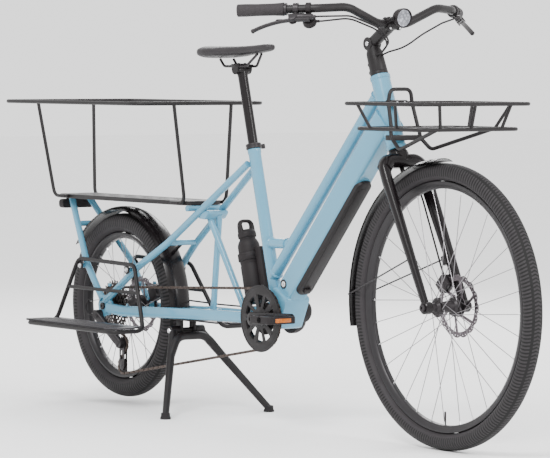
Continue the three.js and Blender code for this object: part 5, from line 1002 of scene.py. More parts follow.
@dataclass
class Wheel(Assembly):
    """A laced wheel with its tyre, rim, hub, disc and through axle."""

    end: str
    centre: Vector
    radius: float
    width: float
    rim: float
    rim_depth: float
    rim_width: float
    flange: float
    spread: float
    hub: float
    hub_half: float
    drive_end: float
    disc_side: float
    axle_half: float
    tyre_dress: Dress
    disc_dress: Dress
    holder: str
    lace: float = 0.15 * 2 * pi
    disc: float = 80.0

    def lathe(self, part: str, profile: Profile, steps: int = 96, bored: bool = True) -> Piece:
        """Spins a profile of radius and side distance round the axle."""
        return turned(f"{self.end}_{part}", profile, self.centre, LEFT, steps, bored)

    def tyre(self) -> Piece:
        """The casing, round in section and seated on the rim."""
        middle = (self.radius + self.rim) / 2
        high, wide = (self.radius - self.rim) / 2, self.width / 2
        turns = [2 * pi * i / 40 for i in range(40)]
        seat = self.rim + 0.3
        profile = [(max(seat, middle + high * cos(a)), wide * sin(a)) for a in turns]
        return self.lathe("tyre_casing", profile, 160)

    def rim_ring(self) -> Piece:
        """The box-section rim with its hooked edges."""
        out, w, low = self.rim, self.rim_width / 2, self.rim - self.rim_depth
        profile = [
            (low, -0.36 * w), (low + 1.6, -0.56 * w), (out - 6, -w), (out - 1, -w), (out, -w + 0.8), (out, 1.8 - w),
            (out - 5, 3 - w), (out - 7, 0), (out - 5, w - 3), (out, w - 1.8), (out, w - 0.8), (out - 1, w),
            (out - 6, w), (low + 1.6, 0.56 * w), (low, 0.36 * w),
        ]
        return self.lathe("rim", profile, 128)

    def hub_shell(self) -> Piece:
        """The hub with its two spoke flanges."""
        f, h, r, w = self.spread, self.hub, self.flange, 1.8
        disc_end = self.disc_side + 3.2
        profile = [
            (6.4, -self.drive_end), (10.4, -self.drive_end), (11, 0.6 - self.drive_end), (11, -f - 9), (r - 9, -f - w),
            (r - 0.8, -f - w), (r, -f - w + 0.8), (r, w - f - 0.8), (r - 0.8, w - f), (h + 6, w - f),
            (h + 1, w - f + 5), (h, w - f + 10), (h, f - w - 10), (h + 1, f - w - 5), (h + 6, f - w), (r - 0.8, f - w),
            (r, f - w + 0.8), (r, f + w - 0.8), (r - 0.8, f + w), (17, f + w + 2), (17, disc_end), (11, disc_end),
            (11, self.hub_half), (6.4, self.hub_half),
        ]
        return self.lathe("hub_shell", profile, 48)

    def spokes(self) -> tuple[Piece, Piece]:
        """Four spokes and their nipples, copied round the wheel."""
        wires, nipples = [], []
        low = self.rim - self.rim_depth
        for i in range(4):
            side, leading = (1 if i % 2 else -1), (1 if i // 2 else -1)
            at_rim = i * pi / 16
            x, z = polar(self.flange - 3.2, at_rim + leading * self.lace)
            far_x, far_z = polar(low + 2, at_rim)
            head = self.centre + mm(x, side * self.spread - leading * 2.6, z)
            bend = self.centre + mm(x, side * self.spread + leading * 3.2, z)
            tip = self.centre + mm(far_x, side * 1.5, far_z)
            wires += spun(tube("wire", [head, bend, tip], 1.0, 2.0, sides=6), self.centre, 8)
            run = (bend - tip).normalized()
            nipples += spun(pin("nipple", tip - run * 1, tip + run * 11, 2.0, 0.5, 8), self.centre, 8)
        valve = pin("valve", self.centre - mm(0, 0, low + 2), self.centre - mm(0, 0, low - 34), 2.6, 1.2, 12)
        valve.name = f"{self.end}_valve"
        self.wear(valve, Dress.BLACK_METAL, f"{self.end}_wheel")
        return Bench.joined(f"{self.end}_spokes", wires), Bench.joined(f"{self.end}_nipples", nipples)

    def brake_disc(self) -> Piece:
        """The wavy disc, its arms and the small holes in its ring."""
        turns = [pi * i / 120 for i in range(240)]
        outline = [polar(self.disc - 4.2 * (0.5 - 0.5 * cos(15 * a)) ** 2, a) for a in turns]
        holes = [circle(17.6, 32)]
        inner, outer = 27.0, 65.0
        for i in range(6):
            turn, after, swept_by = i * pi / 3, (i + 1) * pi / 3, 0.44
            gap_in, gap_out = 4.2 / inner, 4.2 / outer
            holes.append([
                *arc(inner, turn + gap_in, after - gap_in, 4),
                *arc(outer, after - gap_out + swept_by, turn + gap_out + swept_by, 8),
            ])
        for i in range(45):
            reach, size = ((74.4, 2.0), (69.6, 1.6), (74.4, 2.0))[i % 3]
            holes.append(hole(*polar(reach, 2 * pi * (i + 0.5) / 45), size, 8))
        middle = self.centre + mm(0, self.disc_side, 0)
        return plate(f"{self.end}_disc", outline, holes, middle, AHEAD, UP, 1.8, 0.2)

    def build(self) -> None:
        """Makes and dresses the wheel."""
        side, half = self.disc_side, self.axle_half
        wheel, rotor = f"{self.end}_wheel", f"{self.end}_rotor"
        self.wear(self.tyre(), self.tyre_dress, f"{self.end}_tyre")
        self.wear(self.rim_ring(), Dress.RIM_METAL, wheel)
        self.wear(self.hub_shell(), Dress.BLACK_METAL, wheel)
        wires, nipples = self.spokes()
        self.wear(wires, Dress.SPOKE_STEEL, wheel)
        self.wear(nipples, Dress.BRIGHT_STEEL, wheel)
        self.wear(self.brake_disc(), self.disc_dress, rotor)
        carrier = [(17.1, side - 2.4), (26.5, side - 1.0), (26.5, side - 0.95), (17.1, side - 0.95)]
        ring = [(12.4, side + 0.95), (20.6, side + 0.95), (21, side + 1.6), (19, side + 4.6), (12.4, side + 4.8)]
        self.wear(self.lathe("disc_carrier", carrier, 48), Dress.BLACK_METAL, rotor)
        self.wear(self.lathe("lock_ring", ring, 24), Dress.BLACK_METAL, rotor)
        shaft = [
            (3.2, 3 - half - 5), (3.4, -half - 5), (9, -half - 5), (10, -half - 4.2), (10, -half), (6, -half),
            (6, half), (10, half), (10, half + 4.2), (9, half + 5), (3.4, half + 5), (3.2, half + 2),
        ]
        self.wear(self.lathe("through_axle", shaft, 36, False), Dress.BLACK_METAL, f"{self.end}_axle", body=self.holder)


@dataclass
class Caliper(Assembly):
    """A brake caliper over the edge of a disc, with the hose that feeds it."""

    end: str
    centre: Vector
    angle: float
    disc_side: float
    hose: Course

    def build(self) -> None:
        """Makes and dresses the caliper and its hose."""
        out = mm(cos(self.angle), 0, sin(self.angle))
        round_it = mm(-out.z, 0, out.x)
        side = self.disc_side
        halves = []
        for part, reach, low, high, wide, tall, edge in (
            ("outer_half", 77, 1.6, 13.2, 37, 41, 1.6), ("inner_half", 77, -10.8, -1.6, 37, 41, 1.4),
            ("bridge", 89, -10.4, 12.4, 13, 38, 1.2), ("piston_cap", 74, 13, 14.8, 20, 20, 0.8),
        ):
            middle = self.centre + out * reach + mm(0, side + (low + high) / 2, 0)
            halves.append(plate(part, soft_box(wide, tall, 8), [], middle, out, round_it, high - low, edge))
        self.join(f"{self.end}_caliper_body", halves, Dress.BLACK_METAL, f"{self.end}_caliper")
        feet = [self.centre + out * 90 + round_it * along + mm(0, side + 12.6, 0) for along in (-15, 15)]
        bolts = studs("bolt", feet, mm(0, 2.2, 0), 3.4, 0.5, 18)
        self.join(f"{self.end}_caliper_bolts", bolts, Dress.BRIGHT_STEEL, f"{self.end}_caliper")
        self.wear(hose(f"{self.end}_brake_hose", self.hose), Dress.RUBBER, f"{self.end}_caliper")


def hose(name: str, points: Course, radius: float = 2.4, bend: float = 60.0) -> Piece:
    """A free hose that goes back into the bike at its far end."""
    course = rounded(points, bend, 7)
    made = swept(name, course, circle(radius, 12))
    long = sum((b - a).length for a, b in zip(course, course[1:])) / 1000
    path = [tuple(metres(p)) for p in course]
    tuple(path[0])
    radius * 2 / 1000
    return made


@dataclass
class MainFrame(Assembly):
    """The painted front triangle, the motor's shell and the battery in its tube."""

    tube: float = 17.0
    head: float = 25.0
    down_width: float = 60.0
    down_depth: float = 70.0
    shell_half: float = 40.0

    def weld(self, foot: Vector, run: Vector, radius: float) -> Piece:
        """A low weld bead where a tube of a given radius meets another."""
        profile = [(radius - 1, 0), (radius + 2.4, 0), (radius + 2.6, 2), (radius + 0.6, 6), (radius - 1, 7)]
        return turned("weld", profile, foot, run, 40, True)

    def front(self) -> list[Piece]:
        """Head tube, top tube, seat tube and the bridge between them."""
        low, high = LINES.head_foot, LINES.head_top
        r = self.head
        tall = high - low
        head = turned("head_tube", [
            (15, 0), (r, 0), (r + 1.6, 1.2), (r + 1.6, 10), (r, 12), (r, tall - 12), (r + 1.6, tall - 10),
            (r + 1.6, tall - 1.2), (r, tall), (15, tall),
        ], LINES.steer(low), LINES.along, 64, True)
        top_foot, top_head = LINES.seat(110), LINES.steer(high - 33)
        seat = turned("seat_tube", [
            (14.1, 0), (self.tube, 0), (self.tube, 452), (self.tube + 1.5, 455), (self.tube + 1.5, 464.5),
            (self.tube + 0.8, 465.6), (14.1, 465.6),
        ], LINES.seat(0), LINES.seat_up, 48, True)
        run = (top_head - top_foot).normalized()
        bridge_back = LINES.seat(207)
        rise = (bridge_back.z - top_foot.z) / run.z
        bridge_front = mm((top_foot + run * rise).x, 0, bridge_back.z)
        return [
            head, seat, tube("top_tube", [top_foot, top_head], self.tube, sides=48),
            tube("bridge", [bridge_back, bridge_front], 14, sides=40),
            self.weld(top_foot + run * 17.5, run, self.tube), self.weld(top_head - run * 27, -run, self.tube),
            self.weld(bridge_back + mm(15, 0, 0), AHEAD, 14),
            self.weld(bridge_front - mm(22, 0, 0), mm(-1, 0, 0), 14),
        ]

    def down_tube(self) -> Piece:
        """The wide down tube with the battery's slot cut in it."""
        outline = soft_box(self.down_width, self.down_depth, 14, 8)
        run = (LINES.steer(LINES.down_join) - LINES.bracket).length
        made = swept("down_tube", [LINES.down(0), LINES.down(run)], outline)
        slot = self.pack("slot", 0.3, 0)
        Bench.pick(made)
        carve = made.modifiers.new("slot", "BOOLEAN")
        carve.object, carve.operation = slot, "DIFFERENCE"
        bpy.ops.object.modifier_apply(modifier=carve.name)
        bpy.data.objects.remove(slot)
        return Bench.bevelled(made, 1.2, 2, 50)

    def pack(self, name: str, room: float, edge: float) -> Piece:
        """The battery's round-ended form, or its slot when room is left round it."""
        outline = soft_box(415 + 2 * room, 50 + 2 * room, 21 + room, 8)
        middle = LINES.down(335.5, -21)
        return plate(name, outline, [], middle, LINES.down_run, LEFT, 46 + 2 * room, edge)

    def shell(self) -> Piece:
        """The motor's painted shell under the bracket."""
        x, z = LINES.bracket.x, LINES.bracket.z
        nose, shelf = LINES.down(110, -35), LINES.down(92, 33)
        corners = [
            (x - 98, z - 7), (x - 98, z - 26), (x + 60, z - 26), (nose.x, nose.z), (shelf.x, shelf.z), (x + 12, z + 46),
            (x - 74, z + 24), (x - 98, z + 12), (x - 98, z - 7),
        ]
        return upright("motor_shell", softened(corners, 14, 6), [hole(x, z, 21.4, 40)], 0, 80, 7)

    def battery(self) -> None:
        """The black battery, its latch and the key lock beside it."""
        plane = (LINES.down_run, LEFT)
        made = self.pack("battery_shell", 0, 7)
        panel = plate("panel", soft_box(370, 30, 13), [], LINES.down(338, -44.2), *plane, 1.6, 0.6)
        latch = plate("latch", soft_box(16, 22, 5), [], LINES.down(150, -47), *plane, 9, 2.4)
        self.join("battery_shell", [made, panel, latch], Dress.SHELL, "battery", body="battery_pack")
        centre, y = LINES.down(118, 11.67), -self.down_width / 2
        face = mm(centre.x, y + 9.7, centre.z)
        rim = turned("lock_rim", [
            (8.2, 0), (9, 0), (9, 9.9), (12.4, 9.9), (12.8, 10.4), (12.2, 11.4), (9, 11.8), (8.3, 11),
        ], face, RIGHT, 40, True)
        core = pin("lock_core", face, mm(centre.x, y - 1.5, centre.z), 8.1, 0.6, 32)
        # Painted shade: the key slot is a black block laid on the lock core's face, standing for the dark of an uncut
        # slot.
        low, high = mm(centre.x - 1, y - 1.8, centre.z - 3.6), mm(centre.x + 1, y, centre.z + 3.6)
        keyway_shade = brick("lock_keyway", low, high, 0.3)
        for made, dress in ((rim, Dress.BLACK_METAL), (core, Dress.BRIGHT_STEEL), (keyway_shade, Dress.BLACK_METAL)):
            self.wear(made, dress, "battery_lock", body="key_lock")

    def motor(self) -> None:
        """The motor's covers on both sides of its shell."""
        x, z, half = LINES.bracket.x, LINES.bracket.z, self.shell_half + 0.3
        centre = mm(x, 0, z)
        right = [
            (10.2, -half - 3.4), (42.6, -half - 3.4), (44, -half - 2.4), (44, -half), (20, -half), (20, 0), (10.2, 0),
        ]
        left = [
            (10.2, 0), (20, 0), (20, half), (43, half), (44, half + 1), (44, half + 16), (42, half + 22),
            (39, half + 28), (35, half + 30), (14, half + 30), (10.2, half + 28),
        ]
        cover = turned("motor_cover_right", right, centre, LEFT, 64, True)
        big = turned("motor_cover_left", left, centre, LEFT, 72, True)
        nose = turned("motor_nose", [
            (31, half), (32, half + 1), (32, half + 17), (30, half + 23), (25, half + 28.6), (18, half + 30),
        ], mm(x + 38, 0, z + 18), LEFT, 64)
        feet = [mm(sx, -half - 3, sz) for sx, sz in shifted([polar(38, 0.5 + i * pi / 3) for i in range(6)], x, z)]
        screws = studs("screw", feet, mm(0, -1.6, 0), 2.6, 0.4, 16)
        self.join("motor_covers", [cover, big, nose], Dress.PLASTIC, "motor")
        self.join("motor_screws", screws, Dress.BLACK_METAL, "motor")

    def build(self) -> None:
        """Makes and dresses the main frame."""
        self.join("main_frame", [*self.front(), self.down_tube(), self.shell()], Dress.BLUE, "frame_main")
        self.battery()
        self.motor()


STAY_RUN = [mm(655, 29, 284), mm(560, 36, 282), mm(398, 48, 279), mm(87, 68, 268), mm(22, 76, 274)]


@dataclass
class RearFrame(Assembly):
    """The long painted rear frame, its struts and bridges."""

    bend: float = 60.0
    drop_inside: float = 71.3

    def side(self) -> list[Piece]:
        """Stays, leg, dropout and bosses of the left side."""
        stay = swept("chainstay", rounded(STAY_RUN, self.bend), soft_box(20, 30, 7, 5))
        seat_run = [mm(628, 17, 698), mm(287, 49, 470), mm(165, 76, 392), mm(12, 76, 294)]
        leg_run = [mm(-245, 30, 577), mm(-93, 76, 400), mm(-8, 76, 296)]
        z = LINES.rear_height
        corners = [
            (42, z + 13), (15, z + 32), (-17, z + 30), (-28, z + 4), (-22, z - 20), (-20, z - 34), (-8, z - 44),
            (1, z - 30), (25, z - 25), (42, z - 17), (42, z + 13),
        ]
        holes = [hole(0, z, 6.4, 24), hole(24, z - 2, 5, 18)]
        dropout = upright("dropout", softened(corners, 9), holes, self.drop_inside + 4, 8, 1.2)
        bosses = [
            *[cross_pin("boss", x, LINES.rest_height, 76, 92.7, 7) for x in LINES.rest_bolts],
            cross_pin("eye", 30, z + 62, 73, 80, 5), cross_pin("eye", 120, 287, 74, 77.5, 4),
        ]
        return [
            stay, tube("seat_stay", seat_run, 10, self.bend, sides=32),
            tube("deck_leg", leg_run, 9.5, self.bend, sides=32), dropout, *bosses,
        ]

    def build(self) -> None:
        """Makes and dresses the rear frame."""
        self.pair("rear_frame_side", self.side(), Dress.BLUE, "rear_frame")
        spans = [cross_pin("bridge", 287, 470, -49, 49, 8, 32), cross_pin("bridge", -183, 505, -49, 49, 8, 32)]
        self.join("rear_bridges", spans, Dress.BLUE, "rear_frame_right")
        corners = [(430, 566), (398, 566), (399, 555), (420, 541), (448, 541), (462, 556), (462, 566), (430, 566)]
        gusset = upright("gusset", softened(corners, 9), [], 0, 71, 5)
        cross = cross_pin("cross_tube", 393, 569.7, -58, 58, 8, 32)
        up = tube("upright_strut", [mm(424, 11, 292), mm(452, 11, 553)], 9, sides=28)
        slant = tube("diagonal_strut", [mm(612, -11, 294), mm(432, -11, 553)], 9, sides=28)
        foot = brick("strut_foot", mm(415, -40, 277.5), mm(433, 40, 292), 2)
        shoe = brick("strut_shoe", mm(603, -28, 284), mm(645, 28, 298), 3)
        self.join("struts", [gusset, cross, up, slant, foot, shoe], Dress.BLUE, "rear_struts")


@dataclass
class Drive(Assembly):
    """Chain, ring, cranks, pedals, cassette and derailleur."""

    line: float = 48.0
    pitch: float = 12.7
    teeth: tuple[int, ...] = (34, 30, 26, 22, 18, 14, 11)
    guide: Vector = field(default_factory=lambda: mm(57, 0, 173))
    tension: Vector = field(default_factory=lambda: mm(57, 0, 110))
    lift: float = radians(4)
    crank: float = 172.0
    ring_teeth: int = 40
    running_teeth: int = 26
    pulley_teeth: int = 11
    sprocket_gap: float = 4.2

    def reach(self, teeth: int) -> float:
        """Pitch radius of a sprocket."""
        return self.pitch / (2 * sin(pi / teeth))

    def course(self) -> list[Vector]:
        """The line that the chain follows round the ring, the sprocket and both pulleys."""
        small = self.reach(self.pulley_teeth)
        wheels = [
            (LINES.bracket, self.reach(self.ring_teeth), 1),
            (LINES.rear_axle, self.reach(self.running_teeth), 1),
            (self.guide, small, -1),
            (self.tension, small, 1),
        ]
        straights = []
        for i, (a, ra, ta) in enumerate(wheels):
            b, rb, tb = wheels[(i + 1) % 4]
            away = b - a
            way = atan2(away.z, away.x) - asin((tb * rb - ta * ra) / away.length) - pi / 2
            normal = mm(cos(way), 0, sin(way))
            straights.append((a + normal * (ta * ra), b + normal * (tb * rb)))
        points = []
        for i, (start, end) in enumerate(straights):
            centre, r, turn = wheels[(i + 1) % 4]
            leave = straights[(i + 1) % 4][0]
            a0 = atan2(end.z - centre.z, end.x - centre.x)
            a1 = atan2(leave.z - centre.z, leave.x - centre.x)
            sweep = ((a1 - a0) * turn) % (2 * pi)
            steps = max(4, round(sweep * r))
            points.append(start)
            points += [around(centre, r, a0 + turn * sweep * k / steps) for k in range(steps + 1)]
        return [*points, points[0]]

    def places(self) -> list[Vector]:
        """The chain's pins, one pitch apart along its course."""
        course = self.course()
        lengths = [0.0]
        for a, b in zip(course, course[1:]):
            lengths.append(lengths[-1] + (b - a).length)
        count = 2 * round(lengths[-1] / self.pitch / 2)
        out, k = [], 0
        for i in range(count):
            want = lengths[-1] * i / count
            while lengths[k + 1] < want:
                k += 1
            span = max(lengths[k + 1] - lengths[k], 1e-9)
            out.append(course[k].lerp(course[k + 1], (want - lengths[k]) / span))
        return out

    def chain(self) -> Piece:
        """Inner and outer links with their rollers, each copied to its place."""
        half = self.pitch / 2

        def bone(side: float) -> Piece:
            """One waisted side plate of a link, about the origin."""
            front = shifted(arc(3.8, -2.1, 2.1, 7), half, 0)
            back = shifted(arc(3.8, pi - 2.1, pi + 2.1, 7), -half, 0)
            return plate("bone", front + back, [], mm(0, side, 0) - TO_ORIGIN, AHEAD, UP, 0.9, 0.15)

        def roller(x: float, wide: float, radius: float) -> Piece:
            """A roller or pin across the link."""
            shift = mm(x, 0, 0) - TO_ORIGIN
            return pin("roller", shift - mm(0, wide, 0), shift + mm(0, wide, 0), radius, 0.2, 12)

        outer, inner = [
            Bench.joined("link", [bone(side), bone(-side), roller(-half, wide, radius), roller(half, wide, radius)])
            for side, wide, radius in ((2.35, 2.9, 1.7), (1.4, 1.2, 3.2))
        ]
        pins = self.places()
        links = []
        for i, place in enumerate(pins):
            after = pins[(i + 1) % len(pins)]
            middle, run = (place + after) / 2, (after - place)
            turn = Matrix.Rotation(-atan2(run.z, run.x), 4, "Y")
            shift = Matrix.Translation(metres(mm(middle.x, -self.line, middle.z)))
            links.append(copied(inner if i % 2 else outer, shift @ turn))
        bpy.data.objects.remove(outer)
        bpy.data.objects.remove(inner)
        return Bench.joined("chain_links", links)

    def ring(self) -> None:
        """The toothed ring, the spoked guard outside it and the bolts between them."""
        x, z = LINES.bracket.x, LINES.bracket.z
        centre = mm(x, -self.line, z)
        sides = (AHEAD, UP)
        r = self.reach(self.ring_teeth)
        outline = toothed(self.ring_teeth, r - 4.2, r + 1.0)
        made = plate("chainring_teeth", outline, [circle(61, 64)], centre, *sides, 1.8, 0.2)
        self.wear(made, Dress.BLACK_METAL, "chainring", body="crankset")
        windows = []
        for i in range(10):
            middle = (i // 2) * 0.4 * pi + (0.29 if i % 2 else -0.29)
            windows.append([*arc(31, middle - 0.13, middle + 0.13, 3), *arc(65, middle + 0.19, middle - 0.19, 8)])
        face = mm(0, -8.6, 0)
        guard = plate("guard", circle(90, 128), [*windows, circle(10.3, 32)], centre + face, *sides, 2.2, 0.5)
        rings = [([(85, 7.4), (90, 7.4), (90, 9.8), (88.6, 10.4), (86.2, 10.4), (85, 9.6)], 128),
                 ([(10.4, 4), (24, 7.6), (24, 10.2), (22, 10.8), (10.4, 10.8)], 48),
                 ([(62.6, 0.7), (68, 0.7), (68, 7.8), (62.6, 7.8)], 96)]
        rings = [turned("ring", profile, centre, RIGHT, steps, True) for profile, steps in rings]
        self.join("chain_guard", [guard, *rings], Dress.BLACK_COAT, "chainring", body="crankset")
        foot = around(centre, 64, pi / 5)
        bolts = spun(pin("bolt", foot - mm(0, 9.4, 0), foot - mm(0, 10.6, 0), 3.6, 0.4, 18), centre, 5)
        self.join("guard_bolts", bolts, Dress.BLACK_METAL, "chainring", body="crankset")

    def arm(self, side: int, angle: float) -> None:
        """One crank arm, waisted and round-edged, with its bolt."""
        x, z = LINES.bracket.x, LINES.bracket.z
        tip = around(mm(x, 0, z), self.crank, angle)
        outline = [polar(19, angle + pi / 2 + pi * i / 12) for i in range(13)]
        far = [polar(13, angle - pi / 2 + pi * i / 10) for i in range(11)]
        outline = [*shifted(outline, x, z), *shifted(far, tip.x, tip.z)]
        name = "right" if side < 0 else "left"
        body = upright(f"arm_{name}", outline, [], side * 81, 14, 3)
        profile = [(12, 0), (12, 1), (10, 1.8), (5, 1.8), (4.6, 0.4)]
        cap = turned("cap", profile, mm(x, side * 88, z), mm(0, side, 0), 32)
        axle = cross_pin("pedal_axle", tip.x, tip.z, *sorted((side * 88, side * 178)), 5)
        pieces = [body, cap, axle]
        if side > 0:
            pieces.append(cross_pin("spindle", x, z, -84, 76, 9.5, 32))
        self.join(f"crank_arm_{name}", pieces, Dress.BLACK_GLOSS, f"crank_{name}", body="crankset")

    def pedal(self, side: int, angle: float) -> None:
        """One platform pedal, with its frame, barrel and reflectors."""
        at = around(LINES.bracket, self.crank, angle, side * 138)
        name = "right" if side < 0 else "left"
        body = "pedal_r" if side < 0 else "pedal_l"
        pockets = [[(a * 0.36 + x, b * 0.74) for a, b in soft_box(96, 88, 16, 4)] for x in (25, -25)]
        cage = plate("cage", soft_box(96, 88, 12, 5), pockets, at, AHEAD, LEFT, 19, 2)
        barrel = pin("barrel", at - mm(0, side * 46, 0), at + mm(0, side * 44, 0), 10, 1.5, 32)
        feet = [at + mm(x, y, 8.8) for x in (-44, -14, 14, 44) for y in (-34, -11, 11, 34)]
        pins = studs("grip_stud", feet, mm(0, 0, 1.8), 1.6, 0.4, 8)
        self.join(f"pedal_body_{name}", [cage, barrel, *pins], Dress.PLASTIC, f"pedal_{name}", body=body)
        marks = [brick("mark", at + mm(way * 46.6, -25, -5.5), at + mm(way * 48.6, 25, 5.5), 1.2) for way in (-1, 1)]
        self.join(f"pedal_reflectors_{name}", marks, Dress.AMBER, f"pedal_{name}", body=body)

    def cassette(self) -> None:
        """Seven sprockets on their carrier."""
        centre = LINES.rear_axle
        sides = (AHEAD, UP)
        outside = 2 * self.sprocket_gap - self.line + 0.8
        stack = []
        for i, teeth in enumerate(self.teeth):
            r = self.reach(teeth)
            tip = r + (0.8 if teeth == self.running_teeth else 3.4)
            holes = [circle(17, 24)]
            if r > 36:
                for k in range(6):
                    a = 2 * pi * k / 6 + i * 0.2
                    holes.append([*arc(21, a - 0.36, a + 0.36, 3), *arc(r - 9, a + 0.4, a - 0.4, 5)])
            middle = centre + mm(0, outside - i * self.sprocket_gap - 0.8, 0)
            stack.append(plate("sprocket", toothed(teeth, r - 4, tip), holes, middle, *sides, 1.6, 0.25))
        profile = [(6.4, -29.4), (14, -29.4), (15, -28.6), (18, -27), (18, 0), (6.4, 0)]
        core = turned("core", [(reach, outside + y) for reach, y in profile], centre, LEFT, 36, True)
        self.join("cassette_stack", [*stack, core], Dress.SPROCKET, "cassette", body="sprockets")

    def pulley(self, name: str, at: Vector, body: str) -> None:
        """One small toothed pulley with its bearing."""
        r = self.reach(self.pulley_teeth)
        centre = at - mm(0, self.line, 0)
        holes = [circle(2.9, 16), *[hole(*polar(11.5, k * pi / 3), 2.6, 10) for k in range(6)]]
        made = plate(name, toothed(self.pulley_teeth, r - 4.6, r - 1.0), holes, centre, AHEAD, UP, 2.4, 0.3)
        self.wear(made, Dress.PLASTIC, name, body=body)

    def derailleur(self) -> None:
        """The derailleur's cage, link, knuckles and cable loop."""
        guide, tension = self.guide, self.tension
        outer = -self.line - 5.2
        run = atan2(tension.z - guide.z, tension.x - guide.x)
        shape = shifted(arc(14, run + pi / 2, run + 1.5 * pi, 12), guide.x, guide.z)
        shape += shifted(arc(12.5, run - pi / 2, run + pi / 2, 12), tension.x, tension.z)
        slot = shifted(soft_box(11, 26, 5, 4), guide.x, (guide.z + tension.z) / 2)
        plates = [upright("cage", shape, [slot], y, 1.6, 0.3) for y in (outer + 0.8, -self.line + 4.4)]
        pins = [cross_pin("pin", p.x, p.z, outer - 1, -self.line + 5.6, 2.5, 16) for p in (guide, tension)]
        upper = mm(-12, 0, 254)
        knuckles = [
            cross_pin("knuckle", guide.x, guide.z, outer - 13, outer + 0.4, 13, 36),
            cross_pin("knuckle", upper.x, upper.z, -101, -79.7, 13, 36),
        ]
        link = swept("link", [mm(-12, -94.5, 254), mm(57, outer - 6.5, 173)], soft_box(16, 26, 5, 4))
        parts = [*plates, *pins, *knuckles, Bench.bevelled(link, 1.5)]
        self.join("derailleur_body", parts, Dress.BLACK_METAL, "derailleur")
        start = mm(-18.5, -94.5, 254)
        points = [start + mm(*step, 0).xzy for step in ((0, 0), (-37.8, -4), (-54, 20), (-32.4, 40), (-16, 40))]
        self.wear(hose("derailleur_cable", points, 2.2, 16), Dress.RUBBER, "derailleur")

    def build(self) -> None:
        """Makes and dresses the drive."""
        self.wear(self.chain(), Dress.CHAIN, "chain")
        self.ring()
        for make in (self.arm, self.pedal):
            make(-1, self.lift)
            make(1, pi + self.lift)
        self.cassette()
        self.pulley("guide_pulley", self.guide, "guide_wheel")
        self.pulley("tension_pulley", self.tension, "tension_wheel")
        self.derailleur()


@dataclass
class Carrier(Assembly):
    """The rear deck, the passenger rail over it and the rear lamp."""

    back: float = -273.0
    front: float = 398.0
    half: float = 64.0
    top: float = 590.0
    rail_half: float = 214.0
    rail_height: float = 859.0
    foot_height: float = 584.0
    rail_back: float = -326.0
    rail_front: float = 386.0

    def deck(self) -> None:
        """The slotted deck with its rolled edge and cross ribs."""
        middle, length = (self.front + self.back) / 2, self.front - self.back
        outline = shifted(soft_box(length, self.half * 2, 26, 6), middle, 0)
        slot = soft_box(60, 12, 5.9, 4)
        slots = [shifted(slot, middle + (i - 3) * length / 8, row) for i in range(7) for row in (-26, 26)]
        skin = level("skin", outline, slots, self.top - 2.5, 5, 1.2)
        inner = shifted(soft_box(length - 14, self.half * 2 - 14, 20, 6), middle, 0)
        rim = level("rim", outline, [inner], self.top - 8, 8, 0.8)
        low, high = mm(-8, -58, self.top - 12), mm(8, 58, self.top - 4)
        ribs = [brick("rib", low + mm(x, 0, 0), high + mm(x, 0, 0), 1.2) for x in (-245, -60, 150, 370)]
        self.join("deck_plate", [skin, rim, *ribs], Dress.BLACK_COAT, "cargo_deck")

    def rail(self) -> None:
        """The rail's ring, its four bent posts and the clamps at their feet."""
        z, h = self.rail_height, self.rail_half
        x0, x1 = self.rail_back, self.rail_front
        ring = ring_tube("rail_ring", [mm(x0, -h, z), mm(x1, -h, z), mm(x1, h, z), mm(x0, h, z)], 5.5, 46, 16)
        parts, bolts = [ring], []
        for side in (-1, 1):
            for top, foot, way in ((x0, -277, 1), (x1, 400, -1)):
                y = side * 69.1
                bend, end = mm(foot, y, self.foot_height), mm(foot + way * 72, y, self.foot_height)
                parts.append(tube("post", [mm(top, side * 96, z), bend, end], 5, 26))
                x = foot + way * 44
                parts.append(brick("clamp", mm(x - 22, y - 5.6, 579.5), mm(x + 22, y + 4.9, 588.6), 1.6))
                feet = [mm(x + off, y + side * 4.6, self.foot_height) for off in (-13, 13)]
                bolts += studs("bolt", feet, mm(0, side * 2.2, 0), 3.2, 0.5, 16)
        self.join("rail_frame", parts, Dress.BLACK_COAT, "passenger_rail")
        self.join("rail_bolts", bolts, Dress.BLACK_METAL, "passenger_rail")

    def lamp(self) -> None:
        """The wide rear lamp with its red lens."""
        z = 560.5
        body = swept("lamp_body", [mm(-279.6, 0, z), mm(-256, 0, z)], soft_box(108, 26, 9, 6))
        body = Bench.bevelled(body, 1.6, 2, 60)
        post = brick("post", mm(-275, -32, 565), mm(-261, 32, 577.6), 1.5)
        self.join("lamp_body", [body, post], Dress.PLASTIC, "rear_lamp")
        lens = swept("lamp_lens", [mm(-279.9, 0, z), mm(-277, 0, z)], soft_box(98, 18, 7, 6))
        self.wear(lens, Dress.RED_LENS, "rear_lamp")

    def build(self) -> None:
        """Makes and dresses the carrier."""
        self.deck()
        self.rail()
        self.lamp()


def fender_skin(name: str, centre: Vector, radius: float, half: float, lip: float, start: float, end: float) -> Piece:
    """A mudguard bent round an axle, with a rolled lip along both sides."""
    steps, count = 12, 48
    shares = [2 * i / steps - 1 for i in range(steps + 1)]
    over = [(half * t, -lip * abs(t) ** 2.6) for t in shares]
    under = [((half - 2.4) * t, -2.2 - (lip - 2) * abs(t) ** 2.6) for t in shares]
    course = [around(centre, radius, radians(start + (end - start) * i / count)) for i in range(count + 1)]
    return swept(name, course, [*over, *reversed(under)], RIGHT, angle=50)


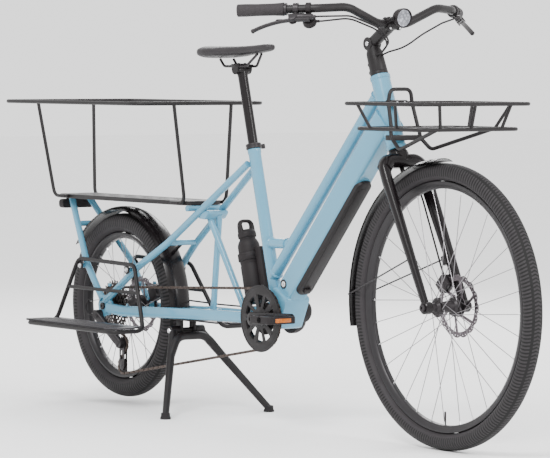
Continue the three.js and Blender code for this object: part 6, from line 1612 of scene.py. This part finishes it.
@dataclass
class FrontEnd(Assembly):
    """The fork and the front fender."""

    leg_half: float = 61.6
    leg_start: float = 384.0

    def fork(self) -> None:
        """Crown, steerer, legs and ends."""
        low = LINES.head_foot - 3.3
        crown = turned("crown", [
            (20, -34), (25, -34), (27, -31), (27, -12), (25.4, -4), (22, -0.6), (21.6, 3), (14.3, 3), (14.3, 240),
        ], LINES.steer(low), LINES.along, 48)
        yoke = rounded([
            LINES.steer(384, 7, -60), LINES.steer(404, 5, -44), LINES.steer(404, 4, 44), LINES.steer(384, 7, 60),
        ], 30, 10)
        block = swept("yoke", yoke, soft_box(44, 38, 16, 8), AHEAD, size=lambda share: 0.86 + 0.16 * sin(pi * share))
        parts = [crown, block]
        for side in (-1, 1):
            y = side * self.leg_half
            top = LINES.steer(self.leg_start, 6, y)
            foot = LINES.front_axle + mm(0, y, 0)
            course = rounded([
                LINES.steer(409, 0, side * 8), LINES.steer(403, 5, y * 0.97), top - (top - foot) * 0.1, foot,
            ], 34, 10)
            parts.append(swept(
                "leg", course, circle(14.8, 36, 1.24), LEFT, size=lambda share: 1 - 0.36 * max(0, share - 0.3) / 0.7,
            ))
            parts.append(pin("end", mm(foot.x, side * 50.3, foot.z), mm(foot.x, side * 72.1, foot.z), 16, 2, 40))
        parts.append(pin("lug", LINES.steer(116, 26, 47), LINES.steer(140, 24, 47), 7, 1.5, 20))
        self.join("fork_body", parts, Dress.BLACK_GLOSS, "fork")

    def fender(self) -> None:
        """The fender's skin, its lug at the crown and its two wire stays."""
        centre = LINES.front_axle
        skin = fender_skin("skin", centre, 373, 31, 9, 92, 191)
        foot = LINES.steer(398) - centre
        turn = atan2(foot.z, foot.x)
        lug = pin("lug", around(centre, 371.5, turn), LINES.steer(398.3), 6, 1, 20)
        tail = radians(178)
        stays = []
        for side in (-1, 1):
            top = LINES.steer(self.leg_start, 6, side * self.leg_half)
            low = centre + mm(0, side * self.leg_half, 0)
            grip = low + (top - low) * (122 / (top.z - low.z))
            start = around(centre, 364, tail, side * 30)
            run = (grip - start).normalized()
            stays.append(tube("stay", [start, grip - run * 10.5], 2.0, sides=12))
            stays.append(pin("clip", grip - run * 16, grip - run * 13.5, 4.5, 0.8, 16))
            stays.append(pin("clip", start - run * 1, start + run * 9, 3.6, 0.8, 16))
        self.join("front_fender_skin", [skin, lug], Dress.BLACK_GLOSS, "front_fender")
        self.join("front_fender_stays", stays, Dress.BLACK_METAL, "front_fender")

    def build(self) -> None:
        """Makes and dresses the front end."""
        self.fork()
        self.fender()


@dataclass
class RearFender(Assembly):
    """The wide fender over the small wheel."""

    radius: float = 283.3

    def build(self) -> None:
        """Makes and dresses the fender."""
        centre = LINES.rear_axle
        turn = atan2(192, 287)
        skin = fender_skin("skin", centre, self.radius, 34, 10, 2, 143)
        reach = hypot(192, 287)
        lug = pin("lug", around(centre, 281, turn), around(centre, reach - 8.3, turn), 5, 0.8, 20)
        self.join("rear_fender_skin", [skin, lug], Dress.BLACK_GLOSS, "rear_fender")


@dataclass
class FrontRack(Assembly):
    """The wire rack in front of the head tube."""

    wire: float = 5.0

    def at(self, ahead: float, side: float, over: float) -> Vector:
        """A place counted from the head tube's top."""
        return LINES.steer(LINES.head_top) + mm(ahead, side, over)

    def build(self) -> None:
        """Makes and dresses the rack."""
        w = self.wire
        top, low = -68.0, -131.0
        at = self.at

        def ring(back: float, ahead: float, half: float, height: float, corner: float) -> Piece:
            """One of the rack's two rings."""
            ways = ((back, -half), (ahead, -half), (ahead, half), (back, half))
            corners = [at(x, y, height) for x, y in ways]
            return ring_tube("ring", corners, w, corner, 14)

        parts = [ring(86, 391, 185, top, 34), ring(105, 373, 157, low, 28)]
        for y in (-114, 0, 114):
            parts.append(tube("post", [at(391, y, top), at(373, y * 0.85, low)], w * 0.85, sides=14))
        for side in (-1, 1):
            for x, lean in ((149, 20), (304, -30)):
                parts.append(tube("post", [at(x, side * 185, top), at(x + lean, side * 157, low)], w * 0.85, sides=14))
            parts.append(tube("slat", [at(105, side * 52, low), at(373, side * 52, low)], w * 0.8, sides=14))
            parts.append(tube("stay", [
                at(348, side * 87, low), at(149, side * 51, -186), at(110, side * 46, -156), at(105, side * 46, low),
            ], w, 25))
        parts.append(tube("brace", [at(348, -87, low), at(348, 87, low)], w * 0.8, sides=14))
        hoop = [(105, -43, low), (86, -38, top), (86, -33, -33), (86, 33, -33), (86, 38, top), (105, 43, low)]
        parts.append(tube("hoop", [at(*p) for p in hoop], w, 20))
        reach_top = LINES.steer(LINES.head_top - 68 / LINES.along.z) - LINES.steer(LINES.head_top)
        reach_low = LINES.steer(LINES.head_top - 156 / LINES.along.z) - LINES.steer(LINES.head_top)
        parts.append(brick("mount", at(reach_top.x + 26.5, -23, top - 7.5), at(88, 23, top + 7.5), 2.5))
        parts.append(brick("mount", at(reach_low.x + 26.5, -50, -163), at(115, 50, -149), 2.5))
        self.join("front_rack_wires", parts, Dress.BLACK_COAT, "front_rack")
        bolts = studs("bolt", [at(88, y, top) for y in (-12, 12)], mm(2.6, 0, 0), 4, 0.6, 18)
        self.join("front_rack_bolts", bolts, Dress.BRIGHT_STEEL, "front_rack")


@dataclass
class Footrests(Assembly):
    """The wire frames and boards at both sides of the rear wheel."""

    wire: float = 6.0
    inner: float = 132.0
    outer: float = 232.0
    back: float = -168.0
    front: float = 288.0

    def build(self) -> None:
        """Makes and dresses both footrests, the left one first."""
        low = 240 - 6 - 0.3 - self.wire
        top_front, top_back = mm(186, 95, 404), mm(-106, 95, 410)
        in_front, in_back = mm(self.front, self.inner, low), mm(self.back, self.inner, low)
        out_front, out_back = mm(self.front, self.outer, low), mm(self.back, self.outer, low)
        start = out_back.lerp(out_front, 0.3)
        run = rounded([start, out_front, in_front, top_front, top_back, in_back, out_back, start], 30, 8)[:-1]
        ring = swept("ring", run, circle(self.wire, 16), closed=True)
        ends = [a.lerp(b, (328 - low) / (b.z - low)) for a, b in ((in_front, top_front), (in_back, top_back))]
        parts, bolts = [ring, tube("middle_bar", ends, self.wire * 0.85, sides=16)], []
        z = LINES.rest_height
        for x in LINES.rest_bolts:
            parts.append(cross_pin("tab", x, z, 93, 97, 12, 36))
            bolts.append(cross_pin("washer", x, z, 97, 98.4, 7.2, 28))
            bolts.append(cross_pin("bolt_head", x, z, 98.2, 101.4, 4.8, 20))
        self.pair("footrest", parts, Dress.BLACK_COAT, "footrest_frame")
        self.pair("footrest_bolts", bolts, Dress.BRIGHT_STEEL, "footrest_frame")
        self.pair("board", self.board(), Dress.BOARD, "footboard")

    def board(self) -> list[Piece]:
        """The left board, ribbed for grip and notched round the frame's legs."""
        x0, x1, y0, y1 = self.back - 3, self.front + 3, self.inner - 3, self.outer + 3
        notch = y0 + 29.2
        start = (x0, (notch + y1) / 2)
        corners = [
            start, (x0, notch), (x0 + 21, notch), (x0 + 21, y0), (x1 - 21, y0), (x1 - 21, notch), (x1, notch),
            (x1, y1 - 20), (x1 - 40, y1), (x0, y1), start,
        ]
        slab = level("slab", softened(corners, 8), [], 236.4, 4.8, 1)
        ribs = []
        for i in range(9):
            y = y0 + 36 + i * 7.4
            ribs.append(brick("rib", mm(x0 + 26, y - 1.3, 238), mm(x1 - 46, y + 1.3, 240), 0.7))
        return [slab, *ribs, brick("edge", mm(x0 + 8, y1 - 2.6, 233.9), mm(x1 - 44, y1, 240), 0.9)]


@dataclass
class Kickstand(Assembly):
    """The double-leg stand and its plate under the stays."""

    ahead: float = 306.0
    height: float = 226.0
    foot_ahead: float = 461.0
    foot_side: float = 173.0

    def build(self) -> None:
        """Makes and dresses the stand."""
        x, z = self.ahead, self.height
        mount = level("mount", shifted(soft_box(115, 88, 12, 5), x + 28.5, 0), [hole(352, 0, 6, 20)], 260.2, 7, 1)
        ears = [brick("ear", mm(x - 13, side * 17, z - 13), mm(x + 13, side * 26, 261), 3) for side in (-1, 1)]
        self.join("stand_mount", [mount, *ears], Dress.BLACK_COAT, "kickstand_plate")
        parts = [cross_pin("shaft", x, z, -57, 57, 8, 28)]
        feet, nuts = [], []
        for side in (-1, 1):
            parts.append(cross_pin("barrel", x, z, *sorted((side * 26.4, side * 56)), 13, 36))
            foot = mm(self.foot_ahead, side * self.foot_side, 10)
            parts.append(tube("leg", [mm(x, side * 44, z), foot], 12, tip=9.4, sides=28))
            nuts.append(pin("nut", mm(x, side * 56, z), mm(x, side * 60, z), 7, 1, 6))
            feet.append(turned("foot", [
                (14.2, 0), (15, 1.2), (15, 4), (12.8, 9), (12.4, 17), (10, 18),
            ], mm(self.foot_ahead, side * self.foot_side, 0), UP, 36))
        top, low = mm(x, 44, z), mm(self.foot_ahead, self.foot_side, 10)
        half = [top.lerp(low, 0.3), mm(x + 26, 47, z - 14)]
        arch = tube("arch", [*half, *reversed(flipped(half))], 11.4, 46, sides=28)
        self.join("stand_legs", [*parts, arch], Dress.BLACK_COAT, "kickstand", body="stand")
        self.join("stand_feet", feet, Dress.RUBBER, "kickstand", body="stand")
        self.join("stand_nuts", nuts, Dress.BRIGHT_STEEL, "kickstand", body="stand")


@dataclass
class Seat(Assembly):
    """Seatpost, clamp and saddle."""

    post: float = 13.6
    length: float = 275.0
    half: float = 76.0
    thick: float = 35.5

    def saddle(self) -> Piece:
        """The padded saddle, crowned, with a shallow channel down its middle."""
        head = LINES.seat(LINES.saddle_up)
        back, low = head.x - 137, head.z + 28.3
        shares = [
            (0, 0.66, 0.62), (0.03, 0.84, 0.86), (0.1, 0.98, 1), (0.2, 1, 1), (0.36, 0.86, 1), (0.52, 0.54, 0.98),
            (0.72, 0.34, 0.96), (0.93, 0.26, 0.9), (0.98, 0.22, 0.76), (1, 0.15, 0.5),
        ]
        count = 56
        seams = (6, count // 2 - 1 - 6)
        rings = []
        for step in range(41):
            at = 0.5 - 0.5 * cos(pi * step / 40)
            k = max(i for i, row in enumerate(shares) if row[0] <= at and i < len(shares) - 1)
            (a0, w0, d0), (a1, w1, d1) = shares[k], shares[k + 1]
            t = (at - a0) / (a1 - a0)
            wide, deep = w0 + (w1 - w0) * t, d0 + (d1 - d0) * t
            floor, crest = low + 19 * at ** 1.5, low + self.thick + 7 * at * at - 2.4 * sin(pi * at)
            middle, half = (floor + crest) / 2, (crest - floor) / 2 * deep
            ring = []
            for i in range(count):
                a = 2 * pi * (i + 0.5) / count
                sine, cosine = sin(a), cos(a)
                rise = half * copysign(abs(sine) ** (0.8 if sine > 0 else 0.5), sine)
                channel = 2.6 * exp(-((cosine * wide * 5) ** 2)) * max(0, sine) * sin(pi * at)
                pinch = 0.976 if i in seams else 1 - 0.1 * max(0, -sine)
                side = self.half * wide * copysign(abs(cosine) ** 0.62, cosine) * 0.965 * pinch
                ring.append(mm(back + self.length * at, side, middle + rise - channel))
            rings.append(ring)
        return Bench.skin("saddle_pad", rings, angle=60)

    def rails(self) -> list[Piece]:
        """The two steel rails under the saddle."""
        head = LINES.seat(LINES.saddle_up)
        back, height = head.x - 137, head.z + 27.5
        start, end = back + 66, back + 220
        under, low = height - 1, head.z + 7
        out = []
        for side in (-1, 1):
            out.append(tube("rail", [
                mm(start, side * 22, under), mm(start + 19, side * 22, low), mm(end - 38, side * 17.6, low),
                mm(end, side * 6.6, under + 14),
            ], 3.5, 19))
        return out

    def build(self) -> None:
        """Makes and dresses the seat."""
        foot, head = LINES.seat(316), LINES.seat(LINES.saddle_up)
        profile = [(self.post - 1, 0), (self.post, 1), (self.post, 352), (15.2, 362), (15.2, 374)]
        post = turned("post", profile, foot, LINES.seat_up, 40)
        clamp = [
            cross_pin("yoke", head.x, head.z, -24, 24, 15, 36),
            brick("upper_clamp", head + mm(-20, -24.8, 3), head + mm(20, 24.8, 13.5), 3),
            brick("lower_clamp", head + mm(-17, -22, -9), head + mm(17, 22, 2.5), 3),
        ]
        self.join("seatpost_body", [post, *clamp], Dress.BLACK_GLOSS, "seatpost")
        bolts = studs("bolt", [head + mm(way * 15, 0, 12) for way in (-1, 1)], mm(0, 0, 4.4), 3.6, 0.6, 16)
        self.join("seatpost_bolts", [*bolts, *self.rails()], Dress.BLACK_METAL, "seatpost")
        pad = self.saddle()
        self.wear(pad, Dress.COVER, "saddle")
        collar = turned("collar", [
            (14, 0.4), (20.4, 0.4), (21, 1.2), (21, 6), (20.2, 6.6), (20.2, 8.6), (21, 9.2), (21, 13.6), (20.2, 14.4),
            (14, 14.4),
        ], LINES.seat(466), LINES.seat_up, 48, True)
        middle = 473.3
        boss = pin("boss", LINES.seat(middle, 0, 17), LINES.seat(middle, 0, 27), 6.4, 0.8, 24)
        self.join("clamp_collar", [collar, boss], Dress.BLACK_METAL, "seat_clamp", body="frame")
        hinge, up = LINES.seat(middle, 0, 32.3), LINES.seat_up * 6.3
        lever = tube("lever", [hinge, hinge + mm(-16, 1.2, 0), hinge + mm(-46, 0, 0)], 3.6, 10, 2.6)
        cam = pin("cam", hinge - up, hinge + up, 5, 0.8, 24)
        self.join("clamp_lever", [lever, cam], Dress.BLACK_METAL, "seat_clamp_lever", body="seat_lever")


@dataclass
class Cockpit(Assembly):
    """Stem, bar, grips, brake levers, shifter, headlight and hoses."""

    bar: float = 11.1
    droop: float = radians(51)
    bar_end: Triple = (-126, -354, 165)
    bar_bend: Triple = (23, -212, 171)

    def __post_init__(self) -> None:
        """Sets the right hand's own directions, along the bar, out from it and across both."""
        self.origin = self.at(*self.bar_end)
        self.inward = (self.at(*self.bar_bend) - self.origin).normalized()
        forward = mm(self.inward.y, -self.inward.x, 0).normalized()
        forward = forward if forward.x > 0 else -forward
        out = forward * cos(self.droop) - mm(0, 0, sin(self.droop))
        self.out = (out - self.inward * out.dot(self.inward)).normalized()
        self.across = self.inward.cross(self.out)

    def at(self, ahead: float, side: float, over: float) -> Vector:
        """A place counted from the head tube's top."""
        return LINES.steer(LINES.head_top) + mm(ahead, side, over)

    def hand(self, along: float, out: float = 0, across: float = 0) -> Vector:
        """A place on the right hand's end of the bar."""
        return self.origin + self.inward * along + self.out * out + self.across * across

    def both(
        self, right: Piece, name: str, dress: Dress, node: str, bodies: Sequence[str | None] = (None, None)
    ) -> None:
        """Dresses a right-hand piece and its mirrored twin."""
        left = mirrored(f"{name}_left", right)
        right.name = right.data.name = f"{name}_right"
        for piece, side, body in ((right, "right", bodies[0]), (left, "left", bodies[1])):
            self.wear(piece, dress, f"{node}_{side}", body=body)

    def stem(self) -> None:
        """The raised stem with its pivot, bar clamp and bolts."""
        top = LINES.steer(LINES.head_top + 0.3)
        pivot, clamp = LINES.steer(LINES.head_top + 89), self.at(51, 0, 134)
        riser = turned("riser", [
            (14.6, 0), (23.4, 0), (23.6, 1), (23.4, 9), (22.6, 9.8), (23, 10.6), (21.4, 60), (20.6, 65), (18, 72),
            (16.6, 80), (16, 86), (12, 90),
        ], top, LINES.along, 48, False)
        arm = Bench.bevelled(swept("arm", [pivot, clamp], soft_box(31, 30, 13, 7)), 2)
        parts = [
            riser, arm, cross_pin("knuckle", pivot.x, pivot.z, -17, 17, 17, 48),
            cross_pin("clamp", clamp.x, clamp.z, -23, 23, 16.5, 40),
        ]
        for up, ahead, half in ((16, -20, 13), (38, -19, 12)):
            ends = [LINES.steer(LINES.head_top + up, ahead, y) for y in (-half, half)]
            parts.append(pin("pinch", *ends, 5.5, 1, 20))
        for y in (-15, 15):
            parts.append(brick("cap_ear", clamp + mm(3, y - 4.5, -17.5), clamp + mm(13, y + 4.5, 17.5), 2))
        self.join("stem_body", parts, Dress.BLACK_COAT, "stem")
        feet = [clamp + mm(12.6, y, rise) for y in (-15, 15) for rise in (-12.5, 12.5)]
        bolt = cross_pin("bolt", pivot.x, pivot.z, -18.6, 18.6, 6, 24)
        bolts = [bolt, *studs("bolt", feet, mm(2.4, 0, 0), 3, 0.5, 14)]
        self.join("stem_bolts", bolts, Dress.BRIGHT_STEEL, "stem")

    def handlebar(self) -> None:
        """The swept-back bar in one bent tube."""
        side = [self.at(*p) for p in (self.bar_end, self.bar_bend, (52, -142, 175), (51, -46, 134))]
        run = rounded([*side, *reversed(flipped(side))], 60, 8)
        made = swept("handlebar_tube", run, circle(self.bar, 24), UP)
        self.wear(made, Dress.BLACK_COAT, "handlebar")

    def grips(self) -> None:
        """Rubber grips with a locking ring at their inner ends."""
        grip = turned("grip", [
            (11, -3), (14.6, -3), (16, -1.4), (16.2, 20), (15.4, 50), (15.6, 90), (16.8, 112), (17.4, 117), (15.4, 118),
        ], self.origin, self.inward, 40)
        self.both(grip, "grip_rubber", Dress.GRIP, "grip")
        profile = [(11.3, 118), (15.6, 118), (16, 118.6), (16, 124.4), (15.4, 125), (11.3, 125)]
        ring = turned("ring", profile, self.origin, self.inward, 40, True)
        self.both(ring, "grip_ring", Dress.BLACK_METAL, "grip")

    def brakes(self) -> None:
        """Master cylinders, their clamps and the bent lever blades."""
        hand = self.hand
        profile = [(11.4, -6.5), (15, -6.5), (15.5, -5.8), (15.5, 5.8), (15, 6.5), (11.4, 6.5)]
        clamp = turned("clamp", profile, hand(148), self.inward, 36, True)
        body = turned("body", [
            (7, 0), (9.2, 1.5), (9.5, 4), (9.5, 30), (8.4, 34), (8, 50), (6.6, 54), (4.2, 56), (4.2, 61), (3, 61.8),
        ], hand(139.4, 27), self.inward, 32)
        neck = pin("neck", hand(148, 11.2), hand(148, 27), 6, 0.8, 20)
        shape = [(131, 24), (133, 39), (140, 42.6), (149, 40), (158, 24)]
        ears = [plate("ear", shape, [], hand(0, 0, way * 8.8), self.inward, self.out, 3, 0.6) for way in (-1, 1)]
        pivot = pin("pivot", hand(143, 34, -10.6), hand(143, 34, 10.6), 3, 0.5, 16)
        shape = [(146, -8), (186, -7), (186, 7), (146, 8)]
        lid = plate("lid", shape, [], hand(0, 36.4, 0), self.inward, self.across, 2.6, 0.8)
        parts = [clamp, body, neck, *ears, pivot, lid]
        self.both(Bench.joined("body", parts), "brake_master", Dress.BLACK_METAL, "brake_body")
        course = []
        for t in (i / 18 for i in range(19)):
            weights = (1 - t) ** 3, 3 * t * (1 - t) ** 2, 3 * t * t * (1 - t), t ** 3
            along = sum(part * at for part, at in zip(weights, (143, 114.5, 70.5, 42)))
            course.append(hand(along, sum(part * at for part, at in zip(weights, (37, 37, 50.1, 71)))))
        blade = swept("blade", course, soft_box(12.6, 6.6, 3, 4), self.across, size=lambda s: 1 - 0.25 * s * (1 - s))
        tip_run = (course[-1] - course[-2]).normalized()
        profile = [(2, -1), (5, 0.4), (6.2, 3), (6, 5.6), (3.6, 8), (1, 8.8)]
        tip = turned("tip", profile, course[-1] - tip_run * 6, tip_run, 24)
        eye = pin("eye", hand(143, 34, -6.5), hand(143, 34, 6.5), 5.8, 0.8, 24)
        lever = Bench.joined("lever", [blade, tip, eye])
        self.both(lever, "brake_blade", Dress.BLACK_METAL, "brake_lever", ("lever_r", "lever_l"))

    def shift(self) -> None:
        """The shifter's pod under the bar, its band and its thumb lever."""
        hand = self.hand
        profile = [(13, 0), (15.3, 1), (16.6, 4), (18, 12), (17.4, 17), (14, 19.6), (8, 20)]
        pod = turned("pod", profile, hand(180, 20, 17), self.across, 40)
        profile = [(11.4, -6), (14.9, -6), (15.5, -5.3), (15.5, 5.3), (14.9, 6), (11.4, 6)]
        band = turned("band", profile, hand(180), self.inward, 36, True)
        strap = pin("strap", hand(180, 11.4, 6), hand(180, 20, 26), 6, 1, 20)
        stub = pin("stub", hand(180, 20, 12.8), hand(180, 20, 18), 3, 0.4, 16)
        barrel = pin("barrel", hand(195, 20, 27), hand(206, 20, 27), 3.8, 0.8, 16)
        self.join("shifter_pod", [pod, band, strap, stub, barrel], Dress.PLASTIC, "shifter")
        course = [hand(180, 20, 14.7), hand(150, 22, 14.7), hand(98, 28, 14.7)]
        arm = swept("arm", rounded(course, 40, 6), soft_box(9, 3.8, 1.6, 3), self.out)
        eye = pin("eye", hand(180, 20, 12.8), hand(180, 20, 16.6), 6.6, 0.6, 24)
        paddle = plate("paddle", soft_box(22, 12, 5), [], hand(106, 27.2, 14.7), self.inward, self.out, 3.9, 0.8)
        self.join("shift_paddle", [arm, eye, paddle], Dress.PLASTIC, "shift_lever", body="gear_lever")

    def headlight(self) -> None:
        """The round lamp on two arms ahead of the bar."""
        tilt = radians(6)
        aim = mm(cos(tilt), 0, -sin(tilt))
        lens_at = self.at(103, 0, 147)
        back = lens_at - aim * 30
        pivot = lens_at - aim * 15
        shell = turned("headlight_shell", [
            (8, 0), (14, 0.8), (19.6, 4), (22.4, 9), (23.4, 14), (23.8, 20.6), (25, 22), (25.2, 29), (24.4, 30),
            (22.4, 30), (22, 26.5),
        ], back, aim, 48)
        self.wear(shell, Dress.PLASTIC, "headlight", body="front_light")
        lens = turned("headlight_lens", [(22, 26.4), (21.8, 27.6), (14, 29), (6, 29.6)], back, aim, 40)
        self.wear(lens, Dress.CLEAR_LENS, "headlight", body="front_light")
        arms = []
        for side in (-1, 1):
            y = side * 26
            clamp = self.at(51, y, 134)
            end = mm(pivot.x, y, pivot.z) + aim * 4.5
            arm = swept("arm", [clamp, end], soft_box(2.6, 9, 1.2, 3), LEFT)
            arms.append(Bench.bevelled(arm, 0.5))
            arms.append(cross_pin("pin", pivot.x, pivot.z, *sorted((side * 21, side * 28)), 2.9, 16))
        self.join("headlight_arms", arms, Dress.BLACK_COAT, "stem")

    def hoses(self) -> None:
        """Brake hoses and the shift cable, from the levers to the stem."""
        right = [self.at(*p) for p in ((75, -150, 152), (95, -80, 124), (86, -32, 90), (25, -12, 62))]
        left = [self.at(*p) for p in ((79, 140, 136), (95, 62, 106), (77, 22, 74), (25, 10, 62))]
        low = LINES.head_top + 49.6
        brake = [self.hand(201.3, 27), self.hand(215.3, 27), *right, LINES.steer(low, 20, -11.5)]
        shift = [self.hand(198.3, 20, 27), self.hand(212.3, 20, 27), *[p + mm(-5.76, 0, -5.76) for p in right],
                 LINES.steer(low, 20, -5.8)]
        start = flipped([self.hand(201.3, 27), self.hand(215.3, 27)])
        for name, points, node in (
            ("brake_hose_right", brake, "control_cables_right"), ("shift_cable", shift, "control_cables_right"),
            ("brake_hose_left_line", [*start, *left, LINES.steer(low, 20, 5.8)], "brake_hose_left"),
        ):
            self.wear(hose(name, points), Dress.RUBBER, node)

    def build(self) -> None:
        """Makes and dresses the cockpit."""
        for make in (self.stem, self.handlebar, self.grips, self.brakes, self.shift, self.headlight, self.hoses):
            make()


@dataclass
class Bottle(Assembly):
    """The bottle, its lid with a carrying loop, and the cage that holds it."""

    radius: float = 30.0
    behind: float = 92.0
    foot: float = 66.0
    top: float = 240.0

    def at(self, up: float, back: float = 0, side: float = 0) -> Vector:
        """A place up the bottle's own line and behind it."""
        return LINES.seat(up, self.behind + back, side)

    def build(self) -> None:
        """Makes and dresses the bottle, its lid and its cage."""
        tall = self.top - self.foot
        body = turned("bottle_body", [
            (26, 0), (29, 1), (30, 4), (30, 96), (29.2, 98), (29.2, 104), (30, 106), (30, 150), (29, 157), (25, 166),
            (22, 170), (22, tall), (18, tall),
        ], self.at(self.foot), LINES.seat_up, 56)
        self.wear(body, Dress.PLASTIC, "bottle", body="drink")
        lid_foot = self.top + 0.3
        lid = turned("lid", [
            (22, 0), (24.4, 0.4), (25, 2), (25, 13), (24, 15), (22.4, 17), (20.4, 21), (17, 22),
        ], self.at(lid_foot), LINES.seat_up, 48)
        ridges = []
        for x, y in (polar(24.6, 2 * pi * i / 24) for i in range(24)):
            ridges.append(pin("ridge", self.at(lid_foot + 2.4, x, y), self.at(lid_foot + 12.6, x, y), 0.7, 0.2, 6))
        high = lid_foot + 22
        corners = [self.at(high + up, 0, side) for up, side in ((-9, -18), (25, -20.5), (25, 20.5), (-9, 18))]
        loop = swept(
            "loop", rounded(corners, 19, 10), circle(4.6, 20, 1.6), LEFT,
            size=lambda share: 1.6 - 0.6 * sin(pi * share),
        )
        self.join("bottle_cap", [lid, *ridges, loop], Dress.PLASTIC, "bottle_lid", body="drink_lid")
        profile = [(20, -5), (33, -5), (34.2, -4), (34.2, -0.5), (20, -0.5)]
        base = turned("base", profile, self.at(self.foot), LINES.seat_up, 56)
        profile = [(30.4, 0), (33, 0), (33.6, 1), (33.6, 19), (33, 20), (30.4, 20)]
        strap = turned("strap", profile, self.at(178), LINES.seat_up, 56, True)
        buckle = pin("buckle", self.at(188, 31.5), self.at(188, 44), 8, 1.5, 28)
        tower = tube("tower", [self.at(self.foot - 2, 32.4), self.at(196, 32.4)], 2.4, sides=12)
        bracket = swept("bracket", [self.at(72, -45), self.at(206, -45)], soft_box(12, 26, 4, 4))
        spots = [(up, side) for up in (80, 188) for side in (-12, 12)]
        wings = [tube("wing", [self.at(up, -33), self.at(up, -31, side)], 3, sides=12) for up, side in spots]
        parts = [base, strap, buckle, tower, Bench.bevelled(bracket, 2), *wings]
        self.join("bottle_holder", parts, Dress.PLASTIC, "bottle_cage")


@dataclass
class Studio:
    """Pale floor, soft lights and the photograph's camera."""

    place: Triple = (8001.7, -5199.7, 973.2)
    yaw: float = 0.95
    pitch: float = 0.05
    roll: float = 0.002
    focal: float = 3335.6
    width: int = 550

    def camera(self) -> None:
        """Sets the camera where the photograph was taken from."""
        data = bpy.data.cameras.new("camera")
        made = bpy.data.objects.new("camera", data)
        bpy.context.scene.collection.objects.link(made)
        data.sensor_fit = "HORIZONTAL"
        data.sensor_width = 36
        data.lens = self.focal / self.width * 36
        data.clip_end = 100
        y, p = self.yaw, self.pitch
        back = Vector((sin(y) * cos(p), -cos(y) * cos(p), sin(p)))
        right = Vector((cos(y), sin(y), 0))
        up = back.cross(right)
        turn = Matrix.Rotation(self.roll, 3, back)
        right, up = turn @ right, turn @ up
        axes = Matrix((right, up, back)).transposed().to_4x4()
        made.matrix_world = Matrix.Translation(metres(mm(*self.place))) @ axes
        bpy.context.scene.camera = made

    def floor(self) -> None:
        """A wide pale floor with a faint unevenness."""
        Bench.clear()
        bpy.ops.mesh.primitive_plane_add(size=60, location=(0, 0, 0))
        made = bpy.context.object
        made.name = "floor"
        graph = Graph("floor_paper")
        clouds = graph.noise(0.8, 3)
        colour = graph.blend(clouds, (0.93, 0.93, 0.93), (0.96, 0.96, 0.96))
        made.data.materials.append(graph.finish(colour, 0.9 + clouds * 0.05))
        made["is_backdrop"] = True

    def light(self, name: str, place: Vector, size: float, power: float, colour: Colour = (1, 1, 1)) -> None:
        """One soft square light that faces the bike."""
        data = bpy.data.lights.new(name, "AREA")
        data.size = size
        data.energy = power
        data.color = colour
        made = bpy.data.objects.new(name, data)
        bpy.context.scene.collection.objects.link(made)
        aim = Vector((0, 0, 0.45)) - place
        made.matrix_world = Matrix.Translation(place) @ aim.to_track_quat("-Z", "Y").to_matrix().to_4x4()

    def world(self) -> None:
        """A plain bright surround."""
        world = bpy.data.worlds.new("surround")
        world.use_nodes = True
        background = world.node_tree.nodes["Background"]
        background.inputs["Color"].default_value = (1, 1, 1, 1)
        background.inputs["Strength"].default_value = 1.7
        bpy.context.scene.world = world

    def build(self) -> None:
        """Sets floor, surround, lights and camera."""
        self.camera()
        self.floor()
        self.world()
        self.light("key", Vector((2.2, -3.2, 4.2)), 1.6, 260)
        self.light("side", Vector((5.0, 1.0, 2.4)), 1.4, 130)
        self.light("rim", Vector((-3.0, 2.5, 3.0)), 2.0, 110)


def wheels() -> list[Wheel]:
    """The front and the rear wheel."""
    front = Wheel(
        "front_wheel_set", "front", LINES.front_axle, 361, 50, 316, 19, 28, 25, 26, 14, 49.6, 49.6, 41, 72.5,
        Dress.FRONT_TYRE, Dress.FRONT_DISC, "steering",
    )
    rear = Wheel(
        "rear_wheel_set", "rear", LINES.rear_axle, 263, 58, 208, 17, 34, 29, 24, 17, 70.6, 37, 53, 79.6,
        Dress.REAR_TYRE, Dress.REAR_DISC, "frame",
    )
    return [front, rear]


def calipers() -> list[Caliper]:
    """Both brake calipers, with their hoses' ways."""
    front_angle, rear_angle = radians(136), radians(28)
    start = around(LINES.front_axle, 90, front_angle, 50)
    leg = LINES.steer(384, 6)
    ways = [
        LINES.front_axle.lerp(leg, share) - LINES.ahead * behind + mm(0, side, 0)
        for share, behind, side in ((0.313, 28.5, 49), (0.771, 20, 49), (0.922, 15, 44))
    ]
    rear_start = around(LINES.rear_axle, 90, rear_angle, 56)
    rear_ways = [LINES.rear_axle + mm(*p) for p in ((150, 62, 25), (398, 49, 23), (560, 37, 26), (656, 33, 34))]
    return [
        Caliper("steering", "front", LINES.front_axle, front_angle, 41, [start, *ways]),
        Caliper("frame", "rear", LINES.rear_axle, rear_angle, 53, [rear_start, *rear_ways]),
    ]


def main() -> None:
    """Builds the studio and every assembly, in order."""
    logging.basicConfig(level=logging.INFO, format="%(message)s")
    Studio().build()
    assemblies = [
        Cockpit("steering"), *calipers(), *wheels(), MainFrame("frame"), RearFrame("frame"), Drive("frame"),
        Carrier("frame"), RearFender("frame"), FrontEnd("steering"), FrontRack("frame"), Footrests("frame"),
        Kickstand("frame"), Seat("seat"), Bottle("frame"),
    ]
    for assembly in assemblies:
        assembly.build()
    boxes = [[list(corner) for corner in box] for box in (CAD_BOX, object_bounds())]


if __name__ == "__main__":
    main()
